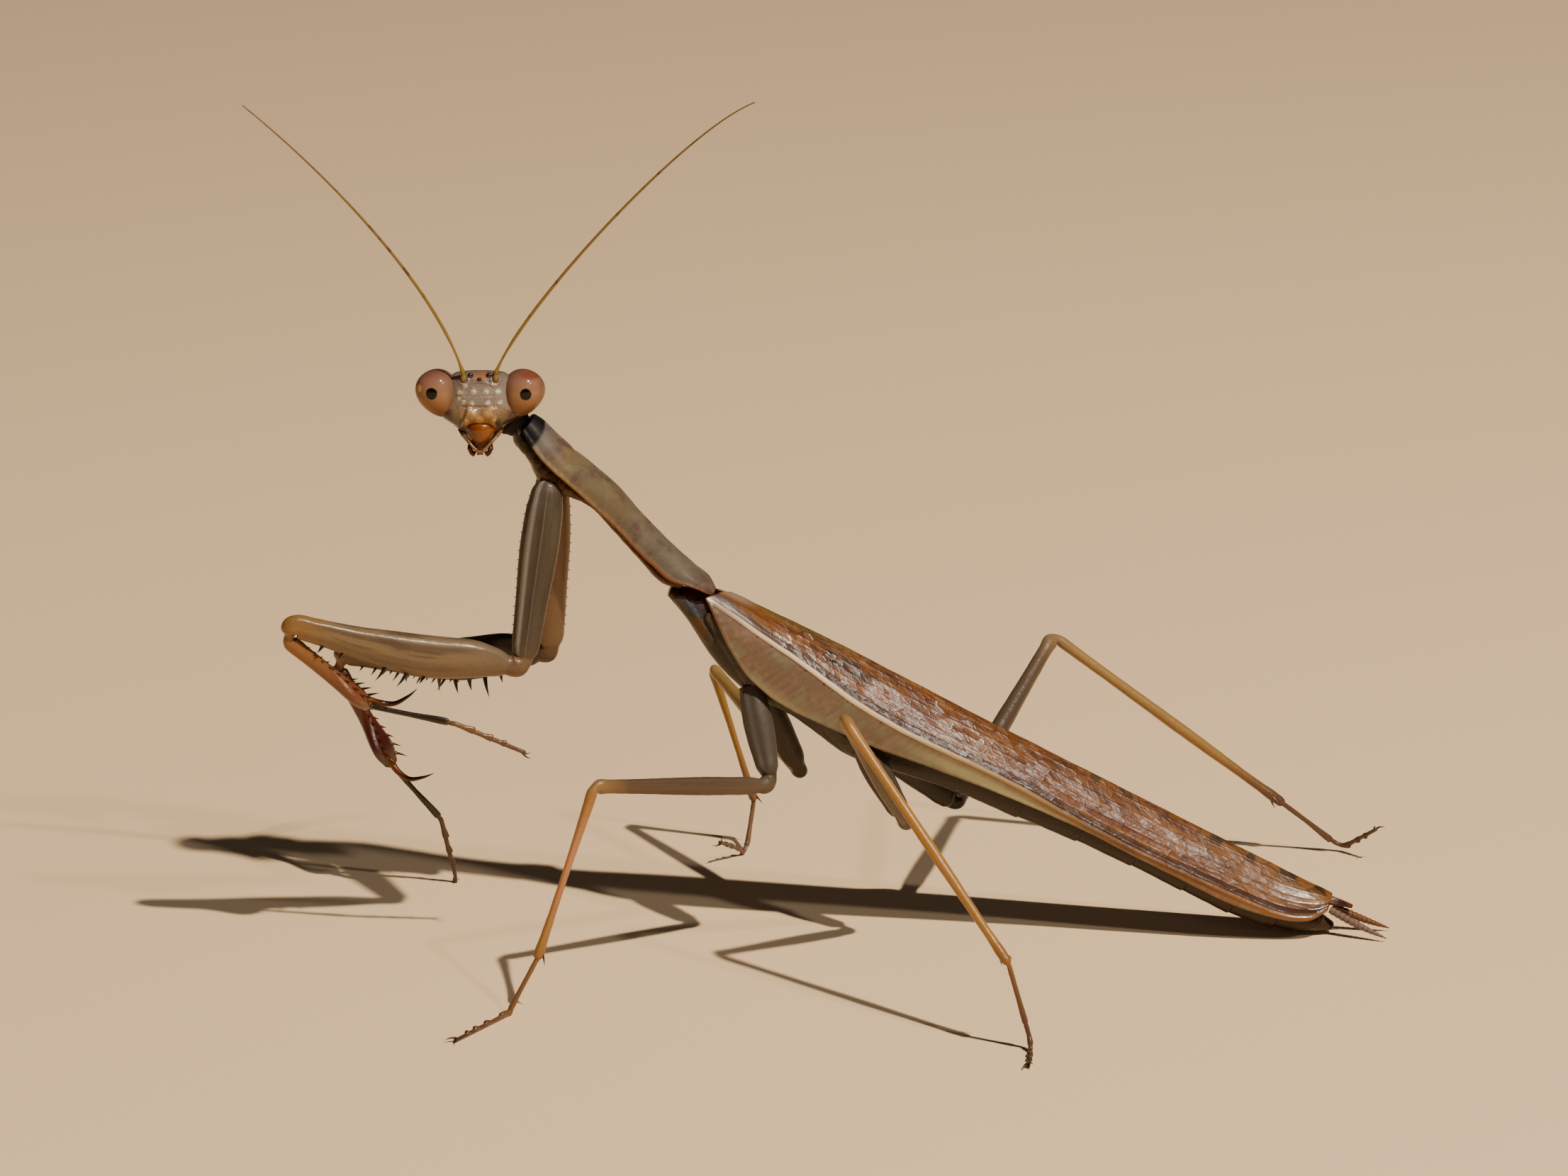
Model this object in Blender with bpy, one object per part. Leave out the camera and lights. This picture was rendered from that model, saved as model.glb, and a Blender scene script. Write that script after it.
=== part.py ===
"""European mantis, an adult standing on the floor with its head turned to its left.

The animal faces -X, its left side faces -Y and +Z is up. The floor is z = 0.
Shapes are worked out in millimetres and put into metres at the end.
"""

import bmesh
import bpy
import numpy as np
from mathutils import Matrix

MM = 0.001
GAP = 0.3
HALF_GAP = GAP / 2
SHARP_ANGLE = np.radians(40)

# The point of the floor under the middle of the animal's box, from the body's midline.
ORIGIN = np.array([3.59, -3.97, 0.0])

# The back of the wings is a straight line: from the wing roots, down to the tail.
BACK_START = np.array([-3.9, 0.0, 24.9])
BACK_SLOPE = np.radians(27.7)
BACK_ALONG = np.array([np.cos(BACK_SLOPE), 0.0, -np.sin(BACK_SLOPE)])
BACK_UP = np.array([np.sin(BACK_SLOPE), 0.0, np.cos(BACK_SLOPE)])

# The pronotum is a second straight line, steeper, from the neck to the wing roots.
PRONOTUM_START = np.array([-17.3, 0.0, 36.8])
PRONOTUM_SLOPE = np.radians(44.8)
PRONOTUM_ALONG = np.array([np.cos(PRONOTUM_SLOPE), 0.0, -np.sin(PRONOTUM_SLOPE)])
PRONOTUM_UP = np.array([np.sin(PRONOTUM_SLOPE), 0.0, np.cos(PRONOTUM_SLOPE)])

# The head looks along -Y, its face tilted a little upwards.
HEAD_CENTRE = np.array([-20.46, -0.9, 39.2])
HEAD_TILT = np.radians(8)
HEAD_SIDE = np.array([1.0, 0.0, 0.0])
HEAD_BACK = np.array([0.0, np.cos(HEAD_TILT), -np.sin(HEAD_TILT)])
HEAD_UP = np.array([0.0, np.sin(HEAD_TILT), np.cos(HEAD_TILT)])

SIDES = {"left": -1.0, "right": 1.0}


def unit(vector):
    """The same direction with length one."""
    vector = np.asarray(vector, float)
    return vector / np.linalg.norm(vector, axis=-1, keepdims=True)


def curve_through(knots, where):
    """Values at `where` of the smooth curve through (position, value) pairs."""
    place = np.array([knot[0] for knot in knots], float)
    value = np.array([knot[1] for knot in knots], float)
    slope = np.gradient(value, place, axis=0)
    where = np.clip(where, place[0], place[-1])
    low = np.clip(np.searchsorted(place, where) - 1, 0, len(place) - 2)
    step = place[low + 1] - place[low]
    part = (where - place[low]) / step
    if value.ndim > 1:
        step = step[:, None]
        part = part[:, None]
    first = (2 * part ** 3 - 3 * part ** 2 + 1) * value[low]
    first_slope = (part ** 3 - 2 * part ** 2 + part) * step * slope[low]
    second = (3 * part ** 2 - 2 * part ** 3) * value[low + 1]
    second_slope = (part ** 3 - part ** 2) * step * slope[low + 1]
    return first + first_slope + second + second_slope


def bezier(start, first, second, end, count):
    """Points on the cubic curve with these four control points."""
    t = np.linspace(0.0, 1.0, count)[:, None]
    points = (1 - t) ** 3 * np.asarray(start) + 3 * t * (1 - t) ** 2 * np.asarray(first)
    return points + 3 * t ** 2 * (1 - t) * np.asarray(second) + t ** 3 * np.asarray(end)


def finish(colour, roughness):
    """A named surface: its base colour and roughness, never metal."""
    return {"colour": colour, "roughness": roughness}


FINISHES = {
    "head": finish((0.34, 0.27, 0.20), 0.45),
    "eye": finish((0.50, 0.22, 0.08), 0.2),
    "mouth": finish((0.48, 0.17, 0.04), 0.35),
    "antenna": finish((0.40, 0.23, 0.04), 0.5),
    "neck": finish((0.05, 0.03, 0.02), 0.6),
    "pronotum": finish((0.24, 0.20, 0.14), 0.5),
    "underside": finish((0.18, 0.11, 0.06), 0.6),
    "thorax": finish((0.17, 0.13, 0.10), 0.55),
    "abdomen": finish((0.10, 0.06, 0.04), 0.55),
    "forewing": finish((0.27, 0.12, 0.04), 0.25),
    "hindwing": finish((0.20, 0.09, 0.04), 0.4),
    "coxa": finish((0.16, 0.12, 0.08), 0.5),
    "fore_femur": finish((0.36, 0.24, 0.11), 0.35),
    "fore_tibia": finish((0.42, 0.10, 0.02), 0.3),
    "femur": finish((0.22, 0.13, 0.07), 0.5),
    "tibia": finish((0.52, 0.26, 0.04), 0.4),
    "tarsus": finish((0.25, 0.11, 0.04), 0.5),
    "cercus": finish((0.30, 0.20, 0.15), 0.6),
}


def material_for(name):
    """The material of a finish, made on its first use."""
    material = bpy.data.materials.get(name)
    if material is None:
        material = bpy.data.materials.new(name)
        material.use_nodes = True
        shader = material.node_tree.nodes["Principled BSDF"]
        shader.inputs["Base Color"].default_value = (*FINISHES[name]["colour"], 1.0)
        shader.inputs["Roughness"].default_value = FINISHES[name]["roughness"]
        shader.inputs["Metallic"].default_value = 0.0
    return material


def new_object(name, points, faces, finish_name):
    """A closed mesh object from points in millimetres, its faces turned outwards."""
    mesh = bpy.data.meshes.new(name)
    mesh.from_pydata(np.asarray(points, float).tolist(), [], faces)
    work = bmesh.new()
    work.from_mesh(mesh)
    bmesh.ops.recalc_face_normals(work, faces=work.faces)
    work.to_mesh(mesh)
    work.free()
    mesh.materials.append(material_for(finish_name))
    item = bpy.data.objects.new(name, mesh)
    bpy.context.scene.collection.objects.link(item)
    return item


def tube_faces(rings, sides):
    """Triangles of a closed tube of `rings` rings with `sides` points each, and its two ends."""
    faces = []
    for ring in range(rings - 1):
        for side in range(sides):
            here = ring * sides + side
            beside = ring * sides + (side + 1) % sides
            faces.append((here, beside, here + sides))
            faces.append((beside, beside + sides, here + sides))
    faces.append(tuple(range(sides)))
    faces.append(tuple(range((rings - 1) * sides, rings * sides)))
    return faces


def tube(name, rings, finish_name):
    """A closed body through an array of rings (ring, point, xyz)."""
    rings = np.asarray(rings, float)
    faces = tube_faces(rings.shape[0], rings.shape[1])
    return new_object(name, rings.reshape(-1, 3), faces, finish_name)


def spike(name, rings, tip, finish_name):
    """A closed tube through an array of rings that ends in a point."""
    rings = np.asarray(rings, float)
    count, sides = rings.shape[:2]
    faces = tube_faces(count, sides)[:-1]
    last = (count - 1) * sides
    faces += [(last + side, last + (side + 1) % sides, count * sides) for side in range(sides)]
    return new_object(name, np.concatenate([rings.reshape(-1, 3), [tip]]), faces, finish_name)


def ball(name, points, low, high, finish_name):
    """A closed body through rings of points between two poles."""
    rows, columns = points.shape[:2]
    faces = tube_faces(rows, columns)[:-2]
    last = (rows - 1) * columns
    for place in range(columns):
        after = (place + 1) % columns
        faces.append((rows * columns, after, place))
        faces.append((rows * columns + 1, last + place, last + after))
    points = np.concatenate([points.reshape(-1, 3), [low, high]])
    return new_object(name, points, faces, finish_name)


def shell(name, outer, inner, finish_name):
    """A closed thin sheet between two grids of points (row, column, xyz), split alike."""
    rows, columns = outer.shape[:2]
    base = rows * columns
    points = np.concatenate([outer.reshape(-1, 3), inner.reshape(-1, 3)])
    faces = []
    for row in range(rows - 1):
        for column in range(columns - 1):
            a = row * columns + column
            b, c, d = a + 1, a + columns + 1, a + columns
            faces += [(a, b, c), (a, c, d)]
            faces += [(base + a, base + c, base + b), (base + a, base + d, base + c)]
    rim = list(range(columns))
    rim += [row * columns + columns - 1 for row in range(1, rows)]
    rim += [(rows - 1) * columns + column for column in range(columns - 2, -1, -1)]
    rim += [row * columns for row in range(rows - 2, 0, -1)]
    for place, here in enumerate(rim):
        after = rim[(place + 1) % len(rim)]
        faces += [(here, base + after, after), (here, base + here, base + after)]
    return new_object(name, points, faces, finish_name)


def keep_largest(item):
    """Drop every closed surface of a mesh but the largest one."""
    work = bmesh.new()
    work.from_mesh(item.data)
    bmesh.ops.remove_doubles(work, verts=work.verts, dist=1e-5)
    left = set(work.faces)
    largest = []
    while left:
        queue = [left.pop()]
        group = list(queue)
        while queue:
            for edge in queue.pop().edges:
                for face in edge.link_faces:
                    if face in left:
                        left.remove(face)
                        queue.append(face)
                        group.append(face)
        if len(group) > len(largest):
            largest = group
    kept = set(largest)
    extra = [face for face in work.faces if face not in kept]
    bmesh.ops.delete(work, geom=extra, context="FACES")
    work.to_mesh(item.data)
    work.free()


def combine(item, pieces, operation):
    """Join closed pieces to an object, or cut them from it, with one Boolean."""
    group = bpy.data.collections.new("pieces")
    bpy.context.scene.collection.children.link(group)
    for piece in pieces:
        bpy.context.scene.collection.objects.unlink(piece)
        group.objects.link(piece)
    modifier = item.modifiers.new("combine", "BOOLEAN")
    modifier.operation = operation
    modifier.operand_type = "COLLECTION"
    modifier.collection = group
    modifier.solver = "EXACT"
    graph = bpy.context.evaluated_depsgraph_get()
    mesh = bpy.data.meshes.new_from_object(item.evaluated_get(graph))
    item.modifiers.clear()
    item.data = mesh
    for piece in pieces:
        bpy.data.objects.remove(piece)
    bpy.data.collections.remove(group)
    keep_largest(item)
    return item


class Line:
    """A centre line through joints, each corner rounded by an arc."""

    STEP = 0.04
    ARC_POINTS = 24

    def __init__(self, joints, radii):
        """Joints in order, and the radius of the arc at each inner one."""
        joints = [np.asarray(joint, float) for joint in joints]
        runs = []
        self.arcs = []
        here = joints[0]
        length = 0.0
        for place in range(1, len(joints) - 1):
            arc = self.arc(joints[place - 1], joints[place], joints[place + 1], radii[place - 1])
            runs += [self.straight(here, arc[0]), arc[:-1]]
            length += np.linalg.norm(arc[0] - here)
            bent = np.linalg.norm(np.diff(arc, axis=0), axis=1).sum()
            self.arcs.append((length, length + bent))
            length += bent
            here = arc[-1]
        runs.append(self.straight(here, joints[-1]))
        runs.append(joints[-1][None, :])
        self.points = np.concatenate(runs)
        steps = np.linalg.norm(np.diff(self.points, axis=0), axis=1)
        self.length = np.concatenate([[0.0], np.cumsum(steps)])
        slope = np.gradient(self.points, self.length, axis=0)
        self.tangents = unit(slope)

    def arc(self, before, corner, after, radius):
        """Points of the arc that touches both runs at a corner."""
        first = unit(corner - before)
        second = unit(after - corner)
        half_turn = np.arccos(np.clip(first @ second, -1.0, 1.0)) / 2
        if half_turn < 1e-4:
            return np.stack([corner - 0.01 * first, corner + 0.01 * first])
        inward = unit(second - first)
        ahead = unit(first + second)
        centre = corner + inward * radius / np.cos(half_turn)
        turn = np.linspace(-half_turn, half_turn, self.ARC_POINTS)[:, None]
        return centre + radius * (np.sin(turn) * ahead - np.cos(turn) * inward)

    def straight(self, start, end):
        """Points from start up to, but not at, end."""
        count = max(2, int(np.linalg.norm(end - start) / self.STEP))
        t = np.linspace(0.0, 1.0, count, endpoint=False)[:, None]
        return start + (end - start) * t

    def at(self, where):
        """Centres and directions at the lengths `where`."""
        where = np.atleast_1d(where)
        centre = np.stack([np.interp(where, self.length, axis) for axis in self.points.T], -1)
        tangent = np.stack([np.interp(where, self.length, axis) for axis in self.tangents.T], -1)
        return centre, unit(tangent)


class Limb:
    """A closed tube with elliptical rings along a stretch of a centre line."""

    RIDGE_SPREAD = 0.3

    def __init__(self, line, start, stop, across, width, height, lift=((0, 0), (1, 0)), ridges=()):
        """Half widths lie along `across`, half heights and lift at right angles to it.

        Ridges are (angle round the limb, rise) pairs: low keels all along its surface.
        """
        self.ridges = ridges
        self.line = line
        self.start = start
        self.stop = stop
        self.across = unit(across)
        self.width = width
        self.height = height
        self.lift = lift

    def frame(self, s):
        """Centre, direction, side and upper directions at the shares `s` of the stretch."""
        s = np.atleast_1d(s)
        centre, tangent = self.line.at(self.start + s * (self.stop - self.start))
        side = self.across - (tangent @ self.across)[:, None] * tangent
        side = unit(side)
        upper = np.cross(tangent, side)
        centre = centre + curve_through(self.lift, s)[:, None] * upper
        return centre, tangent, side, upper

    def rings(self, s, sides, grow=0.0):
        """Rings of points at the shares `s`, each with `sides` points."""
        centre, tangent, side, upper = self.frame(s)
        angle = np.linspace(0.0, 2 * np.pi, sides, endpoint=False)
        width = curve_through(self.width, s) + grow
        height = curve_through(self.height, s) + grow
        swell = np.zeros(sides)
        for ridge, rise in self.ridges:
            turn = (angle - ridge + np.pi) % (2 * np.pi) - np.pi
            swell = swell + rise * np.exp(-(turn / self.RIDGE_SPREAD) ** 2)
        across = ((width[:, None] + swell) * np.cos(angle))[..., None] * side[:, None, :]
        above = ((height[:, None] + swell) * np.sin(angle))[..., None] * upper[:, None, :]
        return centre[:, None, :] + across + above

    def surface(self, s, angle):
        """A point of the surface, the way outwards there and the way along the limb."""
        centre, tangent, side, upper = (part[0] for part in self.frame(s))
        width = curve_through(self.width, np.array([s]))[0]
        height = curve_through(self.height, np.array([s]))[0]
        point = centre + width * np.cos(angle) * side + height * np.sin(angle) * upper
        return point, unit(np.cos(angle) * side + np.sin(angle) * upper), tangent

    def body(self, name, finish_name, count=9, sides=10, grow=0.0):
        """The closed solid, with rings closer together near its two ends."""
        s = (1 - np.cos(np.linspace(0.0, np.pi, count))) / 2
        return tube(name, self.rings(s, sides, grow), finish_name)


SPINE_SINK = 0.35
SPINE_SIDES = 5


def spine(limb, s, angle, length, root, lean, finish_name, sides=SPINE_SIDES):
    """A tapering spine on a limb, its root sunk into it and its tip leaning along it."""
    foot, outward, tangent = limb.surface(s, angle)
    direction = unit(outward + lean * tangent)
    first = unit(np.cross(outward, tangent))
    second = np.cross(direction, first)
    turn = np.linspace(0.0, 2 * np.pi, sides, endpoint=False)[:, None]
    ring = root * (np.cos(turn) * first + np.sin(turn) * second)
    rings = np.stack([foot - SPINE_SINK * outward + ring, foot + ring])
    return spike("spine", rings, foot + length * direction, finish_name)


def bent_tube(points, radii, sides, finish_name, pointed=False):
    """A thin tapering tube on a smooth curve, with an end cap or a point."""
    points = np.asarray(points, float)
    tangent = unit(np.gradient(points, axis=0))
    first = unit(np.cross(tangent, np.array([0.31, 0.87, 0.39])))
    second = np.cross(tangent, first)
    turn = np.linspace(0.0, 2 * np.pi, sides, endpoint=False)[:, None]
    radii = np.asarray(radii, float)[:, None, None]
    rings = points[:, None, :] + radii * (np.cos(turn) * first[:, None, :]
                                          + np.sin(turn) * second[:, None, :])
    if pointed:
        return spike("tube", rings[:-1], points[-1], finish_name)
    return tube("tube", rings, finish_name)


# Joints of each leg. A knee that folds back has two points, and the foot lies on the floor
# where its points say so: the left fore leg is lifted, and the right fore foot's tip rests.
LEGS = {
    "fore": {
        "left": {
            "root": (-15.9, -1.3, 33.1), "coxa": (-17.75, -3.2, 20.3),
            "knee": ((-33.2, -5.4, 24.1), (-33.45, -5.2, 22.85)), "shin": (-28.1, -3.9, 17.8),
            "instep": (-22.25, -4.6, 16.75), "toe": (-17.6, -4.0, 14.5),
        },
        "right": {
            "root": (-15.8, 1.3, 33.1), "coxa": (-16.1, 3.0, 19.5),
            "knee": ((-30.7, 9.6, 17.3), (-31.15, 9.5, 16.2)), "shin": (-27.4, 7.9, 9.6),
            "instep": (-24.1, 9.0, 5.2), "toe": (-23.2, 10.5, 0.28),
        },
    },
    "mid": {
        "left": {
            "root": (-2.3, -1.3, 18.4), "coxa": (-0.85, -3.9, 12.1),
            "knee": ((-12.7, -11.9, 14.75),), "shin": (-16.5, -15.4, 3.8),
            "instep": (-18.35, -16.0, 0.35), "toe": (-21.8, -21.2, 0.22),
        },
        "right": {
            "root": (-2.3, 1.3, 18.4), "coxa": (1.3, 3.2, 10.5),
            "knee": ((-5.1, 15.5, 14.4),), "shin": (-2.15, 18.2, 3.55),
            "instep": (-2.7, 16.6, 0.22), "toe": (-4.6, 14.0, 1.8),
        },
    },
    "hind": {
        "left": {
            "root": (5.4, -1.3, 14.0), "coxa": (8.6, -3.6, 8.9),
            "knee": ((3.9, -13.8, 20.3),), "shin": (14.75, -22.8, 6.15),
            "instep": (16.3, -22.4, 0.5), "toe": (16.0, -25.9, 0.25),
        },
        "right": {
            "root": (5.4, 1.3, 14.0), "coxa": (11.9, 4.5, 7.9),
            "knee": ((19.1, 16.5, 16.4),), "shin": (35.7, 16.6, 3.8),
            "instep": (40.0, 17.1, 0.3), "toe": (42.2, 14.5, 2.6),
        },
    },
}

# Half widths and half heights along each segment, from body to tip.
LEG_SIZES = {
    "fore": {
        "coxa_arc": 0.8, "knee_arc": 0.5, "ankle_arc": 0.6,
        "coxa": (((0, 0.75), (0.12, 0.95), (0.5, 0.95), (0.9, 0.75), (1, 0.65)),
                 ((0, 0.75), (0.12, 1.12), (0.3, 1.3), (0.7, 1.1), (0.9, 0.95), (1, 0.82))),
        "trochanter": (((0, 0.62), (1, 0.65)), ((0, 0.8), (1, 0.82))),
        "femur": (((0, 0.6), (0.15, 0.85), (0.4, 0.95), (0.8, 0.65), (1, 0.5)),
                  ((0, 0.8), (0.1, 1.25), (0.3, 1.57), (0.5, 1.45), (0.7, 1.12), (0.9, 0.88), (1, 0.72))),
        "femur_lift": ((0, 0), (0.1, 0), (0.35, -0.5), (0.6, -0.5), (0.85, -0.2), (1, 0)),
        "tibia": (((0, 0.45), (0.5, 0.42), (1, 0.33)),
                  ((0, 0.58), (0.25, 0.56), (0.7, 0.54), (1, 0.42))),
        "tarsus": 0.27,
    },
    "mid": {
        "coxa_arc": 0.72, "knee_arc": 0.6, "ankle_arc": 0.6,
        "coxa": (((0, 0.7), (0.3, 0.8), (0.8, 0.65), (1, 0.55)),
                 ((0, 0.8), (0.3, 1.0), (0.8, 0.85), (1, 0.6))),
        "trochanter": (((0, 0.52), (1, 0.52)), ((0, 0.6), (1, 0.56))),
        "femur": (((0, 0.5), (0.3, 0.55), (0.9, 0.42), (1, 0.36)),
                  ((0, 0.55), (0.2, 0.62), (0.8, 0.5), (0.95, 0.46), (1, 0.38))),
        "tibia": (((0, 0.36), (0.1, 0.33), (1, 0.29)), ((0, 0.38), (0.1, 0.35), (1, 0.32))),
        "tarsus": 0.25,
    },
    "hind": {
        "coxa_arc": 0.75, "knee_arc": 0.6, "ankle_arc": 0.6,
        "coxa": (((0, 0.75), (0.3, 0.85), (0.8, 0.7), (1, 0.6)),
                 ((0, 0.8), (0.3, 0.95), (0.8, 0.8), (1, 0.65))),
        "trochanter": (((0, 0.55), (1, 0.55)), ((0, 0.6), (1, 0.6))),
        "femur": (((0, 0.52), (0.3, 0.6), (0.9, 0.45), (1, 0.4)),
                  ((0, 0.6), (0.2, 0.68), (0.8, 0.52), (0.95, 0.5), (1, 0.42))),
        "tibia": (((0, 0.38), (0.1, 0.35), (0.6, 0.36), (1, 0.3)),
                  ((0, 0.4), (0.1, 0.38), (0.6, 0.4), (1, 0.33))),
        "tarsus": 0.26,
    },
}

THIGH_AFTER_ARC = 0.35
TOE_ARC = 0.8

# The five joints of a foot end at these shares of its length, the first one longest.
FOOT_JOINTS = (0.5, 0.66, 0.78, 0.87, 1.0)
FOOT_SWELL = 0.06
FOOT_SIDES = 6


def leg_line(leg, side):
    """The centre line of a whole leg, and the lengths where its segments meet."""
    joints = LEGS[leg][side]
    sizes = LEG_SIZES[leg]
    knees = joints["knee"]
    points = [joints["root"], joints["coxa"], *knees, joints["shin"], joints["instep"], joints["toe"]]
    radii = [sizes["coxa_arc"]] + [sizes["knee_arc"]] * len(knees) + [sizes["ankle_arc"], TOE_ARC]
    line = Line(points, radii)
    hip, thigh = line.arcs[0]
    knee = (line.arcs[1][0] + line.arcs[len(knees)][1]) / 2
    ankle = sum(line.arcs[1 + len(knees)]) / 2
    ends = [0.0, hip, thigh + THIGH_AFTER_ARC, knee, ankle, line.length[-1]]
    return line, ends


def leg_plane(leg, side):
    """The direction square to the plane in which the leg bends."""
    joints = LEGS[leg][side]
    start = np.array(joints["coxa"])
    knee = np.array(joints["knee"][0])
    end = np.array(joints["shin"])
    return unit(np.cross(knee - start, end - knee))


def outer_sign(limb, side):
    """Whether the limb's own side direction points away from the body (1) or to it (-1)."""
    return float(np.sign(limb.frame(0.5)[2][0] @ np.array([0.0, SIDES[side], 0.0])))


COXA_RIDGE_TURN = np.radians(35)
COXA_RIDGE_RISE = 0.12


def coxa_limb(leg, side):
    """The first segment of a leg, whose root sits in a socket of the body."""
    line, ends = leg_line(leg, side)
    width, height = LEG_SIZES[leg]["coxa"]
    across = np.array([0.0, SIDES[side], 0.0])
    ridge = SIDES[side] * COXA_RIDGE_TURN
    return Limb(line, ends[0], ends[1] - HALF_GAP, across, width, height,
                ridges=((ridge, COXA_RIDGE_RISE),))


def foot_radius(sizes):
    """Half thickness along a foot: each of its five joints swells towards its end."""
    knots = [(0.0, sizes["tarsus"])]
    start = 0.0
    for end in FOOT_JOINTS[:-1]:
        knots.append((start + 0.8 * (end - start), sizes["tarsus"] + FOOT_SWELL / 2))
        knots.append((end - 0.01, sizes["tarsus"] + FOOT_SWELL))
        knots.append((end + 0.01, sizes["tarsus"] - FOOT_SWELL / 3))
        start = end
    knots.append((1.0, sizes["tarsus"] * 0.8))
    return tuple(knots)


# Spines of a fore leg by rows: (share of the segment, length).
FEMUR_SPINES = {
    "outer": ((0.34, 0.6), (0.42, 1.1), (0.52, 1.05), (0.72, 0.45), (0.815, 0.55)),
    "middle": ((0.19, 0.5), (0.27, 1.25), (0.35, 0.6), (0.42, 0.8)),
    "inner": ((0.38, 0.5), (0.45, 1.0), (0.5, 0.45), (0.57, 0.65), (0.63, 0.4), (0.685, 0.7),
              (0.75, 0.35), (0.8, 0.55), (0.865, 0.35)),
}
# Turn of each row from the middle of the underside, and how its spines lean towards the tip.
FEMUR_ROW_TURN = {"outer": np.radians(38), "middle": np.radians(-12), "inner": np.radians(-40)}
FEMUR_ROW_LEAN = {"outer": 0.35, "middle": -0.05, "inner": 0.3}
FEMUR_SPINE_ROOT = 0.24
TIBIA_ROWS = {"outer": (7, 38), "inner": (9, -38)}
TIBIA_SPINE_ROOT = 0.21
TIBIA_SPINE_LENGTHS = (0.2, 0.8)
TIBIA_SPINE_LEAN = 0.8
# The rows start and end at these shares of the tibia.
TIBIA_SPINE_REACH = (0.2, 0.88)
COXA_TEETH = 6
COXA_TEETH_REACH = (0.34, 0.9)
COXA_TOOTH_LENGTH = 0.2
COXA_TOOTH_ROOT = 0.2
COXA_TOOTH_LEAN = 0.3
COXA_TOOTH_SIDES = 4
# Two spurs stand at the end of a walking leg's tibia.
SPUR_PLACE = 0.93
SPUR_TURN = np.radians(42)
SPUR_LENGTH = 0.8
SPUR_ROOT = 0.22
SPUR_LEAN = 1.6
CLAW_LENGTH = 0.6
CLAW_SPREAD = 0.7
CLAW_HOOK = 0.56
CLAW_SINK = 0.25
CLAW_ASIDE = 0.04
CLAW_SHARES = (0.0, 0.45, 0.8, 1.0)
CLAW_THICKNESS = (0.2, 0.17, 0.1, 0.0)
CLAW_CLEARANCE = 0.06
# The hook at the end of the fore tibia: distances along it, towards the femur and inwards.
HOOK_PATH = ((-0.75, 0.1, 0.15), (-0.1, 0.35, 0.55), (0.7, 0.75, 0.85), (1.5, 1.25, 0.85),
             (1.9, 2.15, 0.65), (2.0, 3.0, 0.4))
HOOK_THICKNESS = (0.3, 0.28, 0.25, 0.2, 0.13, 0.0)
UNDERSIDE = -np.pi / 2


def femur_spines(limb, side):
    """Three rows of spines under a fore femur."""
    sign = outer_sign(limb, side)
    spines = []
    for row, places in FEMUR_SPINES.items():
        angle = UNDERSIDE + sign * FEMUR_ROW_TURN[row]
        for s, length in places:
            spines.append(spine(limb, s, angle, length, FEMUR_SPINE_ROOT, FEMUR_ROW_LEAN[row],
                                "fore_femur"))
    return spines


def tibia_spines(limb, side):
    """Two rows of slanting spines under a fore tibia, longer towards its end, and its hook."""
    sign = outer_sign(limb, side)
    spines = []
    for count, turn in TIBIA_ROWS.values():
        angle = UNDERSIDE + sign * np.radians(turn)
        for share in np.linspace(0.0, 1.0, count):
            length = TIBIA_SPINE_LENGTHS[0] + share ** 1.5 * np.ptp(TIBIA_SPINE_LENGTHS)
            place = TIBIA_SPINE_REACH[0] + share * np.ptp(TIBIA_SPINE_REACH)
            spines.append(spine(limb, place, angle, length, TIBIA_SPINE_ROOT, TIBIA_SPINE_LEAN,
                                "fore_tibia"))
    centre, tangent, across, upper = (part[0] for part in limb.frame(1.0))
    path = [centre + along * tangent - down * upper - inwards * sign * across
            for along, down, inwards in HOOK_PATH]
    spines.append(bent_tube(path, HOOK_THICKNESS, 6, "fore_tibia", pointed=True))
    return spines


def coxa_teeth(limb):
    """Small teeth along the front and rear edges of a fore coxa."""
    return [spine(limb, s, angle, COXA_TOOTH_LENGTH, COXA_TOOTH_ROOT, COXA_TOOTH_LEAN, "coxa",
                  COXA_TOOTH_SIDES)
            for angle in (np.pi / 2, -np.pi / 2)
            for s in np.linspace(*COXA_TEETH_REACH, COXA_TEETH)]


def foot_claws(limb):
    """The two hooked claws at a foot's tip, kept above the floor."""
    centre, tangent, across, upper = (part[0] for part in limb.frame(1.0))
    claws = []
    for sign in (-1.0, 1.0):
        ahead = unit(tangent + sign * CLAW_SPREAD * across)
        start = centre - CLAW_SINK * tangent + sign * CLAW_ASIDE * across
        share = np.array(CLAW_SHARES)[:, None]
        hook = CLAW_HOOK * share * (1 - share) * upper
        path = start + share * (CLAW_SINK + CLAW_LENGTH) * ahead + hook
        path[:, 2] = np.maximum(path[:, 2], CLAW_CLEARANCE + np.array(CLAW_THICKNESS))
        claws.append(bent_tube(path, CLAW_THICKNESS, 5, "tarsus", pointed=True))
    return claws


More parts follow.
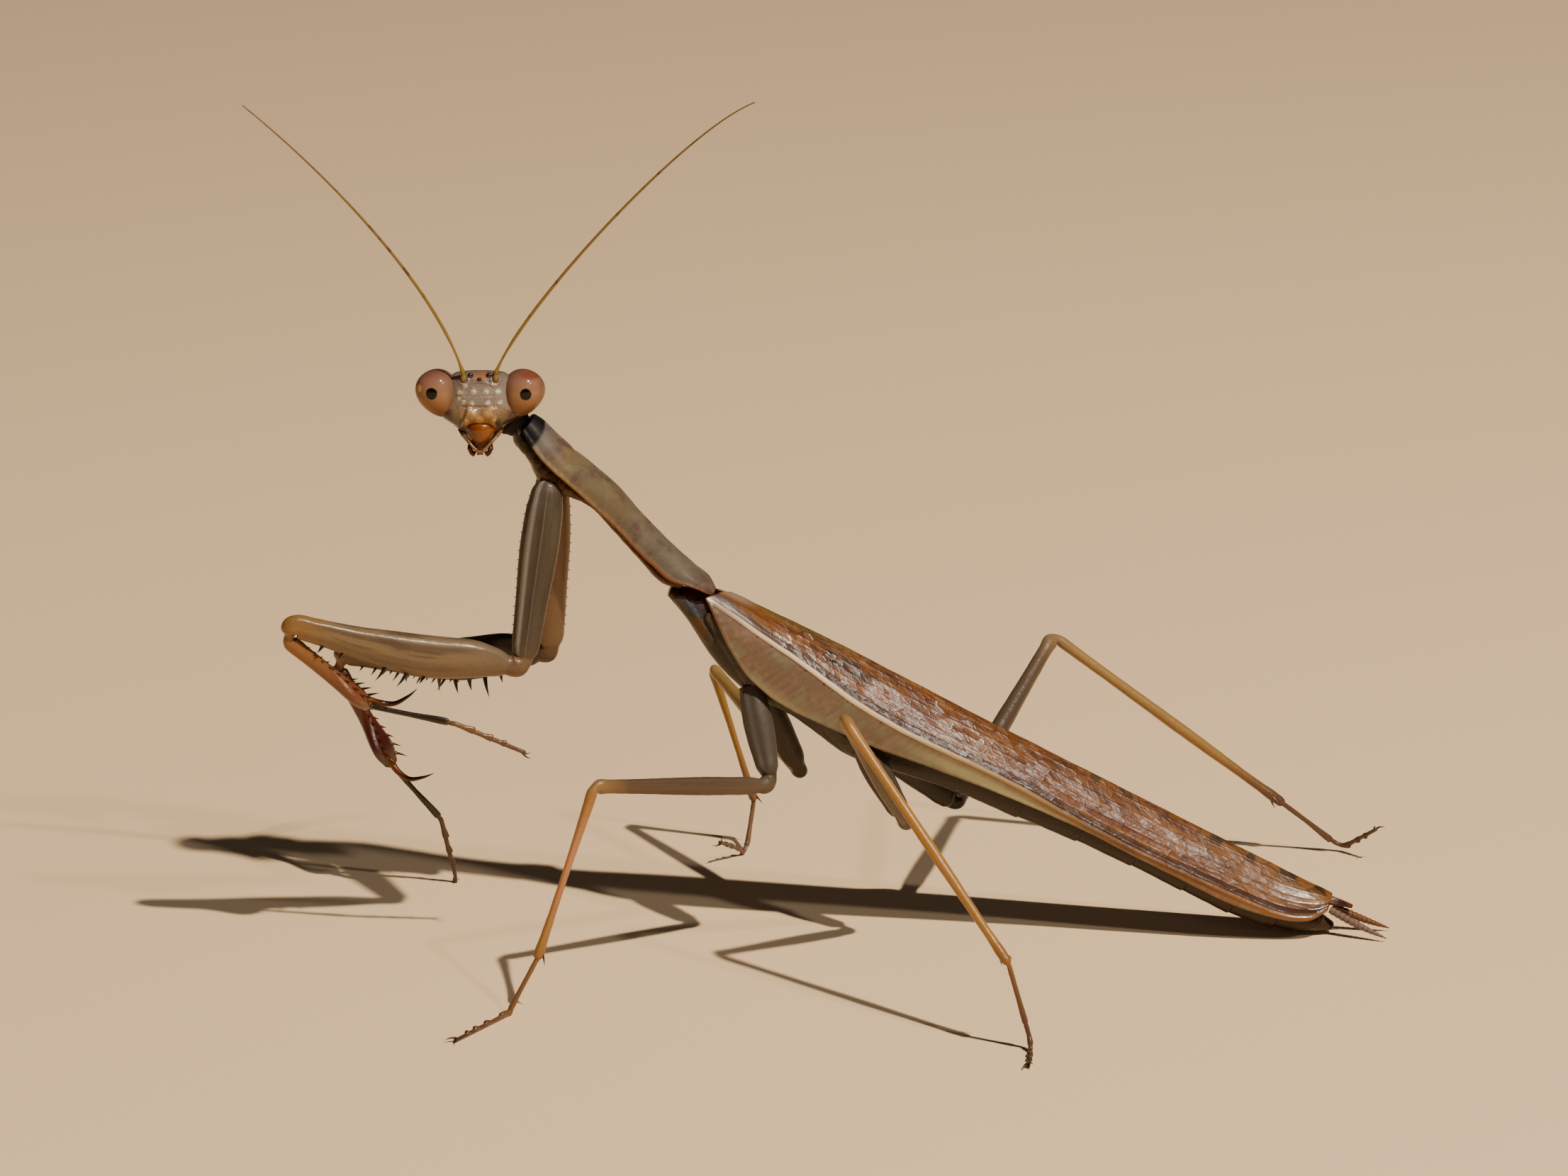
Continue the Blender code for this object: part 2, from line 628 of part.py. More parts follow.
def leg(kind, side):
    """The five nodes of one leg."""
    line, ends = leg_line(kind, side)
    sizes = LEG_SIZES[kind]
    plane = leg_plane(kind, side)
    fore = kind == "fore"
    prefix = f"{kind}leg_{side}_"
    cuts = [(a + HALF_GAP, b - HALF_GAP) for a, b in zip(ends[:-1], ends[1:])]
    coxa = coxa_limb(kind, side)
    item = coxa.body(prefix + "coxa", "coxa", 8, 12)
    if fore:
        combine(item, coxa_teeth(coxa), "UNION")
    Limb(line, *cuts[1], plane, *sizes["trochanter"]).body(prefix + "trochanter", "coxa", 5)
    lift = sizes.get("femur_lift", ((0, 0), (1, 0)))
    femur = Limb(line, *cuts[2], plane, *sizes["femur"], lift)
    item = femur.body(prefix + "femur", "fore_femur" if fore else "femur", 11, 12 if fore else 10)
    if fore:
        combine(item, femur_spines(femur, side), "UNION")
    tibia = Limb(line, *cuts[3], plane, *sizes["tibia"])
    item = tibia.body(prefix + "tibia", "fore_tibia" if fore else "tibia", 9)
    if fore:
        combine(item, tibia_spines(tibia, side), "UNION")
    else:
        spurs = [spine(tibia, SPUR_PLACE, UNDERSIDE + sign * SPUR_TURN, SPUR_LENGTH, SPUR_ROOT,
                       SPUR_LEAN, "tibia")
                 for sign in (-1.0, 1.0)]
        combine(item, spurs, "UNION")
    radius = foot_radius(sizes)
    foot = Limb(line, cuts[4][0], line.length[-1], plane, radius, radius)
    combine(foot_body(foot, prefix + "tarsus"), foot_claws(foot), "UNION")


def foot_body(foot, name):
    """A foot's solid: rings at each joint of the foot, its underside flat on the floor."""
    s = [0.0]
    start = 0.0
    for end in FOOT_JOINTS[:-1]:
        s += [(start + end) / 2, end - 0.01, end + 0.01]
        start = end
    s += [0.95, 1.0]
    rings = foot.rings(np.array(s), FOOT_SIDES)
    rings[..., 2] = np.maximum(rings[..., 2], 0.0)
    return tube(name, rings, "tarsus")


def head_point(side, back, up):
    """A place on the head, from its own side, back and up distances."""
    side, back, up = np.broadcast_arrays(side, back, up)
    return (HEAD_CENTRE + side[..., None] * HEAD_SIDE + back[..., None] * HEAD_BACK
            + up[..., None] * HEAD_UP)


# The head seen from the front: half width, and front and back depth, at heights from its middle.
HEAD_LOW = -2.4
HEAD_HIGH = 1.33
HEAD_HALF_WIDTH = ((-2.4, 1.75), (-2.1, 2.2), (-1.75, 2.62), (-1.2, 2.6), (-0.3, 2.35), (0.5, 2.3),
                   (0.95, 2.1), (1.2, 1.75), (1.33, 1.35))
HEAD_FRONT = ((-2.4, 0.95), (-2.0, 1.15), (-1.0, 1.4), (0.0, 1.35), (0.8, 1.15), (1.33, 0.6))
HEAD_BACK_DEPTH = ((-2.4, 0.55), (-2.0, 0.75), (-1.0, 1.15), (0.0, 1.3), (0.8, 1.1), (1.33, 0.6))
HEAD_SQUARENESS = 0.8


def head_rings(count, sides, grow=0.0):
    """Level rings of the head from its lower end to its crown."""
    up = HEAD_LOW + (HEAD_HIGH - HEAD_LOW) * (1 - np.cos(np.linspace(0.0, np.pi, count))) / 2
    angle = np.linspace(0.0, 2 * np.pi, sides, endpoint=False)
    width = curve_through(HEAD_HALF_WIDTH, up) + grow
    front = curve_through(HEAD_FRONT, up) + grow
    back = curve_through(HEAD_BACK_DEPTH, up) + grow
    cos = np.sign(np.cos(angle)) * np.abs(np.cos(angle)) ** HEAD_SQUARENESS
    sin = np.sign(np.sin(angle)) * np.abs(np.sin(angle)) ** HEAD_SQUARENESS
    depth = np.where(sin[None, :] > 0, back[:, None], front[:, None])
    up = up + np.linspace(-grow, grow, count)
    return head_point(width[:, None] * cos, depth * sin, up[:, None] * np.ones(sides))


# An eye is an egg with its narrow end down and inwards.
EYE_CENTRE = (2.85, -0.1, -0.2)
EYE_HALF_WIDTH = 1.34
EYE_HALF_DEPTH = 1.3
EYE_HALF_HEIGHT = 1.66
EYE_LEAN = np.radians(24)
EYE_NARROWING = 0.2


def eye_grid(side, rows, columns, grow=0.0):
    """Rings of an eye from its lower pole to its upper pole, and the two poles."""
    sign = -SIDES[side]
    polar = np.linspace(0.0, np.pi, rows + 2)[1:-1]
    angle = np.linspace(0.0, 2 * np.pi, columns, endpoint=False)
    along = -np.cos(polar)
    girth = np.sin(polar) * (1 + EYE_NARROWING * along)
    across = (EYE_HALF_WIDTH + grow) * girth[:, None] * np.cos(angle)
    deep = (EYE_HALF_DEPTH + grow) * girth[:, None] * np.sin(angle)
    long = (EYE_HALF_HEIGHT + grow) * along[:, None] * np.ones(columns)
    return egg_to_head(sign, across, deep, long)


def egg_to_head(sign, across, deep, long):
    """Turn the egg's own distances by its lean and put them on the head."""
    cos, sin = np.cos(EYE_LEAN), np.sin(EYE_LEAN)
    side = sign * (EYE_CENTRE[0] + across * cos + long * sin)
    up = EYE_CENTRE[2] + long * cos - across * sin
    return head_point(side, EYE_CENTRE[1] + deep, up)


def eye(side, name, grow=0.0, rows=10, columns=15):
    """One compound eye."""
    sign = -SIDES[side]
    low = egg_to_head(sign, 0.0, 0.0, -(EYE_HALF_HEIGHT + grow))
    high = egg_to_head(sign, 0.0, 0.0, EYE_HALF_HEIGHT + grow)
    return ball(name, eye_grid(side, rows, columns, grow), low, high, "eye")


# A feeler stands on a boss of the head, a gap away, and bends outwards on a cubic curve.
BOSS_ROOT = (1.08, -0.55, 0.3)
BOSS_TOP = (1.08, -1.02, 1.0)
BOSS_THICKNESS = (0.48, 0.4)
ANTENNA_REACH = {
    "right": ((-23.2, -2.4, 46.6), (-29.9, -4.6, 54.8), (-35.6, -6.0, 60.1)),
    "left": ((-17.75, -2.5, 45.2), (-6.4, -4.6, 58.2), (-1.9, -6.0, 60.25)),
}
ANTENNA_HALF_THICKNESS = ((0, 0.3), (0.03, 0.3), (0.06, 0.25), (0.5, 0.25), (1, 0.16))


def boss_end(side, place):
    """A point of the axis of a feeler's boss."""
    return head_point(-SIDES[side] * np.array(place[0]), np.array(place[1]), np.array(place[2]))


def antenna(side):
    """One feeler, a long tapering thread."""
    top = boss_end(side, BOSS_TOP)
    start = top + GAP * unit(top - boss_end(side, BOSS_ROOT))
    points = bezier(start, *ANTENNA_REACH[side], 14)
    line = Line(points, [2.0] * (len(points) - 2))
    across = np.array([0.0, 1.0, 0.0])
    limb = Limb(line, 0.0, line.length[-1], across, ANTENNA_HALF_THICKNESS, ANTENNA_HALF_THICKNESS)
    return tube(f"antenna_{side}", limb.rings(np.linspace(0.0, 1.0, 22), 6), "antenna")


def head_swelling(centre, sizes, rows, columns, finish_name):
    """An ellipsoid at a place on the head, with its half width, depth and height."""
    polar = np.linspace(0.0, np.pi, rows + 2)[1:-1, None]
    angle = np.linspace(0.0, 2 * np.pi, columns, endpoint=False)
    side = centre[0] + sizes[0] * np.sin(polar) * np.cos(angle)
    back = centre[1] + sizes[1] * np.sin(polar) * np.sin(angle)
    up = centre[2] - sizes[2] * np.cos(polar) * np.ones(columns)
    low = head_point(np.array(centre[0]), np.array(centre[1]), np.array(centre[2] - sizes[2]))
    high = head_point(np.array(centre[0]), np.array(centre[1]), np.array(centre[2] + sizes[2]))
    return ball("swelling", head_point(side, back, up), low, high, finish_name)


# Swellings of the face: centre and half sizes (side, back, up).
OCELLI = (((-0.62, -0.92, 1.12), (0.26, 0.26, 0.24)), ((0.62, -0.92, 1.12), (0.26, 0.26, 0.24)),
          ((0.0, -1.12, 0.85), (0.25, 0.25, 0.22)))
FRONTAL_SHIELD = ((0.0, -1.0, -0.25), (1.25, 0.55, 0.68))
CLYPEUS = ((0.0, -0.85, -1.6), (1.15, 0.65, 0.72))


def head():
    """The head with its face plates, simple eyes and feeler bosses, and a socket for each eye."""
    item = tube("head", head_rings(12, 20), "head")
    pieces = [head_swelling(*place, 3, 7, "head") for place in OCELLI]
    pieces += [head_swelling(*place, 4, 12, "head") for place in (FRONTAL_SHIELD, CLYPEUS)]
    pieces += [bent_tube([boss_end(side, BOSS_ROOT), boss_end(side, BOSS_TOP)], BOSS_THICKNESS, 7, "head")
               for side in SIDES]
    combine(item, pieces, "UNION")
    cutters = [eye(side, f"cutter_{side}", GAP, 8, 12) for side in SIDES]
    combine(item, cutters, "DIFFERENCE")
    for side in SIDES:
        eye(side, f"eye_{side}")


# Jaws below the head: half width, front and back depth at heights from the head's middle.
JAW_HALF_WIDTH = ((-3.8, 0.42), (-3.6, 0.62), (-3.34, 0.85), (-2.95, 1.15), (-2.7, 1.5))
JAW_FRONT = ((-3.8, 0.45), (-3.3, 0.7), (-2.7, 0.8))
JAW_BACK = ((-3.8, 0.3), (-3.3, 0.5), (-2.7, 0.5))
LABRUM = ((0.0, -0.72, -3.05), (0.85, 0.4, 0.68))
# Feelers of the mouth on one side: points (side, back, up) from the jaw down.
PALPS = (((0.85, -0.2, -3.0), (0.64, -0.6, -3.4), (0.45, -0.85, -3.8), (0.4, -0.95, -4.2)),
         ((0.3, 0.0, -3.5), (0.3, 0.08, -3.8), (0.29, 0.0, -4.05), (0.28, -0.1, -4.2)))
PALP_THICKNESS = (0.27, 0.26, 0.25, 0.2)


def mouthparts():
    """Upper lip, jaws and the four mouth feelers, in one piece under the head."""
    up = np.linspace(-3.8, HEAD_LOW - GAP, 6)
    angle = np.linspace(0.0, 2 * np.pi, 12, endpoint=False)
    width = curve_through(JAW_HALF_WIDTH, up)[:, None]
    front = curve_through(JAW_FRONT, up)[:, None]
    back = curve_through(JAW_BACK, up)[:, None]
    depth = np.where(np.sin(angle) > 0, back, front)
    rings = head_point(width * np.cos(angle), depth * np.sin(angle), up[:, None] * np.ones(len(angle)))
    item = tube("mouthparts", rings, "mouth")
    pieces = [head_swelling(*LABRUM, 4, 10, "mouth")]
    for sign in SIDES.values():
        for path in PALPS:
            points = [head_point(np.array(sign * side), np.array(back), np.array(up))
                      for side, back, up in path]
            pieces.append(bent_tube(points, PALP_THICKNESS, 6, "mouth"))
    return combine(item, pieces, "UNION")


NECK_JOINTS = ((-18.15, 0.0, 36.65), (-19.05, 0.3, 37.45), (-20.4, 0.5, 38.5))
NECK_HALF_WIDTH = ((0, 1.2), (0.5, 1.25), (1, 1.1))


def neck():
    """The neck, whose upper end follows the back of the head."""
    line = Line(NECK_JOINTS, [0.6])
    across = np.array([0.0, 1.0, 0.0])
    item = Limb(line, 0.0, line.length[-1], across, NECK_HALF_WIDTH, NECK_HALF_WIDTH)
    item = item.body("neck", "neck", 6, 12)
    cutters = [tube("cutter_head", head_rings(9, 20, GAP), "head")]
    cutters += [eye(side, f"cutter_{side}", GAP, 9, 14) for side in SIDES]
    return combine(item, cutters, "DIFFERENCE")


# The pronotum, at lengths from its front: height of its back, height of its side keels, half width.
PRONOTUM_TOP = ((0, 0.8), (2, 0.74), (3.3, 0.7), (3.7, 0.56), (4.1, 0.7), (5.6, 0.94), (7.7, 0.98),
                (9.7, 0.78), (13, 0.66), (15.2, 0.7), (16.6, 0.75), (17.3, 0.55))
PRONOTUM_KEEL = ((0, -0.55), (1.7, -0.85), (5, -0.8), (9, -0.88), (13, -1.05), (14.4, -0.95),
                 (15.6, -0.3), (16.6, 0.1), (17.3, 0.25))
PRONOTUM_HALF_WIDTH = ((0, 1.35), (1.5, 1.7), (4.2, 2.25), (6.5, 1.9), (10, 1.5), (14, 1.5),
                       (16, 1.65), (17.3, 1.1))
PROSTERNUM_BOTTOM = ((0.1, -1.55), (2, -1.9), (3.2, -2.3), (4.4, -2.3), (5.6, -1.75), (6.9, -1.25),
                     (9.3, -1.4), (12, -1.6), (14.6, -1.6))
PROSTERNUM_HALF_WIDTH = ((0.1, 0.95), (2, 1.2), (4, 1.5), (6, 1.2), (9, 0.9), (14.6, 0.9))
PRONOTUM_RIDGE = 0.1
PRONOTUM_ROUNDNESS = 0.85
# The shield's flat underside lies this far below its side keels.
PRONOTUM_LIP = 0.06
# The least thickness of the prosternum, and how high its widest places lie.
PROSTERNUM_LEAST = 0.5
PROSTERNUM_SHOULDER = 0.25


def along_body(start, along, up_direction, t, side, up):
    """Points at distances t along, side across and up from a straight body line."""
    t, side, up = np.broadcast_arrays(t, side, up)
    return (start + t[..., None] * along + side[..., None] * np.array([0.0, 1.0, 0.0])
            + up[..., None] * up_direction)


def pronotum():
    """The long shield behind the head: an arch with a middle keel over a flat underside."""
    t = np.array([0, 0.4, 1.2, 2.4, 3.3, 3.7, 4.1, 4.8, 5.8, 7, 8.5, 10, 11.6, 13.2, 14.4, 15.2, 16,
                  16.7, 17.3])
    angle = np.pi * np.array([0, 0.09, 0.2, 0.3, 0.4, 0.46, 0.5, 0.54, 0.6, 0.7, 0.8, 0.91, 1.0])
    top = curve_through(PRONOTUM_TOP, t)[:, None]
    keel = curve_through(PRONOTUM_KEEL, t)[:, None]
    width = curve_through(PRONOTUM_HALF_WIDTH, t)[:, None]
    arch_side = width * np.cos(angle)
    arch_up = keel + (top - keel) * np.clip(np.sin(angle), 0.0, 1.0) ** PRONOTUM_ROUNDNESS
    arch_up[:, len(angle) // 2] += PRONOTUM_RIDGE
    under_share = np.array([-0.6, 0.0, 0.6])
    under_side = width * under_share
    under_up = (keel - PRONOTUM_LIP) * np.ones(len(under_share))
    side = np.concatenate([arch_side, under_side], axis=1)
    up = np.concatenate([arch_up, under_up], axis=1)
    rings = along_body(PRONOTUM_START, PRONOTUM_ALONG, PRONOTUM_UP, t[:, None], side, up)
    return tube("pronotum", rings, "pronotum")


def prosternum():
    """The fleshy underside of the pronotum, with a socket for each fore leg."""
    t = np.array([0.1, 1.2, 2.4, 3.2, 4.0, 4.8, 5.8, 7, 9, 11.5, 14.2])
    angle = np.linspace(0.0, 2 * np.pi, 16, endpoint=False)
    top = (curve_through(PRONOTUM_KEEL, t) - PRONOTUM_LIP - GAP)[:, None]
    bottom = curve_through(PROSTERNUM_BOTTOM, t)[:, None]
    bottom = np.minimum(bottom, top - PROSTERNUM_LEAST)
    width = curve_through(PROSTERNUM_HALF_WIDTH, t)[:, None]
    side = width * np.cos(angle)
    down = np.where(np.sin(angle) > 0, 0.0, np.abs(np.sin(angle)))
    share = PROSTERNUM_SHOULDER + (1 - PROSTERNUM_SHOULDER) * down
    up = top + (bottom - top) * share * (np.sin(angle) <= 1e-9)
    rings = along_body(PRONOTUM_START, PRONOTUM_ALONG, PRONOTUM_UP, t[:, None], side, up)
    item = tube("prosternum", rings, "underside")
    return combine(item, coxa_cutters("fore"), "DIFFERENCE")


def coxa_cutters(kind):
    """The upper parts of a pair of coxae, grown by the gap, as cutters for their sockets."""
    cutters = []
    for side in SIDES:
        limb = coxa_limb(kind, side)
        rings = limb.rings(np.array([0.0, 0.12, 0.25, 0.4, 0.6]), 12, GAP)
        rings[0] -= GAP * limb.frame(0.0)[1]
        cutters.append(tube(f"cutter_{side}", rings, "coxa"))
    return cutters


# The trunk behind the pronotum, at lengths from the wing roots along the back line:
# the top and bottom of its section below that line, and its half width.
TRUNK_TOP = ((-3.3, -1.5), (-2.2, -1.1), (-0.9, -0.75), (0.2, -0.95), (1.4, -1.2), (2.6, -1.85),
             (15, -1.85), (40, -1.85), (45, -1.8), (47.2, -1.7), (48.4, -1.75))
TRUNK_BOTTOM = ((-3.3, -2.25), (-1.4, -3.1), (-0.2, -3.83), (1.1, -4.58), (4.4, -5.72), (8.3, -5.85),
                (10.5, -6.25), (12.5, -6.6), (15, -6.35), (19.2, -5.55), (24.4, -5.15), (29.4, -4.76),
                (34.8, -4.55), (39.7, -4.5), (42.1, -4.45), (44.4, -4.1), (46.5, -3.4), (48.4, -2.4))
TRUNK_HALF_WIDTH = ((-3.3, 0.9), (-1.4, 1.25), (0.2, 1.4), (3, 1.7), (8, 1.85), (13, 1.85),
                    (16, 1.75), (24, 1.7), (32, 1.5), (40, 1.35), (45, 1.1), (47, 0.85), (48.4, 0.6))
TRUNK_CUTS = {"mesothorax": (-3.3, 7.6), "metathorax": (7.6, 15.6), "abdomen": (15.6, 48.4)}
TRUNK_SQUARENESS = 0.85


def trunk_rings(t, sides):
    """Rings square to the back line at the lengths t."""
    top = curve_through(TRUNK_TOP, t)[:, None]
    bottom = curve_through(TRUNK_BOTTOM, t)[:, None]
    width = curve_through(TRUNK_HALF_WIDTH, t)[:, None]
    angle = np.linspace(0.0, 2 * np.pi, sides, endpoint=False)
    cos = np.sign(np.cos(angle)) * np.abs(np.cos(angle)) ** TRUNK_SQUARENESS
    up = (top + bottom) / 2 + (top - bottom) / 2 * np.sin(angle)
    return along_body(BACK_START, BACK_ALONG, BACK_UP, t[:, None], width * cos, up)


# The abdomen's rings start at these lengths, each a little wider at its end than the next one.
SEGMENT_STARTS = (15.6, 20.6, 25.2, 29.6, 33.8, 37.8, 41.4, 44.6)
SEGMENT_STEP = 0.12
SEGMENT_RIM = 0.25


def abdomen():
    """The abdomen, a row of rings that overlap like tiles, with a boat-shaped last plate."""
    t = []
    swell = []
    ends = SEGMENT_STARTS[1:] + (TRUNK_CUTS["abdomen"][1],)
    for start, end in zip(SEGMENT_STARTS, ends):
        t += [start, (start + end) / 2, end - SEGMENT_RIM]
        swell += [-SEGMENT_STEP, 0.0, SEGMENT_STEP]
    t.append(ends[-1])
    swell.append(0.0)
    t = np.array(t)
    rings = trunk_rings(t, 14)
    middle = rings.mean(axis=1, keepdims=True)
    outward = unit(rings - middle)
    return tube("abdomen", rings + np.array(swell)[:, None, None] * outward, "abdomen")


def trunk():
    """Mesothorax, metathorax and abdomen, end to end under the wings."""
    for name, kind in (("mesothorax", "mid"), ("metathorax", "hind")):
        start, stop = TRUNK_CUTS[name]
        item = tube(name, trunk_rings(np.linspace(start, stop - GAP, 8), 16), "thorax")
        combine(item, coxa_cutters(kind), "DIFFERENCE")
    abdomen()


# A forewing, at lengths from its root along the back line: half width and depth of its arch,
# how far down its free edge lies, and where its white stripe runs.
WING_HALF_WIDTH = ((0, 2.3), (5, 2.65), (10, 2.75), (20, 2.65), (30, 2.45), (40, 2.25), (47.2, 2.0))
WING_DEPTH = ((0, 4.6), (5, 4.95), (10, 4.95), (14, 4.65), (19, 4.05), (28, 3.45), (36, 3.45),
              (47.2, 3.4))
WING_EDGE = ((0, -1.9), (0.5, -2.2), (1.8, -3.05), (3.6, -4.0), (5.4, -4.6), (7.6, -4.85), (9.5, -4.8),
             (13.9, -4.55), (19.2, -3.93), (27.7, -3.3), (36.4, -3.35), (41.3, -3.3), (44, -2.9),
             (45.6, -2.4), (46.6, -1.75), (47.2, -1.0))
WING_STRIPE = ((0, -0.8), (3.3, -1.29), (5.9, -1.6), (8.7, -2.0), (11.2, -2.4), (14, -2.6), (24, -2.6),
               (27.5, -2.8), (34, -2.95), (40, -2.8), (47.2, -2.5))
WING_CREST = ((0, 0), (4, 0.08), (8, 0.15), (12, 0.12), (18, 0.03), (26, 0), (47.2, 0))
WING_THICKNESS = 0.5
WING_LENGTH = 47.2
VEIN_COUNT = 5
VEIN_RISE = 0.12
VEIN_HALF_WIDTH = 0.022
STRIPE_LIMIT = 0.93


def arch_angle(t, depth_below):
    """The angle down the wing's arch at which it lies this far below the back line."""
    below = depth_below + curve_through(WING_CREST, t)
    share = np.clip(1 - below / curve_through(WING_DEPTH, t), -1.0, 1.0)
    return np.arccos(share)


def wing_point(side, t, angle, inset):
    """A place on a wing's arch, `inset` under its outer surface."""
    half_width = curve_through(WING_HALF_WIDTH, t)[:, None] - inset
    depth = curve_through(WING_DEPTH, t)[:, None] - inset
    across = HALF_GAP + (half_width - HALF_GAP) * np.sin(angle)
    crest = curve_through(WING_CREST, t)[:, None]
    up = crest - inset - depth * (1 - np.cos(angle))
    return along_body(BACK_START, BACK_ALONG, BACK_UP, t[:, None], SIDES[side] * across, up)


def forewing(side):
    """One leathery forewing: an arched sheet whose main veins are raised ridges."""
    t = np.concatenate([[0.0, 0.9, 2.0, 3.6, 5.4], np.linspace(8.0, 39.5, 8),
                        [42.5, 44.5, 45.8, 46.7, WING_LENGTH]])
    edge = arch_angle(t, -curve_through(WING_EDGE, t))
    stripe = np.minimum(arch_angle(t, -curve_through(WING_STRIPE, t)), edge * STRIPE_LIMIT)
    columns = [0.0 * t]
    rises = [0.0]
    for vein in range(1, VEIN_COUNT + 1):
        centre = stripe * vein / VEIN_COUNT
        step = VEIN_HALF_WIDTH * np.pi * np.ones_like(t) * np.minimum(1.0, stripe)
        columns += [centre - step, centre, centre + np.minimum(step, (edge - centre) * 0.4)]
        rises += [0.0, VEIN_RISE, 0.0]
    columns += [(columns[-1] + edge) / 2, edge]
    rises += [0.0, 0.0]
    angle = np.stack(columns, axis=1)
    outer = wing_point(side, t, angle, -np.array(rises))
    inner = wing_point(side, t, angle, WING_THICKNESS)
    return shell(f"forewing_{side}", outer, inner, "forewing")


HINDWING_START = 2.9
HINDWING_END = 48.9
HINDWING_SPREAD = ((2.9, 0.3), (6, 0.42), (40, 0.42), (45, 0.36), (48.9, 0.08))
# Past the end of the forewing the tip rises towards the back line and thins.
HINDWING_TIP = (47.5, HINDWING_END)
HINDWING_TIP_RISE = 0.6
HINDWING_TIP_THICKNESS = 0.25
# Shares of its spread at which the sheet has points, and how deep each lies below its two veins.
HINDWING_COLUMNS = ((0.0, 0.1), (0.3, 0.1), (0.42, 0.0), (0.54, 0.1), (0.78, 0.1), (0.88, 0.0),
                    (1.0, 0.1))


def hindwing(side):
    """One folded hind wing, a narrow pad under its forewing with two veins and a pointed tip."""
    t = np.concatenate([np.linspace(HINDWING_START, 45.0, 9), HINDWING_TIP])
    spread = curve_through(HINDWING_SPREAD, t)
    share, sunk = np.array(HINDWING_COLUMNS).T
    angle = spread[:, None] * share
    inset = WING_THICKNESS + GAP - np.interp(t, HINDWING_TIP, (0.0, HINDWING_TIP_RISE))[:, None]
    thickness = np.interp(t, HINDWING_TIP, (WING_THICKNESS, HINDWING_TIP_THICKNESS))[:, None]
    outer = wing_point(side, t, angle, inset + sunk)
    inner = wing_point(side, t, angle, inset + thickness)
    return shell(f"hindwing_{side}", outer, inner, "hindwing")


# The tail's end is turned a little to the animal's left, and both feelers with it.
CERCUS_ROOTS = {"left": (38.2, -0.55, 1.6), "right": (38.2, 0.55, 1.5)}
CERCUS_TIPS = {"left": (41.5, -1.85, 0.35), "right": (41.9, 0.35, 0.35)}
CERCUS_HALF_THICKNESS = ((0, 0.32), (0.3, 0.34), (0.8, 0.25), (1, 0.1))
CERCUS_SAG = 0.1
CERCUS_JOINTS = 8
CERCUS_JOINT_ENDS = (0.05, 0.9)
CERCUS_STEP = 0.05


def cercus(side):
    """One of the two short jointed feelers of the tail."""
    start = np.array(CERCUS_ROOTS[side])
    end = np.array(CERCUS_TIPS[side])
    middle = (start + end) / 2 - np.array([0.0, 0.0, CERCUS_SAG])
    line = Line([start, middle, end], [1.0])
    across = np.array([0.0, 1.0, 0.0])
    limb = Limb(line, 0.0, line.length[-1], across, CERCUS_HALF_THICKNESS, CERCUS_HALF_THICKNESS)
    s = (np.arange(CERCUS_JOINTS)[:, None] + np.array(CERCUS_JOINT_ENDS)).reshape(-1) / CERCUS_JOINTS
    rings = limb.rings(s, 8)
    middle = rings.mean(axis=1, keepdims=True)
    swell = np.tile([-CERCUS_STEP, CERCUS_STEP], CERCUS_JOINTS)[:, None, None]
    rings = rings + swell * unit(rings - middle)
    return tube(f"cercus_{side}", rings, "cercus")


def to_metres():
    """Move every solid to the part's origin, put it into metres and shade it smooth."""
    place = Matrix.Scale(MM, 4) @ Matrix.Translation(-ORIGIN)
    for item in bpy.data.objects:
        item.data.transform(place)
        item.data.shade_smooth()
        item.data.set_sharp_from_angle(angle=SHARP_ANGLE)


def main():
    """Clear the scene and build the mantis."""
    for item in list(bpy.data.objects):
        bpy.data.objects.remove(item)
    head()
    mouthparts()
    neck()
    pronotum()
    prosternum()
    trunk()
    for side in SIDES:
        antenna(side)
        forewing(side)
        hindwing(side)
        cercus(side)
        for kind in LEGS:
            leg(kind, side)
    to_metres()


main()
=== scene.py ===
"""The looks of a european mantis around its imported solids.

The animal faces -X with its head turned to its left, and stands on the floor, z = 0. Shapes are
worked out in millimetres in the same frame as the solids, and put into metres in the meshes.
"""

import logging
import math
from dataclasses import dataclass
from enum import Enum
from functools import partial
from typing import Sequence

import bpy
import numpy as np
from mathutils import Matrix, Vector
from numpy.typing import NDArray


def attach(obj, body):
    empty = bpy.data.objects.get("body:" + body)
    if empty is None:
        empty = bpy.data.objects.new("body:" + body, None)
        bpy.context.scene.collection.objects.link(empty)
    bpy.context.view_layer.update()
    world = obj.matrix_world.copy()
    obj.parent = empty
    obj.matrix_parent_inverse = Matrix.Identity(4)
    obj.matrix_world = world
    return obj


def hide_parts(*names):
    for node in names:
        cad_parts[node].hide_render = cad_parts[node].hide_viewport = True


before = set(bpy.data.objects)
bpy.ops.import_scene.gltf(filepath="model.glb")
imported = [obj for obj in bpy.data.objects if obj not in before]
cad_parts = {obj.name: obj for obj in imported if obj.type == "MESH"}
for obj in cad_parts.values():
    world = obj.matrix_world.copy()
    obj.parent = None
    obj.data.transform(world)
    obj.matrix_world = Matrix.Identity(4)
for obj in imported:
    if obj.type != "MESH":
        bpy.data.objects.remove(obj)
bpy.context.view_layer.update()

LOG = logging.getLogger("mantis")

Array = NDArray[np.float64]
Colour = tuple[float, float, float]
Place = tuple[float, float, float]
Knots = Sequence[tuple[float, float]]

MM = 0.001
ORIGIN = np.array([3.59, -3.97, 0.0])
TWO_PI = 2.0 * math.pi
UNDERSIDE = -math.pi / 2
# An ellipsoid's rings, and the angle from its pole at which the first one lies.
BALL_ROWS, BALL_COLUMNS = 16, 20
POLE_GAP = 0.02
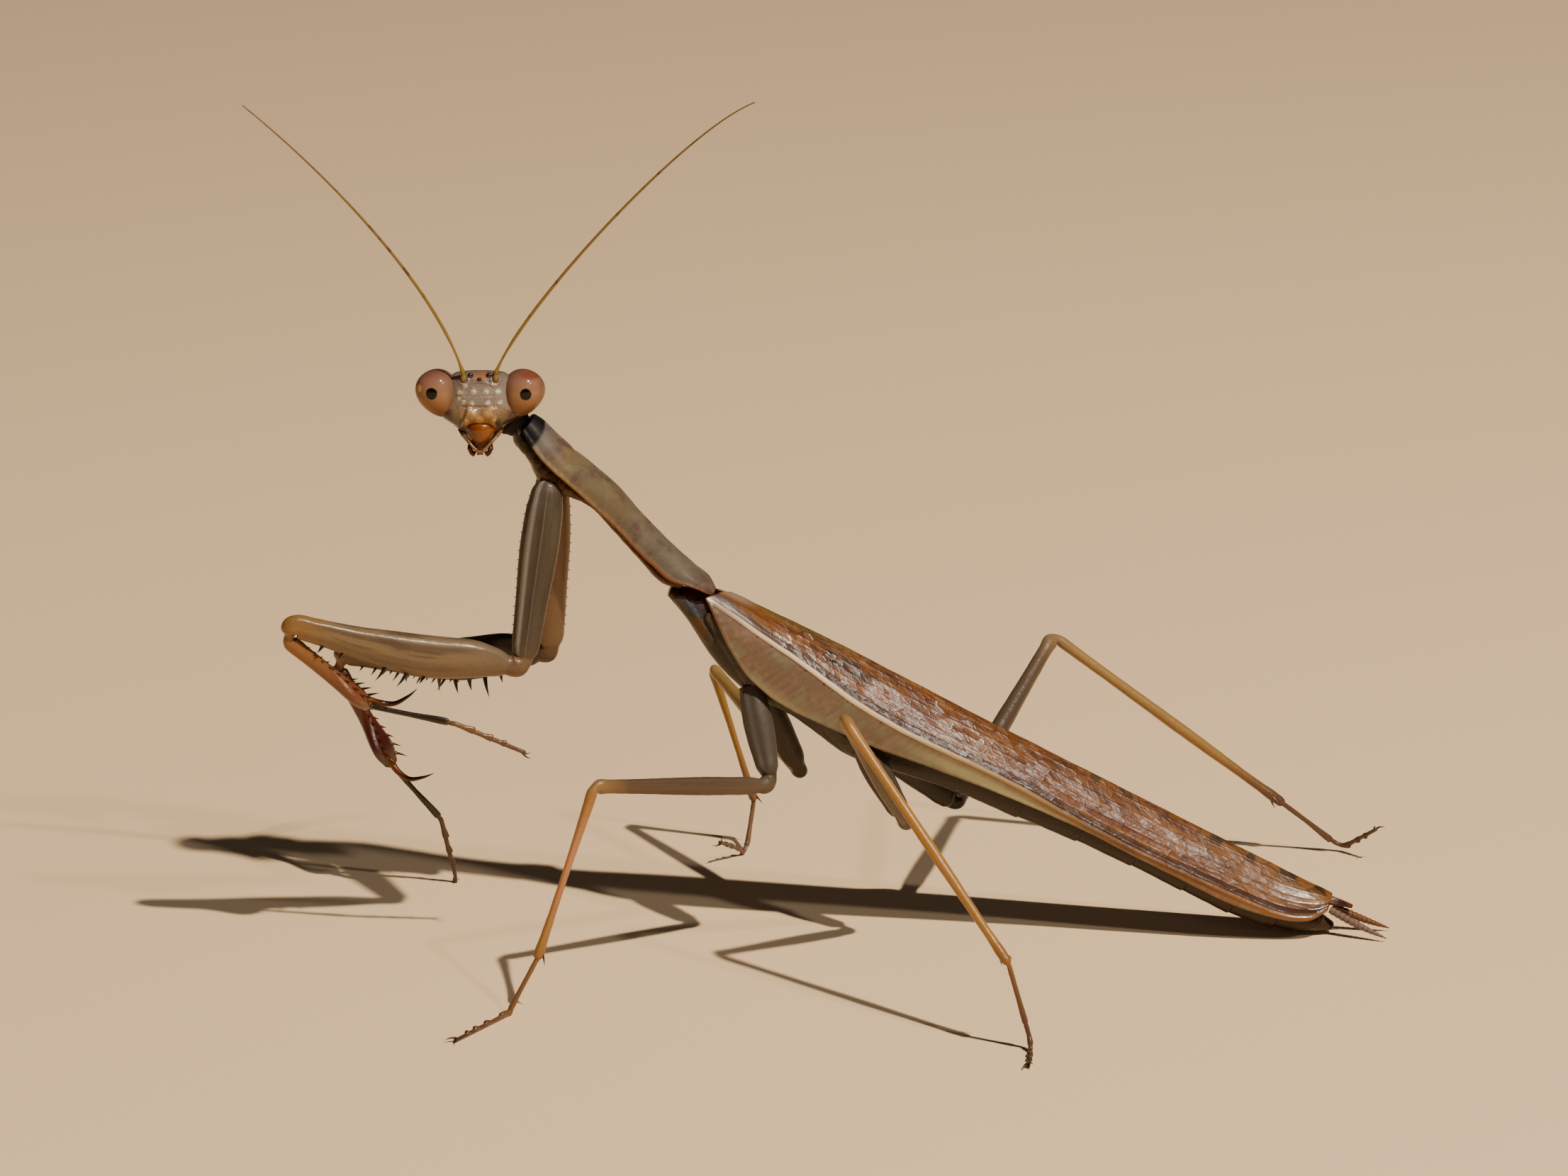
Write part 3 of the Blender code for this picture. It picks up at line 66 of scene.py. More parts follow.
# How much of its colours' lightness and saturation a finish keeps unless it says otherwise.
DEPTH, RICHNESS = 0.46, 1.25


class Side(Enum):
    """The two sides of the animal, with the sign of their Y."""

    LEFT = -1.0
    RIGHT = 1.0

    @property
    def word(self) -> str:
        """The side's name as the solids spell it.

        Returns:
            "left" or "right".
        """
        return self.name.lower()


class Pair(Enum):
    """The three pairs of legs."""

    FORE = "fore"
    MID = "mid"
    HIND = "hind"


# Straight frames of the body: a start, the way along it and the way up from it.


@dataclass(frozen=True)
class BodyLine:
    """A straight line of the body with its own upward direction.

    Args:
        start: the line's first point, in mm.
        slope: how far it falls towards the tail, in degrees.
    """

    start: Place
    slope: float

    @property
    def along(self) -> Array:
        """The way along the line.

        Returns:
            A unit vector.
        """
        angle = math.radians(self.slope)
        return np.array([math.cos(angle), 0.0, -math.sin(angle)])

    @property
    def up(self) -> Array:
        """The way up, square to the line.

        Returns:
            A unit vector.
        """
        angle = math.radians(self.slope)
        return np.array([math.sin(angle), 0.0, math.cos(angle)])

    def point(self, t: Array, side: Array, up: Array) -> Array:
        """Points at distances along, across and above the line.

        Args:
            t: lengths along the line.
            side: distances across it, towards +Y.
            up: distances above it.

        Returns:
            An array of points with one more axis than its inputs.
        """
        t, side, up = np.broadcast_arrays(t, side, up)
        return (np.array(self.start) + t[..., None] * self.along
                + side[..., None] * np.array([0.0, 1.0, 0.0]) + up[..., None] * self.up)


BACK = BodyLine((-3.9, 0.0, 24.9), 27.7)
SHIELD_LINE = BodyLine((-17.3, 0.0, 36.8), 44.8)


def unit(vector: Array) -> Array:
    """The same direction with length one.

    Args:
        vector: one vector or an array of them.

    Returns:
        The unit vectors.
    """
    vector = np.asarray(vector, float)
    return vector / np.maximum(np.linalg.norm(vector, axis=-1, keepdims=True), 1e-12)


def step(low: float | Array, high: float | Array, value: Array) -> Array:
    """A smooth step from nought at low to one at high; it falls where high is below low.

    Args:
        low: where the step starts.
        high: where it ends.
        value: where it is read.

    Returns:
        Shares from 0 to 1.
    """
    share = np.clip((value - low) / (np.asarray(high) - low), 0.0, 1.0)
    return share * share * (3.0 - 2.0 * share)


def turns(count: int) -> Array:
    """Angles evenly round a full turn.

    Args:
        count: how many there are.

    Returns:
        Angles in radians from nought.
    """
    return np.linspace(0.0, TWO_PI, count, endpoint=False)


def squarish(value: Array, power: float) -> Array:
    """A sine or cosine to a power, with its sign, which makes an oval squarish.

    Args:
        value: sines or cosines.
        power: below one for a squarer outline.

    Returns:
        Values from -1 to 1.
    """
    return np.sign(value) * np.abs(value) ** power


def bell(value: Array, centre: float | Array, spread: float) -> Array:
    """A bell curve of height one.

    Args:
        value: where it is read.
        centre: its middle.
        spread: its half width at a third of its height.

    Returns:
        Heights from 0 to 1.
    """
    return np.exp(-(((value - centre) / spread) ** 2))


def curve_through(knots: Knots, where: Array) -> Array:
    """The smooth curve through (position, value) pairs, by cubic pieces that share their slopes.

    Args:
        knots: pairs in rising order of position.
        where: positions at which it is read.

    Returns:
        Values of the shape of `where`.
    """
    place = np.array([knot[0] for knot in knots], float)
    value = np.array([knot[1] for knot in knots], float)
    slope = np.gradient(value, place)
    where = np.clip(where, place[0], place[-1])
    low = np.clip(np.searchsorted(place, where) - 1, 0, len(place) - 2)
    gap = place[low + 1] - place[low]
    part = (where - place[low]) / gap
    rise = (part**3 - 2 * part**2 + part) * gap * slope[low]
    fall = (part**3 - part**2) * gap * slope[low + 1]
    share = 3 * part**2 - 2 * part**3
    return (1 - share) * value[low] + share * value[low + 1] + rise + fall


def bezier(controls: Array, count: int) -> Array:
    """Points on the cubic curve with four control points.

    Args:
        controls: the four points.
        count: how many points come back.

    Returns:
        An array (count, 3).
    """
    t = np.linspace(0.0, 1.0, count)[:, None]
    weights = ((1 - t) ** 3, 3 * t * (1 - t) ** 2, 3 * t**2 * (1 - t), t**3)
    return sum(weight * np.asarray(control, float) for weight, control in zip(weights, controls))


def ripple(points: Array, size: float, seed: float) -> Array:
    """A smooth uneven field: the sum of sine waves in several slanting directions.

    Args:
        points: places in mm, the last axis x, y, z.
        size: the length of the longest wave, in mm.
        seed: shifts the waves, so that two fields differ.

    Returns:
        Values of about -1 to 1, one for each point.
    """
    waves = np.array([[1.0, 0.4, -0.2], [-0.5, 1.0, 0.6], [0.3, -0.7, 1.0], [1.1, 1.3, 0.9],
                      [-1.7, 0.8, 1.4]])
    phase = points @ waves.T * (TWO_PI / size) + seed * np.array([1.0, 2.3, 4.1, 5.7, 7.9])
    return np.sin(phase).sum(axis=-1) / len(waves)


class CentreLine:
    """A centre line through joints, each corner rounded by an arc.

    Args:
        joints: the joints in order, in mm.
        radii: the radius of the arc at each inner joint.
    """

    SPACING = 0.04
    ARC_POINTS = 24

    def __init__(self, joints: Sequence[Array], radii: Sequence[float]) -> None:
        """Set it up from the values that the class names."""
        points = [np.asarray(joint, float) for joint in joints]
        runs: list[Array] = []
        self.arcs: list[tuple[float, float]] = []
        here = points[0]
        length = 0.0
        for place, radius in enumerate(radii, 1):
            arc = self._arc(points[place - 1], points[place], points[place + 1], radius)
            runs += [self._straight(here, arc[0]), arc[:-1]]
            length += float(np.linalg.norm(arc[0] - here))
            bent = float(np.linalg.norm(np.diff(arc, axis=0), axis=1).sum())
            self.arcs.append((length, length + bent))
            length += bent
            here = arc[-1]
        runs += [self._straight(here, points[-1]), points[-1][None, :]]
        self.points = np.concatenate(runs)
        self.length = np.concatenate([[0.0], np.cumsum(np.linalg.norm(np.diff(self.points, axis=0), axis=1))])
        self.tangents = unit(np.gradient(self.points, self.length, axis=0))

    def _arc(self, before: Array, corner: Array, after: Array, radius: float) -> Array:
        """Points of the arc that touches both runs at a corner.

        Args:
            before: the joint before the corner.
            corner: the corner itself.
            after: the joint after it.
            radius: the arc's radius.

        Returns:
            Points along the arc.
        """
        first, second = unit(corner - before), unit(after - corner)
        half_turn = math.acos(float(np.clip(first @ second, -1.0, 1.0))) / 2
        if half_turn < 1e-4:
            return np.stack([corner - 0.01 * first, corner + 0.01 * first])
        inward, ahead = unit(second - first), unit(first + second)
        centre = corner + inward * radius / math.cos(half_turn)
        turn = np.linspace(-half_turn, half_turn, self.ARC_POINTS)[:, None]
        return centre + radius * (np.sin(turn) * ahead - np.cos(turn) * inward)

    def _straight(self, start: Array, end: Array) -> Array:
        """Points from start up to, but not at, end.

        Args:
            start: the first point.
            end: where the run ends.

        Returns:
            Evenly spaced points.
        """
        count = max(2, int(np.linalg.norm(end - start) / self.SPACING))
        return start + (end - start) * np.linspace(0.0, 1.0, count, endpoint=False)[:, None]

    @property
    def total(self) -> float:
        """The whole length.

        Returns:
            The length in mm.
        """
        return float(self.length[-1])

    def at(self, where: Array) -> tuple[Array, Array]:
        """Centres and directions at lengths along the line.

        Args:
            where: lengths in mm.

        Returns:
            Points, and unit vectors along the line.
        """
        centre = np.stack([np.interp(where, self.length, axis) for axis in self.points.T], -1)
        tangent = np.stack([np.interp(where, self.length, axis) for axis in self.tangents.T], -1)
        return centre, unit(tangent)


class Skin:
    """Collects surfaces in millimetres and joins them in one mesh.

    Every point carries three numbers that the finishes read: how far along and around its form
    it lies, and a tint whose meaning is the form's own.
    """

    CHANNELS = ("along", "around", "tint")

    def __init__(self) -> None:
        """Set it up from the values that the class names."""
        self._points: list[Array] = []
        self._values: list[Array] = []
        self._faces: list[list[int]] = []
        self._slots: list[int] = []
        self._count = 0

    def _keep(self, points: Array, values: Array, quads: Array, triangles: Array, slot: int,
              turn: bool) -> None:
        """Keep one surface's points and faces.

        Args:
            points: its points (n, 3).
            values: its channels (n, 3).
            quads: its four-sided faces.
            triangles: its three-sided faces.
            slot: which material it takes.
            turn: whether its faces are turned round.
        """
        for faces in (quads, triangles):
            if len(faces):
                faces = faces + self._count
                self._faces += (faces[:, ::-1] if turn else faces).tolist()
                self._slots += [slot] * len(faces)
        self._points.append(points)
        self._values.append(values)
        self._count += len(points)

    def _channels(self, shape: tuple[int, int], along: Array | float, around: Array | float,
                  tint: Array | float) -> Array:
        """The channels as one array for every point of a grid.

        Args:
            shape: rows and columns of the grid.
            along: values that broadcast to it.
            around: values that broadcast to it.
            tint: values that broadcast to it.

        Returns:
            An array (rows x columns, 3).
        """
        parts = [np.broadcast_to(np.asarray(part, float),
                                 shape).reshape(-1) for part in (along, around, tint)]
        return np.stack(parts, axis=-1)

    def tube(self, rings: Array, along: Array | float = 0.0, around: Array | float = 0.0,
             tint: Array | float = 0.0, slot: int = 0) -> "Skin":
        """Add a closed tube through rings, with a fan over each end.

        Args:
            rings: points (rings, sides, 3).
            along: channel values that broadcast to the rings.
            around: channel values that broadcast to the rings.
            tint: channel values that broadcast to the rings.
            slot: which material it takes.

        Returns:
            This skin, so that calls can follow one another.
        """
        count, sides = rings.shape[:2]
        index = np.arange(count * sides).reshape(count, sides)
        beside = np.roll(index, -1, axis=1)
        quads = np.stack([index[:-1], beside[:-1], beside[1:], index[1:]], -1).reshape(-1, 4)
        low, high = count * sides, count * sides + 1
        fans = [np.stack([np.full(sides, low), beside[0], index[0]], -1),
                np.stack([np.full(sides, high), index[-1], beside[-1]], -1)]
        values = self._channels((count, sides), along, around, tint)
        ends = np.stack([values[index[0]].mean(axis=0), values[index[-1]].mean(axis=0)])
        points = np.concatenate([rings.reshape(-1, 3), rings[:1].mean(axis=1), rings[-1:].mean(axis=1)])
        middle = points.mean(axis=0)
        a, b, c = (points[quads[:, corner]] - middle for corner in (0, 1, 2))
        turn = bool(np.einsum("ij,ij->i", np.cross(a, b), c).sum() < 0)
        self._keep(points, np.concatenate([values, ends]), quads, np.concatenate(fans), slot, turn)
        return self

    def sheet(self, outer: Array, inner: Array, along: Array | float, around: Array | float,
              tint: Array | float, turn: bool, slot: int = 0) -> "Skin":
        """Add a closed thin sheet between two grids.

        Args:
            outer: the outer side's points (rows, columns, 3).
            inner: the inner side's points, of the same shape.
            along: channel values that broadcast to the grid.
            around: channel values that broadcast to the grid.
            tint: channel values that broadcast to the grid.
            turn: whether its faces are turned round.
            slot: which material it takes.

        Returns:
            This skin, so that calls can follow one another.
        """
        rows, columns = outer.shape[:2]
        index = np.arange(rows * columns).reshape(rows, columns)
        face = np.stack([index[:-1, :-1], index[:-1, 1:], index[1:, 1:], index[1:, :-1]], -1).reshape(-1, 4)
        rim = np.concatenate([index[0], index[1:, -1], index[-1, -2::-1], index[-2:0:-1, 0]])
        after = np.roll(rim, -1)
        far = rows * columns
        edge = np.stack([after, rim, rim + far, after + far], -1)
        quads = np.concatenate([face, face[:, ::-1] + far, edge])
        values = self._channels((rows, columns), along, around, tint)
        points = np.concatenate([outer.reshape(-1, 3), inner.reshape(-1, 3)])
        self._keep(points, np.concatenate([values, values]), quads, np.zeros((0, 3), int), slot, turn)
        return self

    def build(self, name: str, materials: Sequence[bpy.types.Material], slot: str,
              nodes: Sequence[str] = ()) -> None:
        """Make the mesh object, in metres, riding on the body.

        Args:
            name: the piece's name.
            materials: its finishes, in the order of the surfaces' slots.
            slot: the record's slot that it belongs to; not used.
            nodes: the solids that it stands for.
        """
        mesh = bpy.data.meshes.new(name)
        points = (np.concatenate(self._points) - ORIGIN) * MM
        mesh.from_pydata(points.tolist(), [], self._faces)
        values = np.concatenate(self._values).astype(np.float32)
        for channel, column in zip(self.CHANNELS, values.T):
            mesh.attributes.new(channel, "FLOAT",
                                "POINT").data.foreach_set("value", np.ascontiguousarray(column))
        for material in materials:
            mesh.materials.append(material)
        mesh.polygons.foreach_set("material_index", np.array(self._slots, np.int32))
        mesh.shade_smooth()
        obj = bpy.data.objects.new(name, mesh)
        bpy.context.scene.collection.objects.link(obj)
        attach(obj, "root")
        if nodes:
            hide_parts(*nodes)
        LOG.info("%s: %d faces", name, len(self._faces))


def ball(centre: Array, axes: Array, sizes: Sequence[float]) -> Array:
    """Rings of an ellipsoid from its low pole to its high one.

    Each point is the centre plus its polar and round angles' sines and cosines times the sizes
    along the three axes.

    Args:
        centre: its middle.
        axes: three unit vectors, the last one towards its high pole.
        sizes: half sizes along the three axes.

    Returns:
        Rings (rows, columns, 3).
    """
    polar = np.linspace(POLE_GAP, math.pi - POLE_GAP, BALL_ROWS)[:, None]
    turn = turns(BALL_COLUMNS)[None, :]
    local = np.stack([sizes[0] * np.sin(polar) * np.cos(turn), sizes[1] * np.sin(polar) * np.sin(turn),
                      -sizes[2] * np.cos(polar) * np.ones_like(turn)], -1)
    return np.asarray(centre, float) + local @ np.asarray(axes, float)


def round_tube(points: Array, radii: Array, sides: int) -> Array:
    """Rings round a curve: at each point, a circle in the plane square to the curve.

    Args:
        points: points along the curve.
        radii: the radius at each one.
        sides: points in each ring.

    Returns:
        Rings (points, sides, 3).
    """
    tangent = unit(np.gradient(points, axis=0))
    first = unit(np.cross(tangent, np.array([0.31, 0.87, 0.39])))
    second = np.cross(tangent, first)
    turn = turns(sides)
    across = np.cos(turn)[None, :, None] * first[:, None, :]
    above = np.sin(turn)[None, :, None] * second[:, None, :]
    return points[:, None, :] + np.asarray(radii, float)[:, None, None] * (across + above)


def resample(points: Array, count: int) -> Array:
    """Points of a smooth curve through a few given ones, spread evenly by their shares.

    Args:
        points: the given points.
        count: how many come back.

    Returns:
        An array (count, 3).
    """
    place = np.linspace(0.0, 1.0, len(points))
    where = np.linspace(0.0, 1.0, count)
    return np.stack([curve_through(list(zip(place, axis)), where) for axis in np.asarray(points, float).T],
                    -1)


# Finishes: small node graphs written in order, one for each kind of surface.

Socket = bpy.types.NodeSocket


class Shader:
    """Writes the node graph of one material.

    Args:
        name: the material's name.
    """

    def __init__(self, name: str) -> None:
        """Set it up from the values that the class names."""
        self.material = bpy.data.materials.new(name)
        self.material.use_nodes = True
        self.tree = self.material.node_tree
        self.surface = self.tree.nodes["Principled BSDF"]
        self._millimetres: Socket | None = None

    def node(self, kind: str, **settings: object) -> bpy.types.Node:
        """Add a node.

        Args:
            kind: its type name after "ShaderNode".
            settings: its properties.

        Returns:
            The node.
        """
        node = self.tree.nodes.new("ShaderNode" + kind)
        for key, value in settings.items():
            setattr(node, key, value)
        return node

    def feed(self, socket: Socket, value: object) -> None:
        """Give an input a socket to read or a value of its own.

        Args:
            socket: the input.
            value: a socket, a number, a vector or a colour.
        """
        if isinstance(value, bpy.types.NodeSocket):
            self.tree.links.new(value, socket)
        elif isinstance(value, (tuple, list)) and socket.type == "RGBA":
            socket.default_value = (*value[:3], 1.0)
        else:
            socket.default_value = value

    def channel(self, name: str) -> Socket:
        """One of the skin's own numbers.

        Args:
            name: along, around or tint.

        Returns:
            A number socket.
        """
        return self.node("Attribute", attribute_name=name, attribute_type="GEOMETRY").outputs["Fac"]

    def place(self) -> Socket:
        """The place on the object in millimetres.

        Returns:
            A vector socket.
        """
        if self._millimetres is None:
            scale = self.node("VectorMath", operation="SCALE")
            self.feed(scale.inputs[0], self.node("TexCoord").outputs["Object"])
            scale.inputs["Scale"].default_value = 1.0 / MM
            self._millimetres = scale.outputs[0]
        return self._millimetres

    def vector(self, x: object, y: object, z: object = 0.0) -> Socket:
        """A vector of three numbers.

        Args:
            x: a socket or a number.
            y: a socket or a number.
            z: a socket or a number.

        Returns:
            A vector socket.
        """
        node = self.node("CombineXYZ")
        for socket, value in zip(node.inputs, (x, y, z)):
            self.feed(socket, value)
        return node.outputs[0]

    def maths(self, operation: str, a: object, b: object = 0.0) -> Socket:
        """Arithmetic on two numbers.

        Args:
            operation: the sum's name.
            a: the first number or socket.
            b: the second one.

        Returns:
            A number socket.
        """
        node = self.node("Math", operation=operation)
        self.feed(node.inputs[0], a)
        self.feed(node.inputs[1], b)
        return node.outputs[0]

    def times(self, *factors: object) -> object:
        """The product of numbers.

        Args:
            factors: sockets or numbers.

        Returns:
            A number socket, or the factor itself where there is only one.
        """
        product = factors[0]
        for factor in factors[1:]:
            product = self.maths("MULTIPLY", product, factor)
        return product

    def plus(self, a: object, b: object) -> Socket:
        """The sum of two numbers.

        Args:
            a: a socket or a number.
            b: a socket or a number.

        Returns:
            A number socket.
        """
        return self.maths("ADD", a, b)

    def minus(self, a: object, b: object) -> Socket:
        """The difference of two numbers.

        Args:
            a: a socket or a number.
            b: what is taken from it.

        Returns:
            A number socket.
        """
        return self.maths("SUBTRACT", a, b)

    def noise(self, scale: float, detail: float = 3.0, rough: float = 0.55,
              where: Socket | None = None) -> Socket:
        """Cloudy noise.

        Args:
            scale: how many clouds there are in a unit.
            detail: how many finer layers it has.
            rough: how strong the finer ones are.
            where: what it reads, the place in millimetres unless given.

        Returns:
            A number socket from 0 to 1.
        """
        node = self.node("TexNoise")
        self.feed(node.inputs["Vector"], where or self.place())
        for key, value in (("Scale", scale), ("Detail", detail), ("Roughness", rough)):
            node.inputs[key].default_value = value
        return node.outputs["Fac"]

    def cells(self, scale: float, where: Socket | None = None, uneven: float = 1.0) -> Socket:
        """Distance from the borders of a net of cells.

        Args:
            scale: how many cells there are in a unit.
            where: what it reads, the place in millimetres unless given.
            uneven: how irregular the cells are.

        Returns:
            A number socket, nought on the borders.
        """
        node = self.node("TexVoronoi", feature="DISTANCE_TO_EDGE")
        self.feed(node.inputs["Vector"], where or self.place())
        node.inputs["Scale"].default_value = scale
        node.inputs["Randomness"].default_value = uneven
        return node.outputs["Distance"]

    def facets(self, scale: float, where: Socket, uneven: float, lean: tuple[float, float]) -> Socket:
        """Heights of the same net's cells: each is a small flat facet tilted at random.

        Args:
            scale: how many cells there are in a unit.
            where: what it reads.
            uneven: how irregular the cells are.
            lean: the slope that all of them share, both ways.

        Returns:
            A number socket: the way from the cell's middle times a random slope of the cell.
        """
        node = self.node("TexVoronoi", feature="F1")
        self.feed(node.inputs["Vector"], where)
        node.inputs["Scale"].default_value = scale
        node.inputs["Randomness"].default_value = uneven
        away = self.node("VectorMath", operation="SUBTRACT")
        self.feed(away.inputs[0], where)
        self.feed(away.inputs[1], node.outputs["Position"])
        slope = self.node("VectorMath", operation="SUBTRACT")
        self.feed(slope.inputs[0], node.outputs["Color"])
        slope.inputs[1].default_value = (0.5 - lean[0], 0.5 - lean[1], 0.5)
        height = self.node("VectorMath", operation="DOT_PRODUCT")
        self.feed(height.inputs[0], away.outputs[0])
        self.feed(height.inputs[1], slope.outputs[0])
        return height.outputs["Value"]

    def fade(self, value: object, low: float, high: float) -> Socket:
        """A smooth step from nought at low to one at high, falling where high is below low.

        Args:
            value: what it reads.
            low: where it starts.
            high: where it ends.

        Returns:
            A number socket from 0 to 1.
        """
        node = self.node("MapRange", interpolation_type="SMOOTHSTEP")
        start, end = (0.0, 1.0) if low < high else (1.0, 0.0)
        self.feed(node.inputs["Value"], value)
        node.inputs["From Min"].default_value = min(low, high)
        node.inputs["From Max"].default_value = max(low, high)
        node.inputs["To Min"].default_value = start
        node.inputs["To Max"].default_value = end
        return node.outputs["Result"]

    def band(self, value: object, centre: float, half: float, soft: float) -> Socket:
        """One within a band and nought outside it, with soft edges.

        Args:
            value: what it reads.
            centre: the band's middle.
            half: its half width.
            soft: the width of each edge.

        Returns:
            A number socket from 0 to 1.
        """
        away = self.maths("ABSOLUTE", self.minus(value, centre))
        return self.fade(away, half + soft / 2, half - soft / 2)

    def ramp(self, value: Socket, stops: Sequence[tuple[float, Colour]], low: float = 0.0,
             high: float = 1.0) -> Socket:
        """Colours along a number.

        Args:
            value: what it reads.
            stops: (position, colour) pairs in rising order.
            low: the value of position nought where the stops are not shares.
            high: the value of position one.

        Returns:
            A colour socket.
        """
        node = self.node("ValToRGB")
        if (low, high) != (0.0, 1.0):
            value = self.maths("DIVIDE", self.minus(value, low), high - low)
        self.feed(node.inputs["Fac"], value)
        elements = node.color_ramp.elements
        while len(elements) < len(stops):
            elements.new(0.5)
        for element, (position, colour) in zip(elements, stops):
            element.position = (position - low) / (high - low)
            element.color = (*colour, 1.0)
        return node.outputs["Color"]

    def mix(self, first: object, second: object, *shares: object) -> Socket:
        """Two colours mixed.

        Args:
            first: a colour or a socket.
            second: a colour or a socket.
            shares: numbers whose product is how much of the second one there is.

        Returns:
            A colour socket.
        """
        node = self.node("Mix", data_type="RGBA", clamp_factor=True)
        self.feed(node.inputs["Factor"], self.times(*shares))
        self.feed(node.inputs[6], first)
        self.feed(node.inputs[7], second)
        return node.outputs[2]

    def spot(self, x: Socket, y: Socket, centre: tuple[float, float], size: tuple[float, float]) -> Socket:
        """A soft oval spot on two numbers.

        Args:
            x: the first number.
            y: the second one.
            centre: the spot's middle.
            size: its half sizes.

        Returns:
            A number socket, one in the middle and nought outside.
        """
        across = self.maths("POWER", self.maths("ABSOLUTE", self.maths(
            "DIVIDE", self.minus(x, centre[0]), size[0])), 2.0)
        above = self.maths("POWER", self.maths("ABSOLUTE", self.maths(
            "DIVIDE", self.minus(y, centre[1]), size[1])), 2.0)
        return self.fade(self.plus(across, above), 1.5, 0.35)

    def relief(self, *layers: tuple[Socket, float, float]) -> Socket:
        """Small bumps, one layer over another.

        Args:
            layers: (height, strength, depth in mm) of each.

        Returns:
            A normal socket.
        """
        normal: Socket | None = None
        for height, strength, depth in layers:
            node = self.node("Bump")
            self.feed(node.inputs["Height"], height)
            node.inputs["Strength"].default_value = strength
            node.inputs["Distance"].default_value = depth * MM
            if normal is not None:
                self.feed(node.inputs["Normal"], normal)
            normal = node.outputs["Normal"]
        return normal

    def tone(self, colour: object, depth: float, richness: float) -> Socket:
        """A colour made deeper and richer.

        Args:
            colour: the colour.
            depth: the share of its brightness that is kept.
            richness: how strong it is against grey.

        Returns:
            A colour socket.
        """
        node = self.node("HueSaturation")
        node.inputs["Value"].default_value = depth
        node.inputs["Saturation"].default_value = richness
        self.feed(node.inputs["Color"], colour)
        return node.outputs["Color"]

    def done(self, colour: object, rough: object, relief: Socket | None = None, coat: float = 0.0,
             coat_rough: float = 0.1, shine: float = 0.3, depth: float = DEPTH,
             richness: float = RICHNESS) -> bpy.types.Material:
        """Join everything to the surface.

        Args:
            colour: its colour.
            rough: its roughness.
            relief: its bumps.
            coat: how strong its clear coat is.
            coat_rough: how rough that coat is.
            shine: how strong its mirror reflection is.
            depth: the share of the colour's brightness that is kept.
            richness: how strong the colour is against grey.

        Returns:
            The material.
        """
        self.feed(self.surface.inputs["Base Color"], self.tone(colour, depth, richness))
        self.feed(self.surface.inputs["Roughness"], rough)
        self.surface.inputs["Coat Weight"].default_value = coat
        self.surface.inputs["Coat Roughness"].default_value = coat_rough
        self.surface.inputs["Specular IOR Level"].default_value = shine
        if relief is not None:
            self.feed(self.surface.inputs["Normal"], relief)
        return self.material


@dataclass(frozen=True)
class Cuticle:
    """A plain piece of the animal's hard skin: a mottled colour with fine grain.

    Args:
        name: the material's name.
        base: its main colour.
        dark: the colour of its darker clouds.
        rough: its roughness.
        cloud: how many clouds there are in a millimetre.
        coat: how strong its clear coat is.
        grain: how deep its fine grain is, in mm.
        depth: the share of the colours' brightness that is kept.
        richness: how strong the colours are against grey.
    """

    name: str
    base: Colour
    dark: Colour
    rough: float = 0.45
    cloud: float = 0.8
    coat: float = 0.0
    grain: float = 0.03
    depth: float = DEPTH
    richness: float = RICHNESS

    def make(self) -> bpy.types.Material:
        """Write the material.

        Returns:
            The material.
        """
        shader = Shader(self.name)
        clouds = shader.fade(shader.noise(self.cloud, 4.0), 0.38, 0.62)
        relief = shader.relief((shader.noise(9.0, 2.0), 0.5, self.grain))
        return shader.done(shader.mix(self.base, self.dark, clouds), self.rough, relief, self.coat,
                           depth=self.depth, richness=self.richness)


# The head.


@dataclass(frozen=True)
class HeadFrame:
    """Where the head is and how it is turned: it looks along -Y, tilted a little upwards.

    Args:
        centre: its middle, in mm.
        tilt: how far its face looks up, in degrees.
    """

    centre: Place = (-20.46, -0.9, 39.2)
    tilt: float = 8.0

    @property
    def axes(self) -> Array:
        """The head's side, back and up directions.

        Returns:
            Three unit vectors as rows.
        """
        angle = math.radians(self.tilt)
        return np.array([[1.0, 0.0, 0.0], [0.0, math.cos(angle), -math.sin(angle)],
                         [0.0, math.sin(angle), math.cos(angle)]])

    def point(self, side: Array | float, back: Array | float, up: Array | float) -> Array:
        """Points at distances to the head's side, back and up.

        Args:
            side: distances to the side.
            back: distances to the back.
            up: distances up.

        Returns:
            An array of points with one more axis than its inputs.
        """
        local = np.stack(np.broadcast_arrays(np.asarray(side, float), back, up), -1)
        return np.array(self.centre) + local @ self.axes


HEAD = HeadFrame()


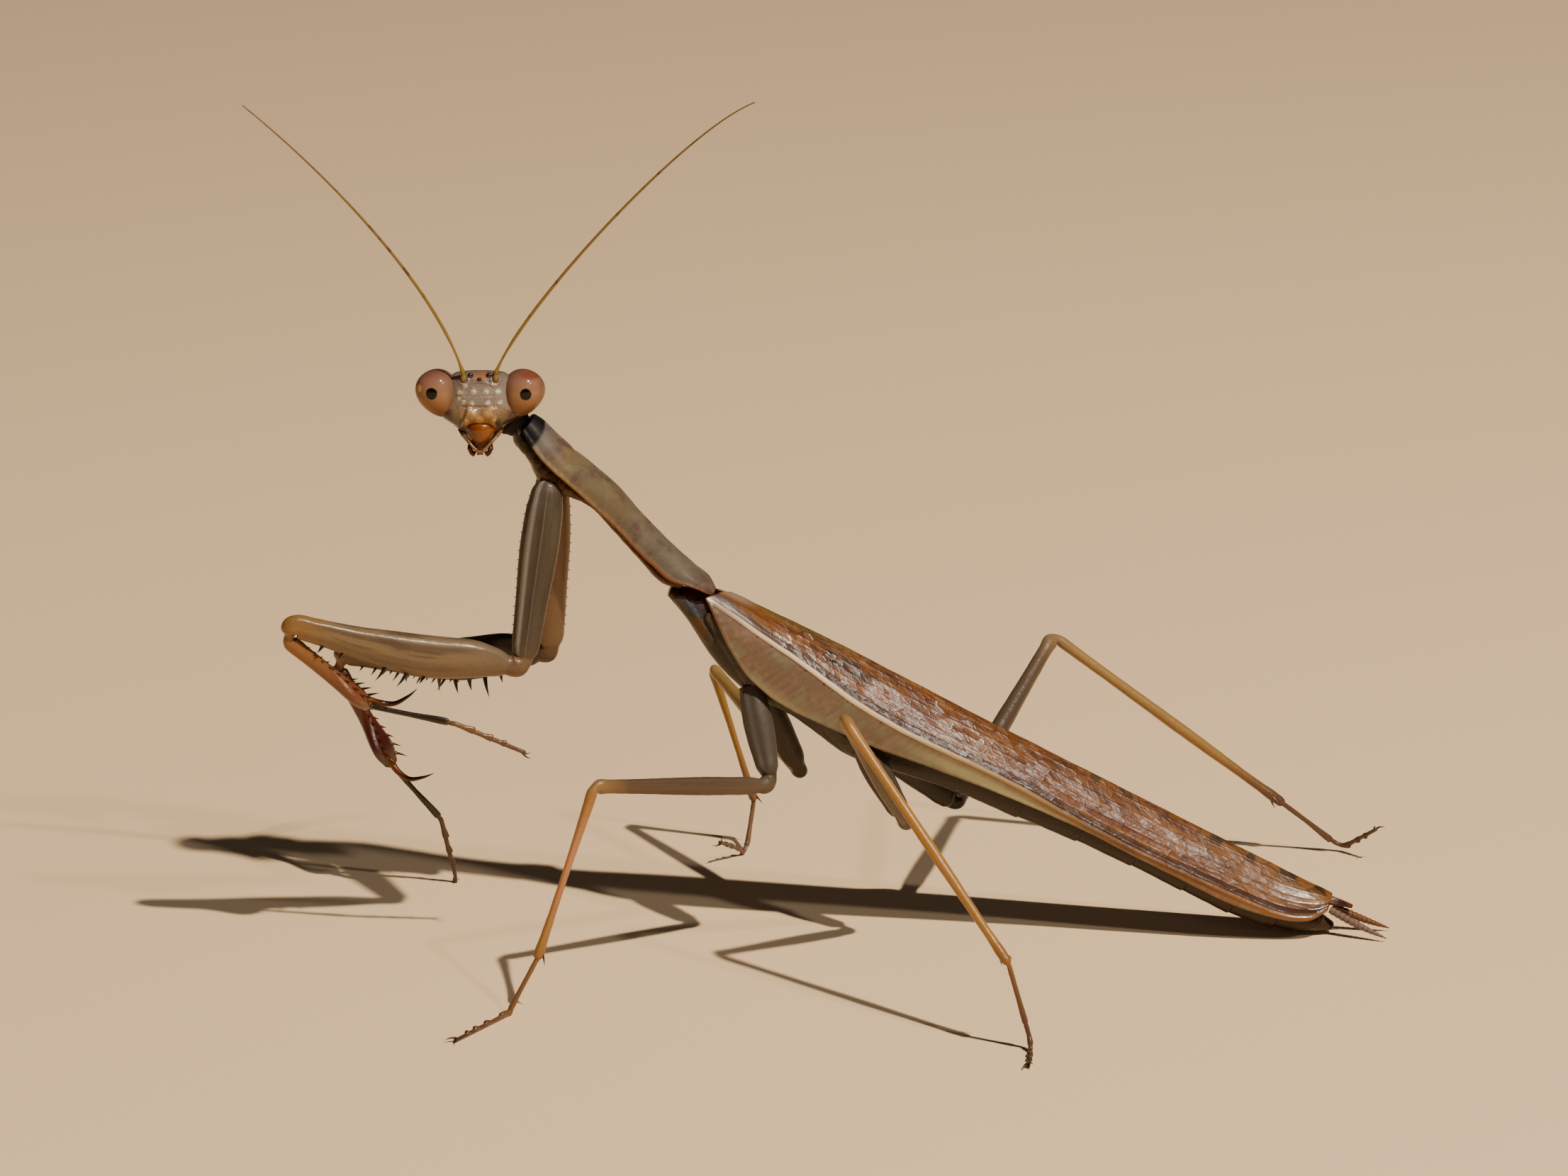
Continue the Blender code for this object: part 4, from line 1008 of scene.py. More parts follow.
@dataclass(frozen=True)
class HeadShape:
    """Half width, front depth and back depth of the head at heights from its middle."""

    low: float = -2.75
    high: float = 1.36
    half_width: Knots = ((-2.75, 1.15), (-2.4, 1.65), (-2.1, 2.15), (-1.75, 2.6), (-1.3, 2.6), (-0.8, 2.3),
                         (-0.3, 2.15), (0.5, 2.1), (0.9, 2.05), (1.15, 1.8), (1.28, 1.45), (1.36, 0.7))
    front: Knots = ((-2.75, 0.62), (-2.4, 0.86), (-2.0, 1.12), (-1.0, 1.38), (0.0, 1.36), (0.6, 1.24),
                    (1.0, 1.05), (1.25, 0.7), (1.36, 0.25))
    back: Knots = ((-2.75, 0.5), (-2.0, 0.78), (-1.0, 1.15), (0.0, 1.3), (0.8, 1.1), (1.2, 0.7), (1.36, 0.25))
    squareness: float = 0.8
    rows: int = 150
    columns: int = 220
    spots: tuple[tuple[float, float], ...] = (
        (-1.33, 0.02), (-1.34, -0.4), (-0.4, 0.08), (0.45, 0.08), (1.28, 0.1), (-0.53, -0.7), (0.55, -0.7),
        (1.4, -0.62), (-1.05, -0.62), (-0.98, 0.48), (0.98, -0.98))
    lumps: tuple[tuple[float, float, float, float], ...] = (
        (-0.5, -1.42, 0.33, 0.16), (0.56, -1.42, 0.33, 0.16), (-0.7, -1.06, 0.16, 0.07),
        (0.72, -1.06, 0.16, 0.07),
        (-0.95, -1.98, 0.26, 0.12), (0.0, -1.85, 0.3, 0.1), (0.98, -1.98, 0.26, 0.12),
        (-0.42, 0.1, 0.2, 0.05),
        (0.44, 0.1, 0.2, 0.05), (-0.53, -0.66, 0.16, 0.05), (0.55, -0.66, 0.16, 0.05),
        (-1.32, -0.1, 0.26, 0.07),
        (1.32, -0.2, 0.26, 0.07))
    ocelli: tuple[tuple[float, float, float, float], ...] = (
        (-0.62, -1.0, 1.12, 0.2), (0.62, -1.0, 1.12, 0.2), (0.0, -1.2, 0.86, 0.17))


@dataclass(frozen=True)
class Head:
    """The head's skin with its face plates and simple eyes.

    Args:
        shape: its sizes.
    """

    shape: HeadShape = HeadShape()

    def face_relief(self, side: Array, up: Array) -> Array:
        """How far the face stands out: the shield's arched ridge and flat, the clypeus and the furrows.

        Args:
            side: distances to the side.
            up: distances up.

        Returns:
            Heights in mm.
        """
        away = np.abs(side)
        arch = 0.74 - 0.3 * side**2
        ridge = 0.09 * bell(up, arch, 0.06) * step(1.2, 0.95, away)
        flat = 0.08 * step(-0.92, -0.74, up) * step(0.03, -0.03, up - arch) * step(1.4, 1.1, away)
        shelf = 0.05 * bell(up, -0.33, 0.05) * step(1.3, 1.0, away)
        clypeus = 0.14 * bell(up, -1.5, 0.5) * step(1.25, 0.8, away)
        parting = -0.06 * bell(side, 0.0, 0.1) * bell(up, -1.5, 0.45)
        seam = -0.07 * bell(up, -0.98, 0.06) * step(1.35, 1.1, away)
        lumps = sum(1.7 * height * bell(np.hypot(side - x, up - z), 0.0, size) for x, z, size,
                    height in self.shape.lumps)
        cheek_line = 1.28 - 0.28 * (up + 2.2)
        cheek = -0.09 * bell(away, cheek_line, 0.07) * step(-2.5, -2.2, up) * step(-0.5, -1.0, up)
        jowl = 0.1 * bell(away, cheek_line - 0.2, 0.12) * step(-2.5, -2.2, up) * step(-0.9, -1.3, up)
        mound = 0.1 * bell(side, 0.0, 0.85) * bell(up, 1.0, 0.3)
        sockets = 0.09 * bell(np.hypot(away - 1.08, (up - 0.88) * 0.9), 0.3, 0.1)
        pits = -0.1 * bell(np.hypot(away - 1.08, up - 0.88), 0.0, 0.18)
        return ridge + flat + shelf + clypeus + parting + seam + lumps + cheek + jowl + mound + sockets + pits

    def rings(self) -> tuple[Array, Array, Array, Array]:
        """Level rings of the head, squarish ovals whose front is pushed out by the face's relief.

        Returns:
            The rings, the side and up distances of their points, and their share of the half width.
        """
        shape = self.shape
        share = (1 - np.cos(np.linspace(0.0, math.pi, shape.rows))) / 2
        up = (shape.low + (shape.high - shape.low) * share)[:, None]
        turn = turns(shape.columns)[None, :]
        cos = squarish(np.cos(turn), shape.squareness)
        sin = squarish(np.sin(turn), shape.squareness)
        side = curve_through(shape.half_width, up) * cos
        depth = np.where(sin > 0, curve_through(shape.back, up), curve_through(shape.front, up)) * sin
        front = np.clip(-sin, 0.0, 1.0) ** 0.6
        depth = depth - self.face_relief(side, up * np.ones_like(side)) * front
        up = up * np.ones_like(side)
        return HEAD.point(side, depth, up), side, up, np.abs(cos) * np.ones_like(up)

    def build(self) -> None:
        """Make the head's skin and its simple eyes as one piece."""
        rings, side, up, flank = self.rings()
        skin = Skin().tube(rings, up, side, flank)
        for place in self.shape.ocelli:
            centre = HEAD.point(*place[:3])
            skin.tube(ball(centre, HEAD.axes, (place[3], place[3] * 0.9, place[3])), slot=1)
        skin.build("head_skin", [self.dress(), OCELLUS.make()], "head", ["head"])

    def dress(self) -> bpy.types.Material:
        """The head's finish: grey-mauve with pale spots, an orange brow and a yellow-orange lower face.

        Returns:
            The material.
        """
        shader = Shader("head")
        up, side = shader.channel("along"), shader.channel("around")
        away = shader.maths("ABSOLUTE", side)
        clouds = shader.noise(1.6, 5.0, 0.6)
        uneven = shader.plus(up, shader.times(shader.minus(clouds, 0.5), 0.5))
        colour = shader.ramp(uneven, (
            (-2.9, (0.42, 0.15, 0.03)), (-2.2, (0.45, 0.20, 0.05)), (-1.6, (0.44, 0.23, 0.09)),
            (-1.15, (0.40, 0.26, 0.15)), (-0.75, (0.38, 0.29, 0.23)), (0.0, (0.40, 0.32, 0.27)),
            (0.55, (0.34, 0.25, 0.21)), (1.36, (0.26, 0.19, 0.15))), -2.9, 1.4)
        colour = shader.mix(colour, (0.16, 0.10, 0.09), shader.fade(shader.noise(3.0, 4.0), 0.52, 0.72), 0.45)
        pale = None
        for spot in self.shape.spots:
            one = shader.spot(side, up, spot, (0.2, 0.15))
            pale = one if pale is None else shader.maths("MAXIMUM", pale, one)
        pale = shader.times(pale, shader.fade(shader.noise(4.5, 2.0), 0.3, 0.55))
        colour = shader.mix(colour, (1.0, 0.98, 0.66), pale, 0.9)
        for x, z, size, _ in self.shape.lumps[:7]:
            lump = shader.times(shader.spot(side, up, (x, z), (size, size)), 0.6)
            colour = shader.mix(colour, (0.85, 0.50, 0.16), lump)
        brow = shader.spot(side, up, (0.1, 1.08), (0.5, 0.26))
        colour = shader.mix(colour, (0.52, 0.19, 0.06), brow, 0.85)
        cheek = shader.times(shader.fade(away, 1.1, 1.5), shader.fade(up, -1.0, -1.6))
        colour = shader.mix(colour, (0.16, 0.12, 0.05), cheek, 0.8)
        green = shader.spot(away, up, (1.22, -2.05), (0.22, 0.32))
        colour = shader.mix(colour, (0.035, 0.05, 0.022), green, 0.9)
        rim = shader.times(shader.fade(away, 1.7, 2.3), shader.fade(up, -2.6, -1.4))
        colour = shader.mix(colour, (0.20, 0.10, 0.06), rim, 0.7)
        jowl = shader.times(shader.fade(shader.channel("tint"), 0.62, 0.8), shader.fade(up, -1.1, -1.5))
        colour = shader.mix(colour, (0.05, 0.015, 0.01), jowl, 0.9)
        hood = shader.fade(shader.maths("ABSOLUTE", shader.minus(away, 1.08)), 0.4, 0.1)
        hood = shader.times(hood, shader.fade(up, 0.65, 0.9))
        colour = shader.mix(colour, (0.24, 0.13, 0.05), hood, 0.6)
        relief = shader.relief((shader.noise(3.6, 3.0), 0.5, 0.14), (shader.noise(9.0, 3.0), 0.5, 0.06))
        return shader.done(colour, shader.ramp(clouds, ((0.3, (0.22,) * 3), (0.7, (0.4,) * 3))), relief, 0.7,
                           0.12, depth=0.62, richness=1.0)


OCELLUS = Cuticle("ocellus", (0.10, 0.05, 0.03), (0.03, 0.02, 0.02), 0.1, 1.5, 0.8)


@dataclass(frozen=True)
class EyeShape:
    """An egg with its narrow end down and inwards.

    Args:
        centre: its place on the head: side, back and up.
        half: its half width, depth and height.
        lean: how far its top leans outwards, in degrees.
        narrowing: how much its lower end narrows.
        pupil: where the dark spot is seen on each side: side and up from the head's middle.
    """

    centre: Place = (2.82, -0.1, -0.2)
    half: Place = (1.4, 1.34, 1.68)
    lean: float = 24.0
    narrowing: float = 0.2
    pupil: tuple[tuple[float, float], tuple[float, float]] = ((-3.22, -0.06), (3.1, -0.1))


@dataclass(frozen=True)
class Eye:
    """One compound eye.

    Args:
        side: which side of the animal it is on.
        shape: its sizes.
    """

    side: Side
    shape: EyeShape = EyeShape()

    def rings(self) -> tuple[Array, Array, Array]:
        """Rings of the egg: an ellipsoid whose girth grows with height, leaned outwards.

        Returns:
            Rings (rows, columns, 3), and their points' heights and distances to the side.
        """
        sign, shape = -self.side.value, self.shape
        polar = np.linspace(0.015, math.pi - 0.015, 64)[:, None]
        turn = turns(96)[None, :]
        along = -np.cos(polar)
        girth = np.sin(polar) * (1 + shape.narrowing * along)
        across = shape.half[0] * girth * np.cos(turn)
        deep = shape.half[1] * girth * np.sin(turn)
        tall = shape.half[2] * along * np.ones_like(turn)
        lean = math.radians(shape.lean)
        out = sign * (shape.centre[0] + across * math.cos(lean) + tall * math.sin(lean))
        up = shape.centre[2] + tall * math.cos(lean) - across * math.sin(lean)
        return HEAD.point(out, shape.centre[1] + deep, up), up, out

    def build(self) -> None:
        """Make the eye."""
        skin = Skin().tube(*self.rings())
        skin.build(f"eye_{self.side.word}_globe", [self.dress()], "eye", [f"eye_{self.side.word}"])

    def dress(self) -> bpy.types.Material:
        """The eye's finish: tan-orange facets, browner above, with one dark spot.

        Returns:
            The material.
        """
        shader = Shader(f"eye_{self.side.word}")
        up, out = shader.channel("along"), shader.channel("around")
        away = shader.maths("ABSOLUTE", out)
        clouds = shader.noise(0.9, 3.0)
        level = shader.plus(up, shader.times(clouds, 0.5))
        colour = shader.ramp(level, (
            (-1.8, (0.10, 0.045, 0.02)), (-1.2, (0.22, 0.09, 0.025)), (-0.5, (0.38, 0.165, 0.055)),
            (0.2, (0.42, 0.20, 0.095)), (0.9, (0.36, 0.17, 0.10)), (1.5, (0.25, 0.10, 0.06)),
            (1.8, (0.16, 0.06, 0.035))), -1.9, 1.9)
        rim = shader.fade(away, 3.7, 4.3)
        colour = shader.mix(colour, (0.16, 0.07, 0.03), rim, 0.6)
        inner = shader.fade(away, 2.4, 1.8)
        colour = shader.mix(colour, (0.20, 0.11, 0.06), inner, 0.75)
        if self.side is Side.LEFT:
            patch = shader.spot(out, up, (3.5, 1.15), (0.75, 0.28))
            colour = shader.mix(colour, (0.24, 0.05, 0.02), patch, 0.8)
        else:
            glint = shader.spot(out, up, (-4.05, 0.25), (0.16, 0.26))
            colour = shader.mix(colour, (1.0, 0.52, 0.12), glint, 0.8)
        pupil = self.shape.pupil[0 if self.side is Side.RIGHT else 1]
        edge = shader.times(shader.minus(shader.noise(3.5, 2.0), 0.5), 0.12)
        dark = shader.fade(shader.spot(shader.plus(out, edge), up, pupil, (0.4, 0.42)), 0.3, 0.7)
        colour = shader.mix(colour, (0.003, 0.002, 0.002), dark)
        facets = shader.relief((shader.cells(16.0, uneven=0.25), 0.12, 0.02))
        return shader.done(colour, 0.5, facets, 0.5, 0.11, shine=0.05, depth=0.7, richness=0.95)


@dataclass(frozen=True)
class MouthShape:
    """Upper lip, jaws and feelers of the mouth, as places (side, back, up) on the head."""

    labrum: tuple[Knots, Knots] = (
        ((-3.72, 0.16), (-3.6, 0.42), (-3.3, 0.74), (-2.85, 1.04), (-2.45, 1.16), (-2.15, 1.08),
         (-2.0, 0.85)),
        ((-3.72, 0.8), (-3.3, 1.12), (-2.8, 1.33), (-2.4, 1.36), (-2.15, 1.24), (-2.0, 1.05)))
    jaw: tuple[Knots, Knots] = (
        ((-4.05, 0.3), (-3.85, 0.6), (-3.4, 0.88), (-2.9, 1.2), (-2.6, 1.5), (-2.35, 1.8)),
        ((-4.05, 0.5), (-3.6, 0.72), (-3.2, 0.8), (-2.6, 0.8), (-2.35, 0.75)))
    outer_palp: tuple[Place, ...] = (
        (1.45, -0.25, -2.65), (1.15, -0.7, -3.0), (0.72, -0.98, -3.45), (0.22, -1.1, -3.98),
        (-0.2, -1.05, -4.22))
    inner_palp: tuple[Place, ...] = (
        (0.6, -0.4, -3.4), (0.68, -0.62, -3.75), (0.6, -0.72, -4.1), (0.34, -0.72, -4.27))


@dataclass(frozen=True)
class Mouth:
    """The mouth parts below the face.

    Args:
        shape: their sizes.
    """

    shape: MouthShape = MouthShape()

    def plate(self, width: Knots, front: Knots, back: float, low: float, high: float,
              bulge: float) -> tuple[Array, Array, Array]:
        """Level ovals of a plate: rounded in front, flat behind.

        Args:
            width: half widths at heights.
            front: front depths at heights.
            back: how far behind the head's middle plane it ends.
            low: its lowest height.
            high: its highest height.
            bulge: the power of its outline, below one for a squarer one.

        Returns:
            The rings, and the up and side distances of their points.
        """
        up = np.linspace(low, high, 40)[:, None]
        turn = turns(48)[None, :]
        cos = squarish(np.cos(turn), bulge)
        side = curve_through(width, up) * cos
        depth = np.where(np.sin(turn) < 0, curve_through(front, up) * np.sin(turn), back * np.sin(turn))
        return HEAD.point(side, depth, up * np.ones_like(side)), up * np.ones_like(side), side

    def palp(self, path: Sequence[Place], sign: float, radius: float, joints: int) -> Array:
        """A jointed feeler: a tube along a curve that swells towards the end of each joint.

        Args:
            path: its points for the head's right side as seen from the front.
            sign: 1 for that side and -1 for the other.
            radius: its thickness.
            joints: how many joints it has.

        Returns:
            Rings (rings, sides, 3).
        """
        places = np.array(path) * np.array([sign, 1.0, 1.0])
        points = resample(HEAD.point(places[:, 0], places[:, 1], places[:, 2]), 50)
        share = np.linspace(0.0, 1.0, 50)
        swell = 0.8 + 0.3 * ((share * joints) % 1.0) ** 2
        return round_tube(points, radius * swell * step(1.06, 0.9, share) ** 0.5, 14)

    def build(self) -> None:
        """Make all the mouth parts as one piece."""
        shape = self.shape
        skin = Skin()
        rings, up, side = self.plate(*shape.labrum, 0.3, -3.72, -2.0, 0.92)
        skin.tube(rings, up, side, slot=0)
        rings, up, side = self.plate(*shape.jaw, 0.5, -4.05, -2.35, 0.7)
        skin.tube(rings, up, side, slot=1)
        for sign, back in ((1.0, 0.0), (-1.0, 0.12)):
            path = np.array(shape.outer_palp) + np.array([0.0, back, 0.0])
            skin.tube(self.palp(path, sign, 0.115, 4), slot=2)
            skin.tube(self.palp(shape.inner_palp, sign, 0.2, 2), slot=3)
        skin.build("mouth", [self.dress_labrum(), JAW.make(), PALP.make(), PALP_END.make()], "mouthparts",
                   ["mouthparts"])

    def dress_labrum(self) -> bpy.types.Material:
        """The upper lip's finish: glossy orange-red, dark red at one side and lighter towards the other,
        partly its own colour and partly a painted highlight, and darker towards the bottom.

        Returns:
            The material.
        """
        shader = Shader("labrum")
        up, side = shader.channel("along"), shader.channel("around")
        # Painted highlight: across the lip the colour runs from dark red to lighter orange, partly the lip's
        # own colour and partly a painted highlight.
        highlight_side = shader.plus(side, shader.times(shader.noise(1.8, 3.0), 0.6))
        colour = shader.ramp(highlight_side, ((-0.5, (0.24, 0.06, 0.02)), (0.2, (0.42, 0.12, 0.03)),
                                    (0.9, (0.50, 0.20, 0.07)), (1.3, (0.45, 0.14, 0.03))), -0.6, 1.4)
        colour = shader.mix(colour, (0.24, 0.04, 0.02), shader.fade(up, -3.2, -3.75))
        relief = shader.relief((shader.noise(2.4, 3.0), 0.5, 0.14))
        return shader.done(colour, 0.3, relief, 0.6, 0.12, depth=0.42)


JAW = Cuticle("jaw", (0.10, 0.035, 0.015), (0.03, 0.012, 0.008), 0.35, 1.4, 0.3)
PALP = Cuticle("palp", (0.50, 0.30, 0.18), (0.34, 0.18, 0.10), 0.4, 2.0, 0.2)
PALP_END = Cuticle("palp_end", (0.14, 0.05, 0.025), (0.07, 0.03, 0.02), 0.35, 2.0, 0.3)


@dataclass(frozen=True)
class AntennaShape:
    """A feeler's root on the head and the curve that it follows."""

    root: Place = (1.08, -1.0, 0.8)
    top: Place = (1.08, -1.19, 1.26)
    reach: tuple[tuple[Place, ...], ...] = (
        ((-17.75, -2.5, 45.2), (-6.4, -4.6, 58.2), (-1.9, -6.0, 60.2)),
        ((-23.2, -2.4, 46.6), (-29.9, -4.6, 54.8), (-35.6, -6.0, 60.0)))
    thickness: Knots = ((0.0, 0.21), (0.012, 0.22), (0.026, 0.18), (0.034, 0.12), (0.05, 0.15), (0.065, 0.12),
                        (0.2, 0.115), (0.6, 0.085), (1.0, 0.04))


@dataclass(frozen=True)
class Antenna:
    """One feeler.

    Args:
        side: which side of the animal it is on.
        shape: its sizes.
    """

    side: Side
    shape: AntennaShape = AntennaShape()

    def build(self) -> None:
        """Make the feeler: a thread of many short joints, each swelling a little at its end."""
        sign = -self.side.value
        root, top = (HEAD.point(sign * place[0], place[1],
                                place[2]) for place in (self.shape.root, self.shape.top))
        reach = self.shape.reach[0 if self.side is Side.LEFT else 1]
        curve = bezier([top, *reach], 400)
        stem = root + (top - root) * np.linspace(0.0, 1.0, 16, endpoint=False)[:, None]
        points = np.concatenate([stem, curve])
        share = np.linspace(0.0, 1.0, len(points))
        radius = curve_through(self.shape.thickness, share)
        radius = radius * (1 + 0.05 * np.sin(share * 760.0) * step(0.05, 0.1, share))
        skin = Skin().tube(round_tube(points, radius, 12), share[:, None])
        skin.build(f"antenna_{self.side.word}_thread", [self.dress()], "antenna",
                   [f"antenna_{self.side.word}"])

    def dress(self) -> bpy.types.Material:
        """The feeler's finish: ochre-yellow, browner towards the tip.

        Returns:
            The material.
        """
        shader = Shader(f"antenna_{self.side.word}")
        colour = shader.ramp(shader.channel("along"), (
            (0.0, (0.34, 0.20, 0.06)), (0.08, (0.42, 0.27, 0.05)), (0.4, (0.36, 0.22, 0.05)),
            (1.0, (0.28, 0.16, 0.06))))
        colour = shader.mix(colour, (0.14, 0.07, 0.02), shader.fade(shader.noise(1.2, 2.0), 0.55, 0.75))
        return shader.done(colour, 0.4, None, 0.2, depth=0.6, richness=1.0)


# The body.


@dataclass(frozen=True)
class ShieldShape:
    """The pronotum: heights of its back and of its side keels, and its half width, at lengths."""

    top: Knots = ((0, 0.62), (0.5, 0.72), (2, 0.72), (3.3, 0.72), (3.7, 0.69), (4.1, 0.76), (5.6, 0.92),
                  (7.7, 0.98),
                  (9.7, 0.78), (13, 0.66), (15.2, 0.7), (16.6, 0.75), (17.3, 0.5))
    keel: Knots = ((0, -0.55), (1.7, -0.85), (5, -0.8), (9, -0.88), (13, -1.05), (14.4, -0.95), (15.6, -0.3),
                   (16.6, 0.1), (17.3, 0.25))
    half_width: Knots = ((0, 1.2), (0.5, 1.4), (1.5, 1.7), (4.2, 2.22), (6.5, 1.9), (10, 1.5), (14, 1.5),
                         (16, 1.65), (17.0, 1.35), (17.3, 0.9))
    length: float = 17.3


@dataclass(frozen=True)
class Shield:
    """The long shield behind the head.

    Args:
        shape: its sizes.
    """

    shape: ShieldShape = ShieldShape()

    def build(self) -> None:
        """Make the shield: an arch with flared toothed rims, a middle keel and a cross groove."""
        shape = self.shape
        t = np.linspace(0.0, shape.length, 340)[:, None]
        turn = np.linspace(0.0, math.pi, 90)[None, :]
        top, keel = curve_through(shape.top, t), curve_through(shape.keel, t)
        width = curve_through(shape.half_width, t)
        rim = bell(turn, 0.0, 0.12) + bell(turn, math.pi, 0.12)
        teeth = 0.05 * np.abs(np.sin(t * 5.2)) ** 3 * step(13.5, 11.0, t)
        side = width * np.cos(turn) + (0.07 + teeth) * rim * np.sign(np.cos(turn))
        up = keel + (top - keel) * np.clip(np.sin(turn), 0.0, 1.0) ** 0.85
        up = up + 0.07 * bell(turn, math.pi / 2, 0.06) - 0.03 * bell(t, 3.7, 0.12) + 0.05 * rim
        up = up - 0.05 * bell(turn, 0.22, 0.1) - 0.05 * bell(turn, math.pi - 0.22, 0.1)
        under = np.linspace(-0.96, 0.96, 20)[None, :]
        under_side = width * under
        under_up = keel - 0.1 * np.ones_like(under_side) + 0.25 * bell(under, 0.0, 0.8)
        rings = SHIELD_LINE.point(t, np.concatenate([side, under_side], 1),
                                  np.concatenate([up, under_up], 1))
        rings = rings + 0.02 * ripple(rings, 3.1, 0.4)[..., None] * SHIELD_LINE.up
        around = np.concatenate([np.cos(turn), under], 1)
        edge = np.concatenate([rim, 1.0 + 0.0 * under], 1)
        skin = Skin().tube(rings, t, around, edge)
        skin.build("pronotum_shield", [self.dress()], "pronotum", ["pronotum"])

    def dress(self) -> bpy.types.Material:
        """The shield's finish: grey-olive clouded with mauve and brown, with a pinkish rim, and a painted
        shadow of the head, near black, over its front end.

        Returns:
            The material.
        """
        shader = Shader("pronotum")
        t, edge = shader.channel("along"), shader.channel("tint")
        where = shader.vector(shader.times(t, 0.35), shader.times(shader.channel("around"), 0.9))
        clouds = shader.noise(1.5, 5.0, 0.6, where)
        colour = shader.ramp(t, (
            (0.0, (0.20, 0.185, 0.16)), (1.6, (0.21, 0.185, 0.17)), (3.2, (0.27, 0.20, 0.12)),
            (4.6, (0.22, 0.18, 0.115)), (8.0, (0.21, 0.165, 0.11)), (12.0, (0.19, 0.16, 0.125)),
            (15.0, (0.18, 0.15, 0.12)), (17.3, (0.19, 0.13, 0.11))), 0.0, 17.4)
        colour = shader.mix(colour, (0.12, 0.07, 0.07), shader.fade(clouds, 0.47, 0.68), 0.75)
        colour = shader.mix(colour, (0.30, 0.26, 0.19), shader.fade(shader.noise(0.8, 3.0), 0.5, 0.7), 0.3)
        rim = shader.ramp(t, ((0.0, (0.40, 0.33, 0.29)), (3.5, (0.44, 0.30, 0.17)), (8.0, (0.38, 0.22, 0.14)),
                              (17.3, (0.34, 0.12, 0.07))), 0.0, 17.4)
        colour = shader.mix(colour, rim, shader.fade(edge, 0.35, 0.8), 0.85)
        colour = shader.mix(colour, (0.10, 0.055, 0.04), shader.fade(shader.noise(11.0, 2.0), 0.62, 0.72),
                            0.6)
        relief = shader.relief((shader.noise(5.0, 3.0), 0.35, 0.08), (shader.noise(19.0, 2.0), 0.5, 0.03))
        # Painted shadow: the head's shadow over the shield's front end, painted near black with a curved
        # edge.
        colour = shader.mix(colour, (0.006, 0.005, 0.004),
                            shader.fade(shader.plus(t, shader.times(shader.channel("around"), 0.35)), 1.0,
                                        0.7))
        return shader.done(colour, 0.55, relief, 0.04, 0.3, shine=0.2, depth=0.6)


@dataclass(frozen=True)
class BreastShape:
    """The fleshy underside of the pronotum: its lower edge and half width at lengths."""

    bottom: Knots = ((-0.5, -1.1), (0.1, -1.55), (2, -1.95), (3.2, -2.4), (4.4, -2.35), (5.6, -1.75),
                     (6.9, -1.3),
                     (9.3, -1.4), (12, -1.6), (14.6, -1.65), (15.6, -1.2))
    half_width: Knots = ((-0.5, 0.8), (0.1, 0.95), (2, 1.25), (4, 1.6), (6, 1.25), (9, 1.0),
                         (14.6, 1.0), (15.6, 0.8))


@dataclass(frozen=True)
class Breast:
    """The prosternum and the neck, each one soft skin.

    Args:
        keel: heights of the shield's side keels above it.
        shape: its sizes.
        neck: points of the neck's middle line, from the body to the head.
        neck_radii: the neck's radii at shares of its length.
    """

    keel: Knots
    shape: BreastShape = BreastShape()
    neck: tuple[Place, ...] = (
        (-17.7, 0.0, 36.3), (-18.6, 0.15, 37.1), (-19.6, 0.35, 37.9), (-20.5, 0.5, 38.5))
    neck_radii: Knots = ((0.0, 0.7), (0.1, 0.98), (0.35, 1.2), (0.7, 1.2), (1.0, 0.9))

    def build(self) -> None:
        """Make the breast, whose ovals wrinkle, and the neck, whose rings fold."""
        t = np.linspace(-0.3, 15.4, 260)[:, None]
        turn = turns(80)[None, :]
        top = curve_through(self.keel, np.clip(t, 0.0, 17.0)) + 0.1
        bottom = curve_through(self.shape.bottom, t)
        width = curve_through(self.shape.half_width, t)
        side = width * np.cos(turn)
        up = (top + bottom) / 2 + (top - bottom) / 2 * np.sin(turn)
        rings = SHIELD_LINE.point(t, side, up)
        out = unit(rings - rings.mean(axis=1, keepdims=True))
        folds = 0.07 * ripple(rings, 1.6, 0.9) * step(7.0, 5.0, t) + 0.03 * ripple(rings, 0.8, 2.0)
        rings = rings + folds[..., None] * out
        skin = Skin().tube(rings, t, np.sin(turn))
        skin.build("prosternum_flesh", [self.dress()], "prosternum", ["prosternum"])
        points = resample(np.array(self.neck), 60)
        share = np.linspace(0.0, 1.0, 60)
        radius = curve_through(self.neck_radii, share) * (1 + 0.04 * np.sin(share * 38.0))
        skin = Skin().tube(round_tube(points, radius, 48), share[:, None])
        skin.build("neck_skin", [SHADED_NECK.make()], "neck", ["neck"])

    def dress(self) -> bpy.types.Material:
        """The breast's finish: reddish brown flesh, greyer in front.

        Returns:
            The material.
        """
        shader = Shader("prosternum")
        t = shader.channel("along")
        colour = shader.ramp(t, ((0.0, (0.02, 0.014, 0.01)), (0.9, (0.05, 0.035, 0.022)),
                                 (2.2, (0.14, 0.10, 0.06)), (3.6, (0.22, 0.12, 0.07)),
                                 (6.5, (0.20, 0.11, 0.06)), (9.0, (0.25, 0.12, 0.07)),
                                 (15.4, (0.20, 0.11, 0.07))), 0.0, 15.5)
        dark = shader.times(shader.fade(shader.noise(2.6, 5.0, 0.65), 0.45, 0.62), 0.8)
        colour = shader.mix(colour, (0.07, 0.035, 0.02), dark)
        relief = shader.relief((shader.noise(3.2, 4.0), 0.6, 0.2), (shader.noise(14.0, 3.0), 0.5, 0.05))
        return shader.done(colour, 0.42, relief, 0.15, 0.25)


# Painted shade: the neck is painted near black, partly for its own dark membrane and partly for the shade it
# lies in between the head and the shield.
SHADED_NECK = Cuticle("neck", (0.016, 0.010, 0.008), (0.006, 0.004, 0.004), 0.7, 1.4)


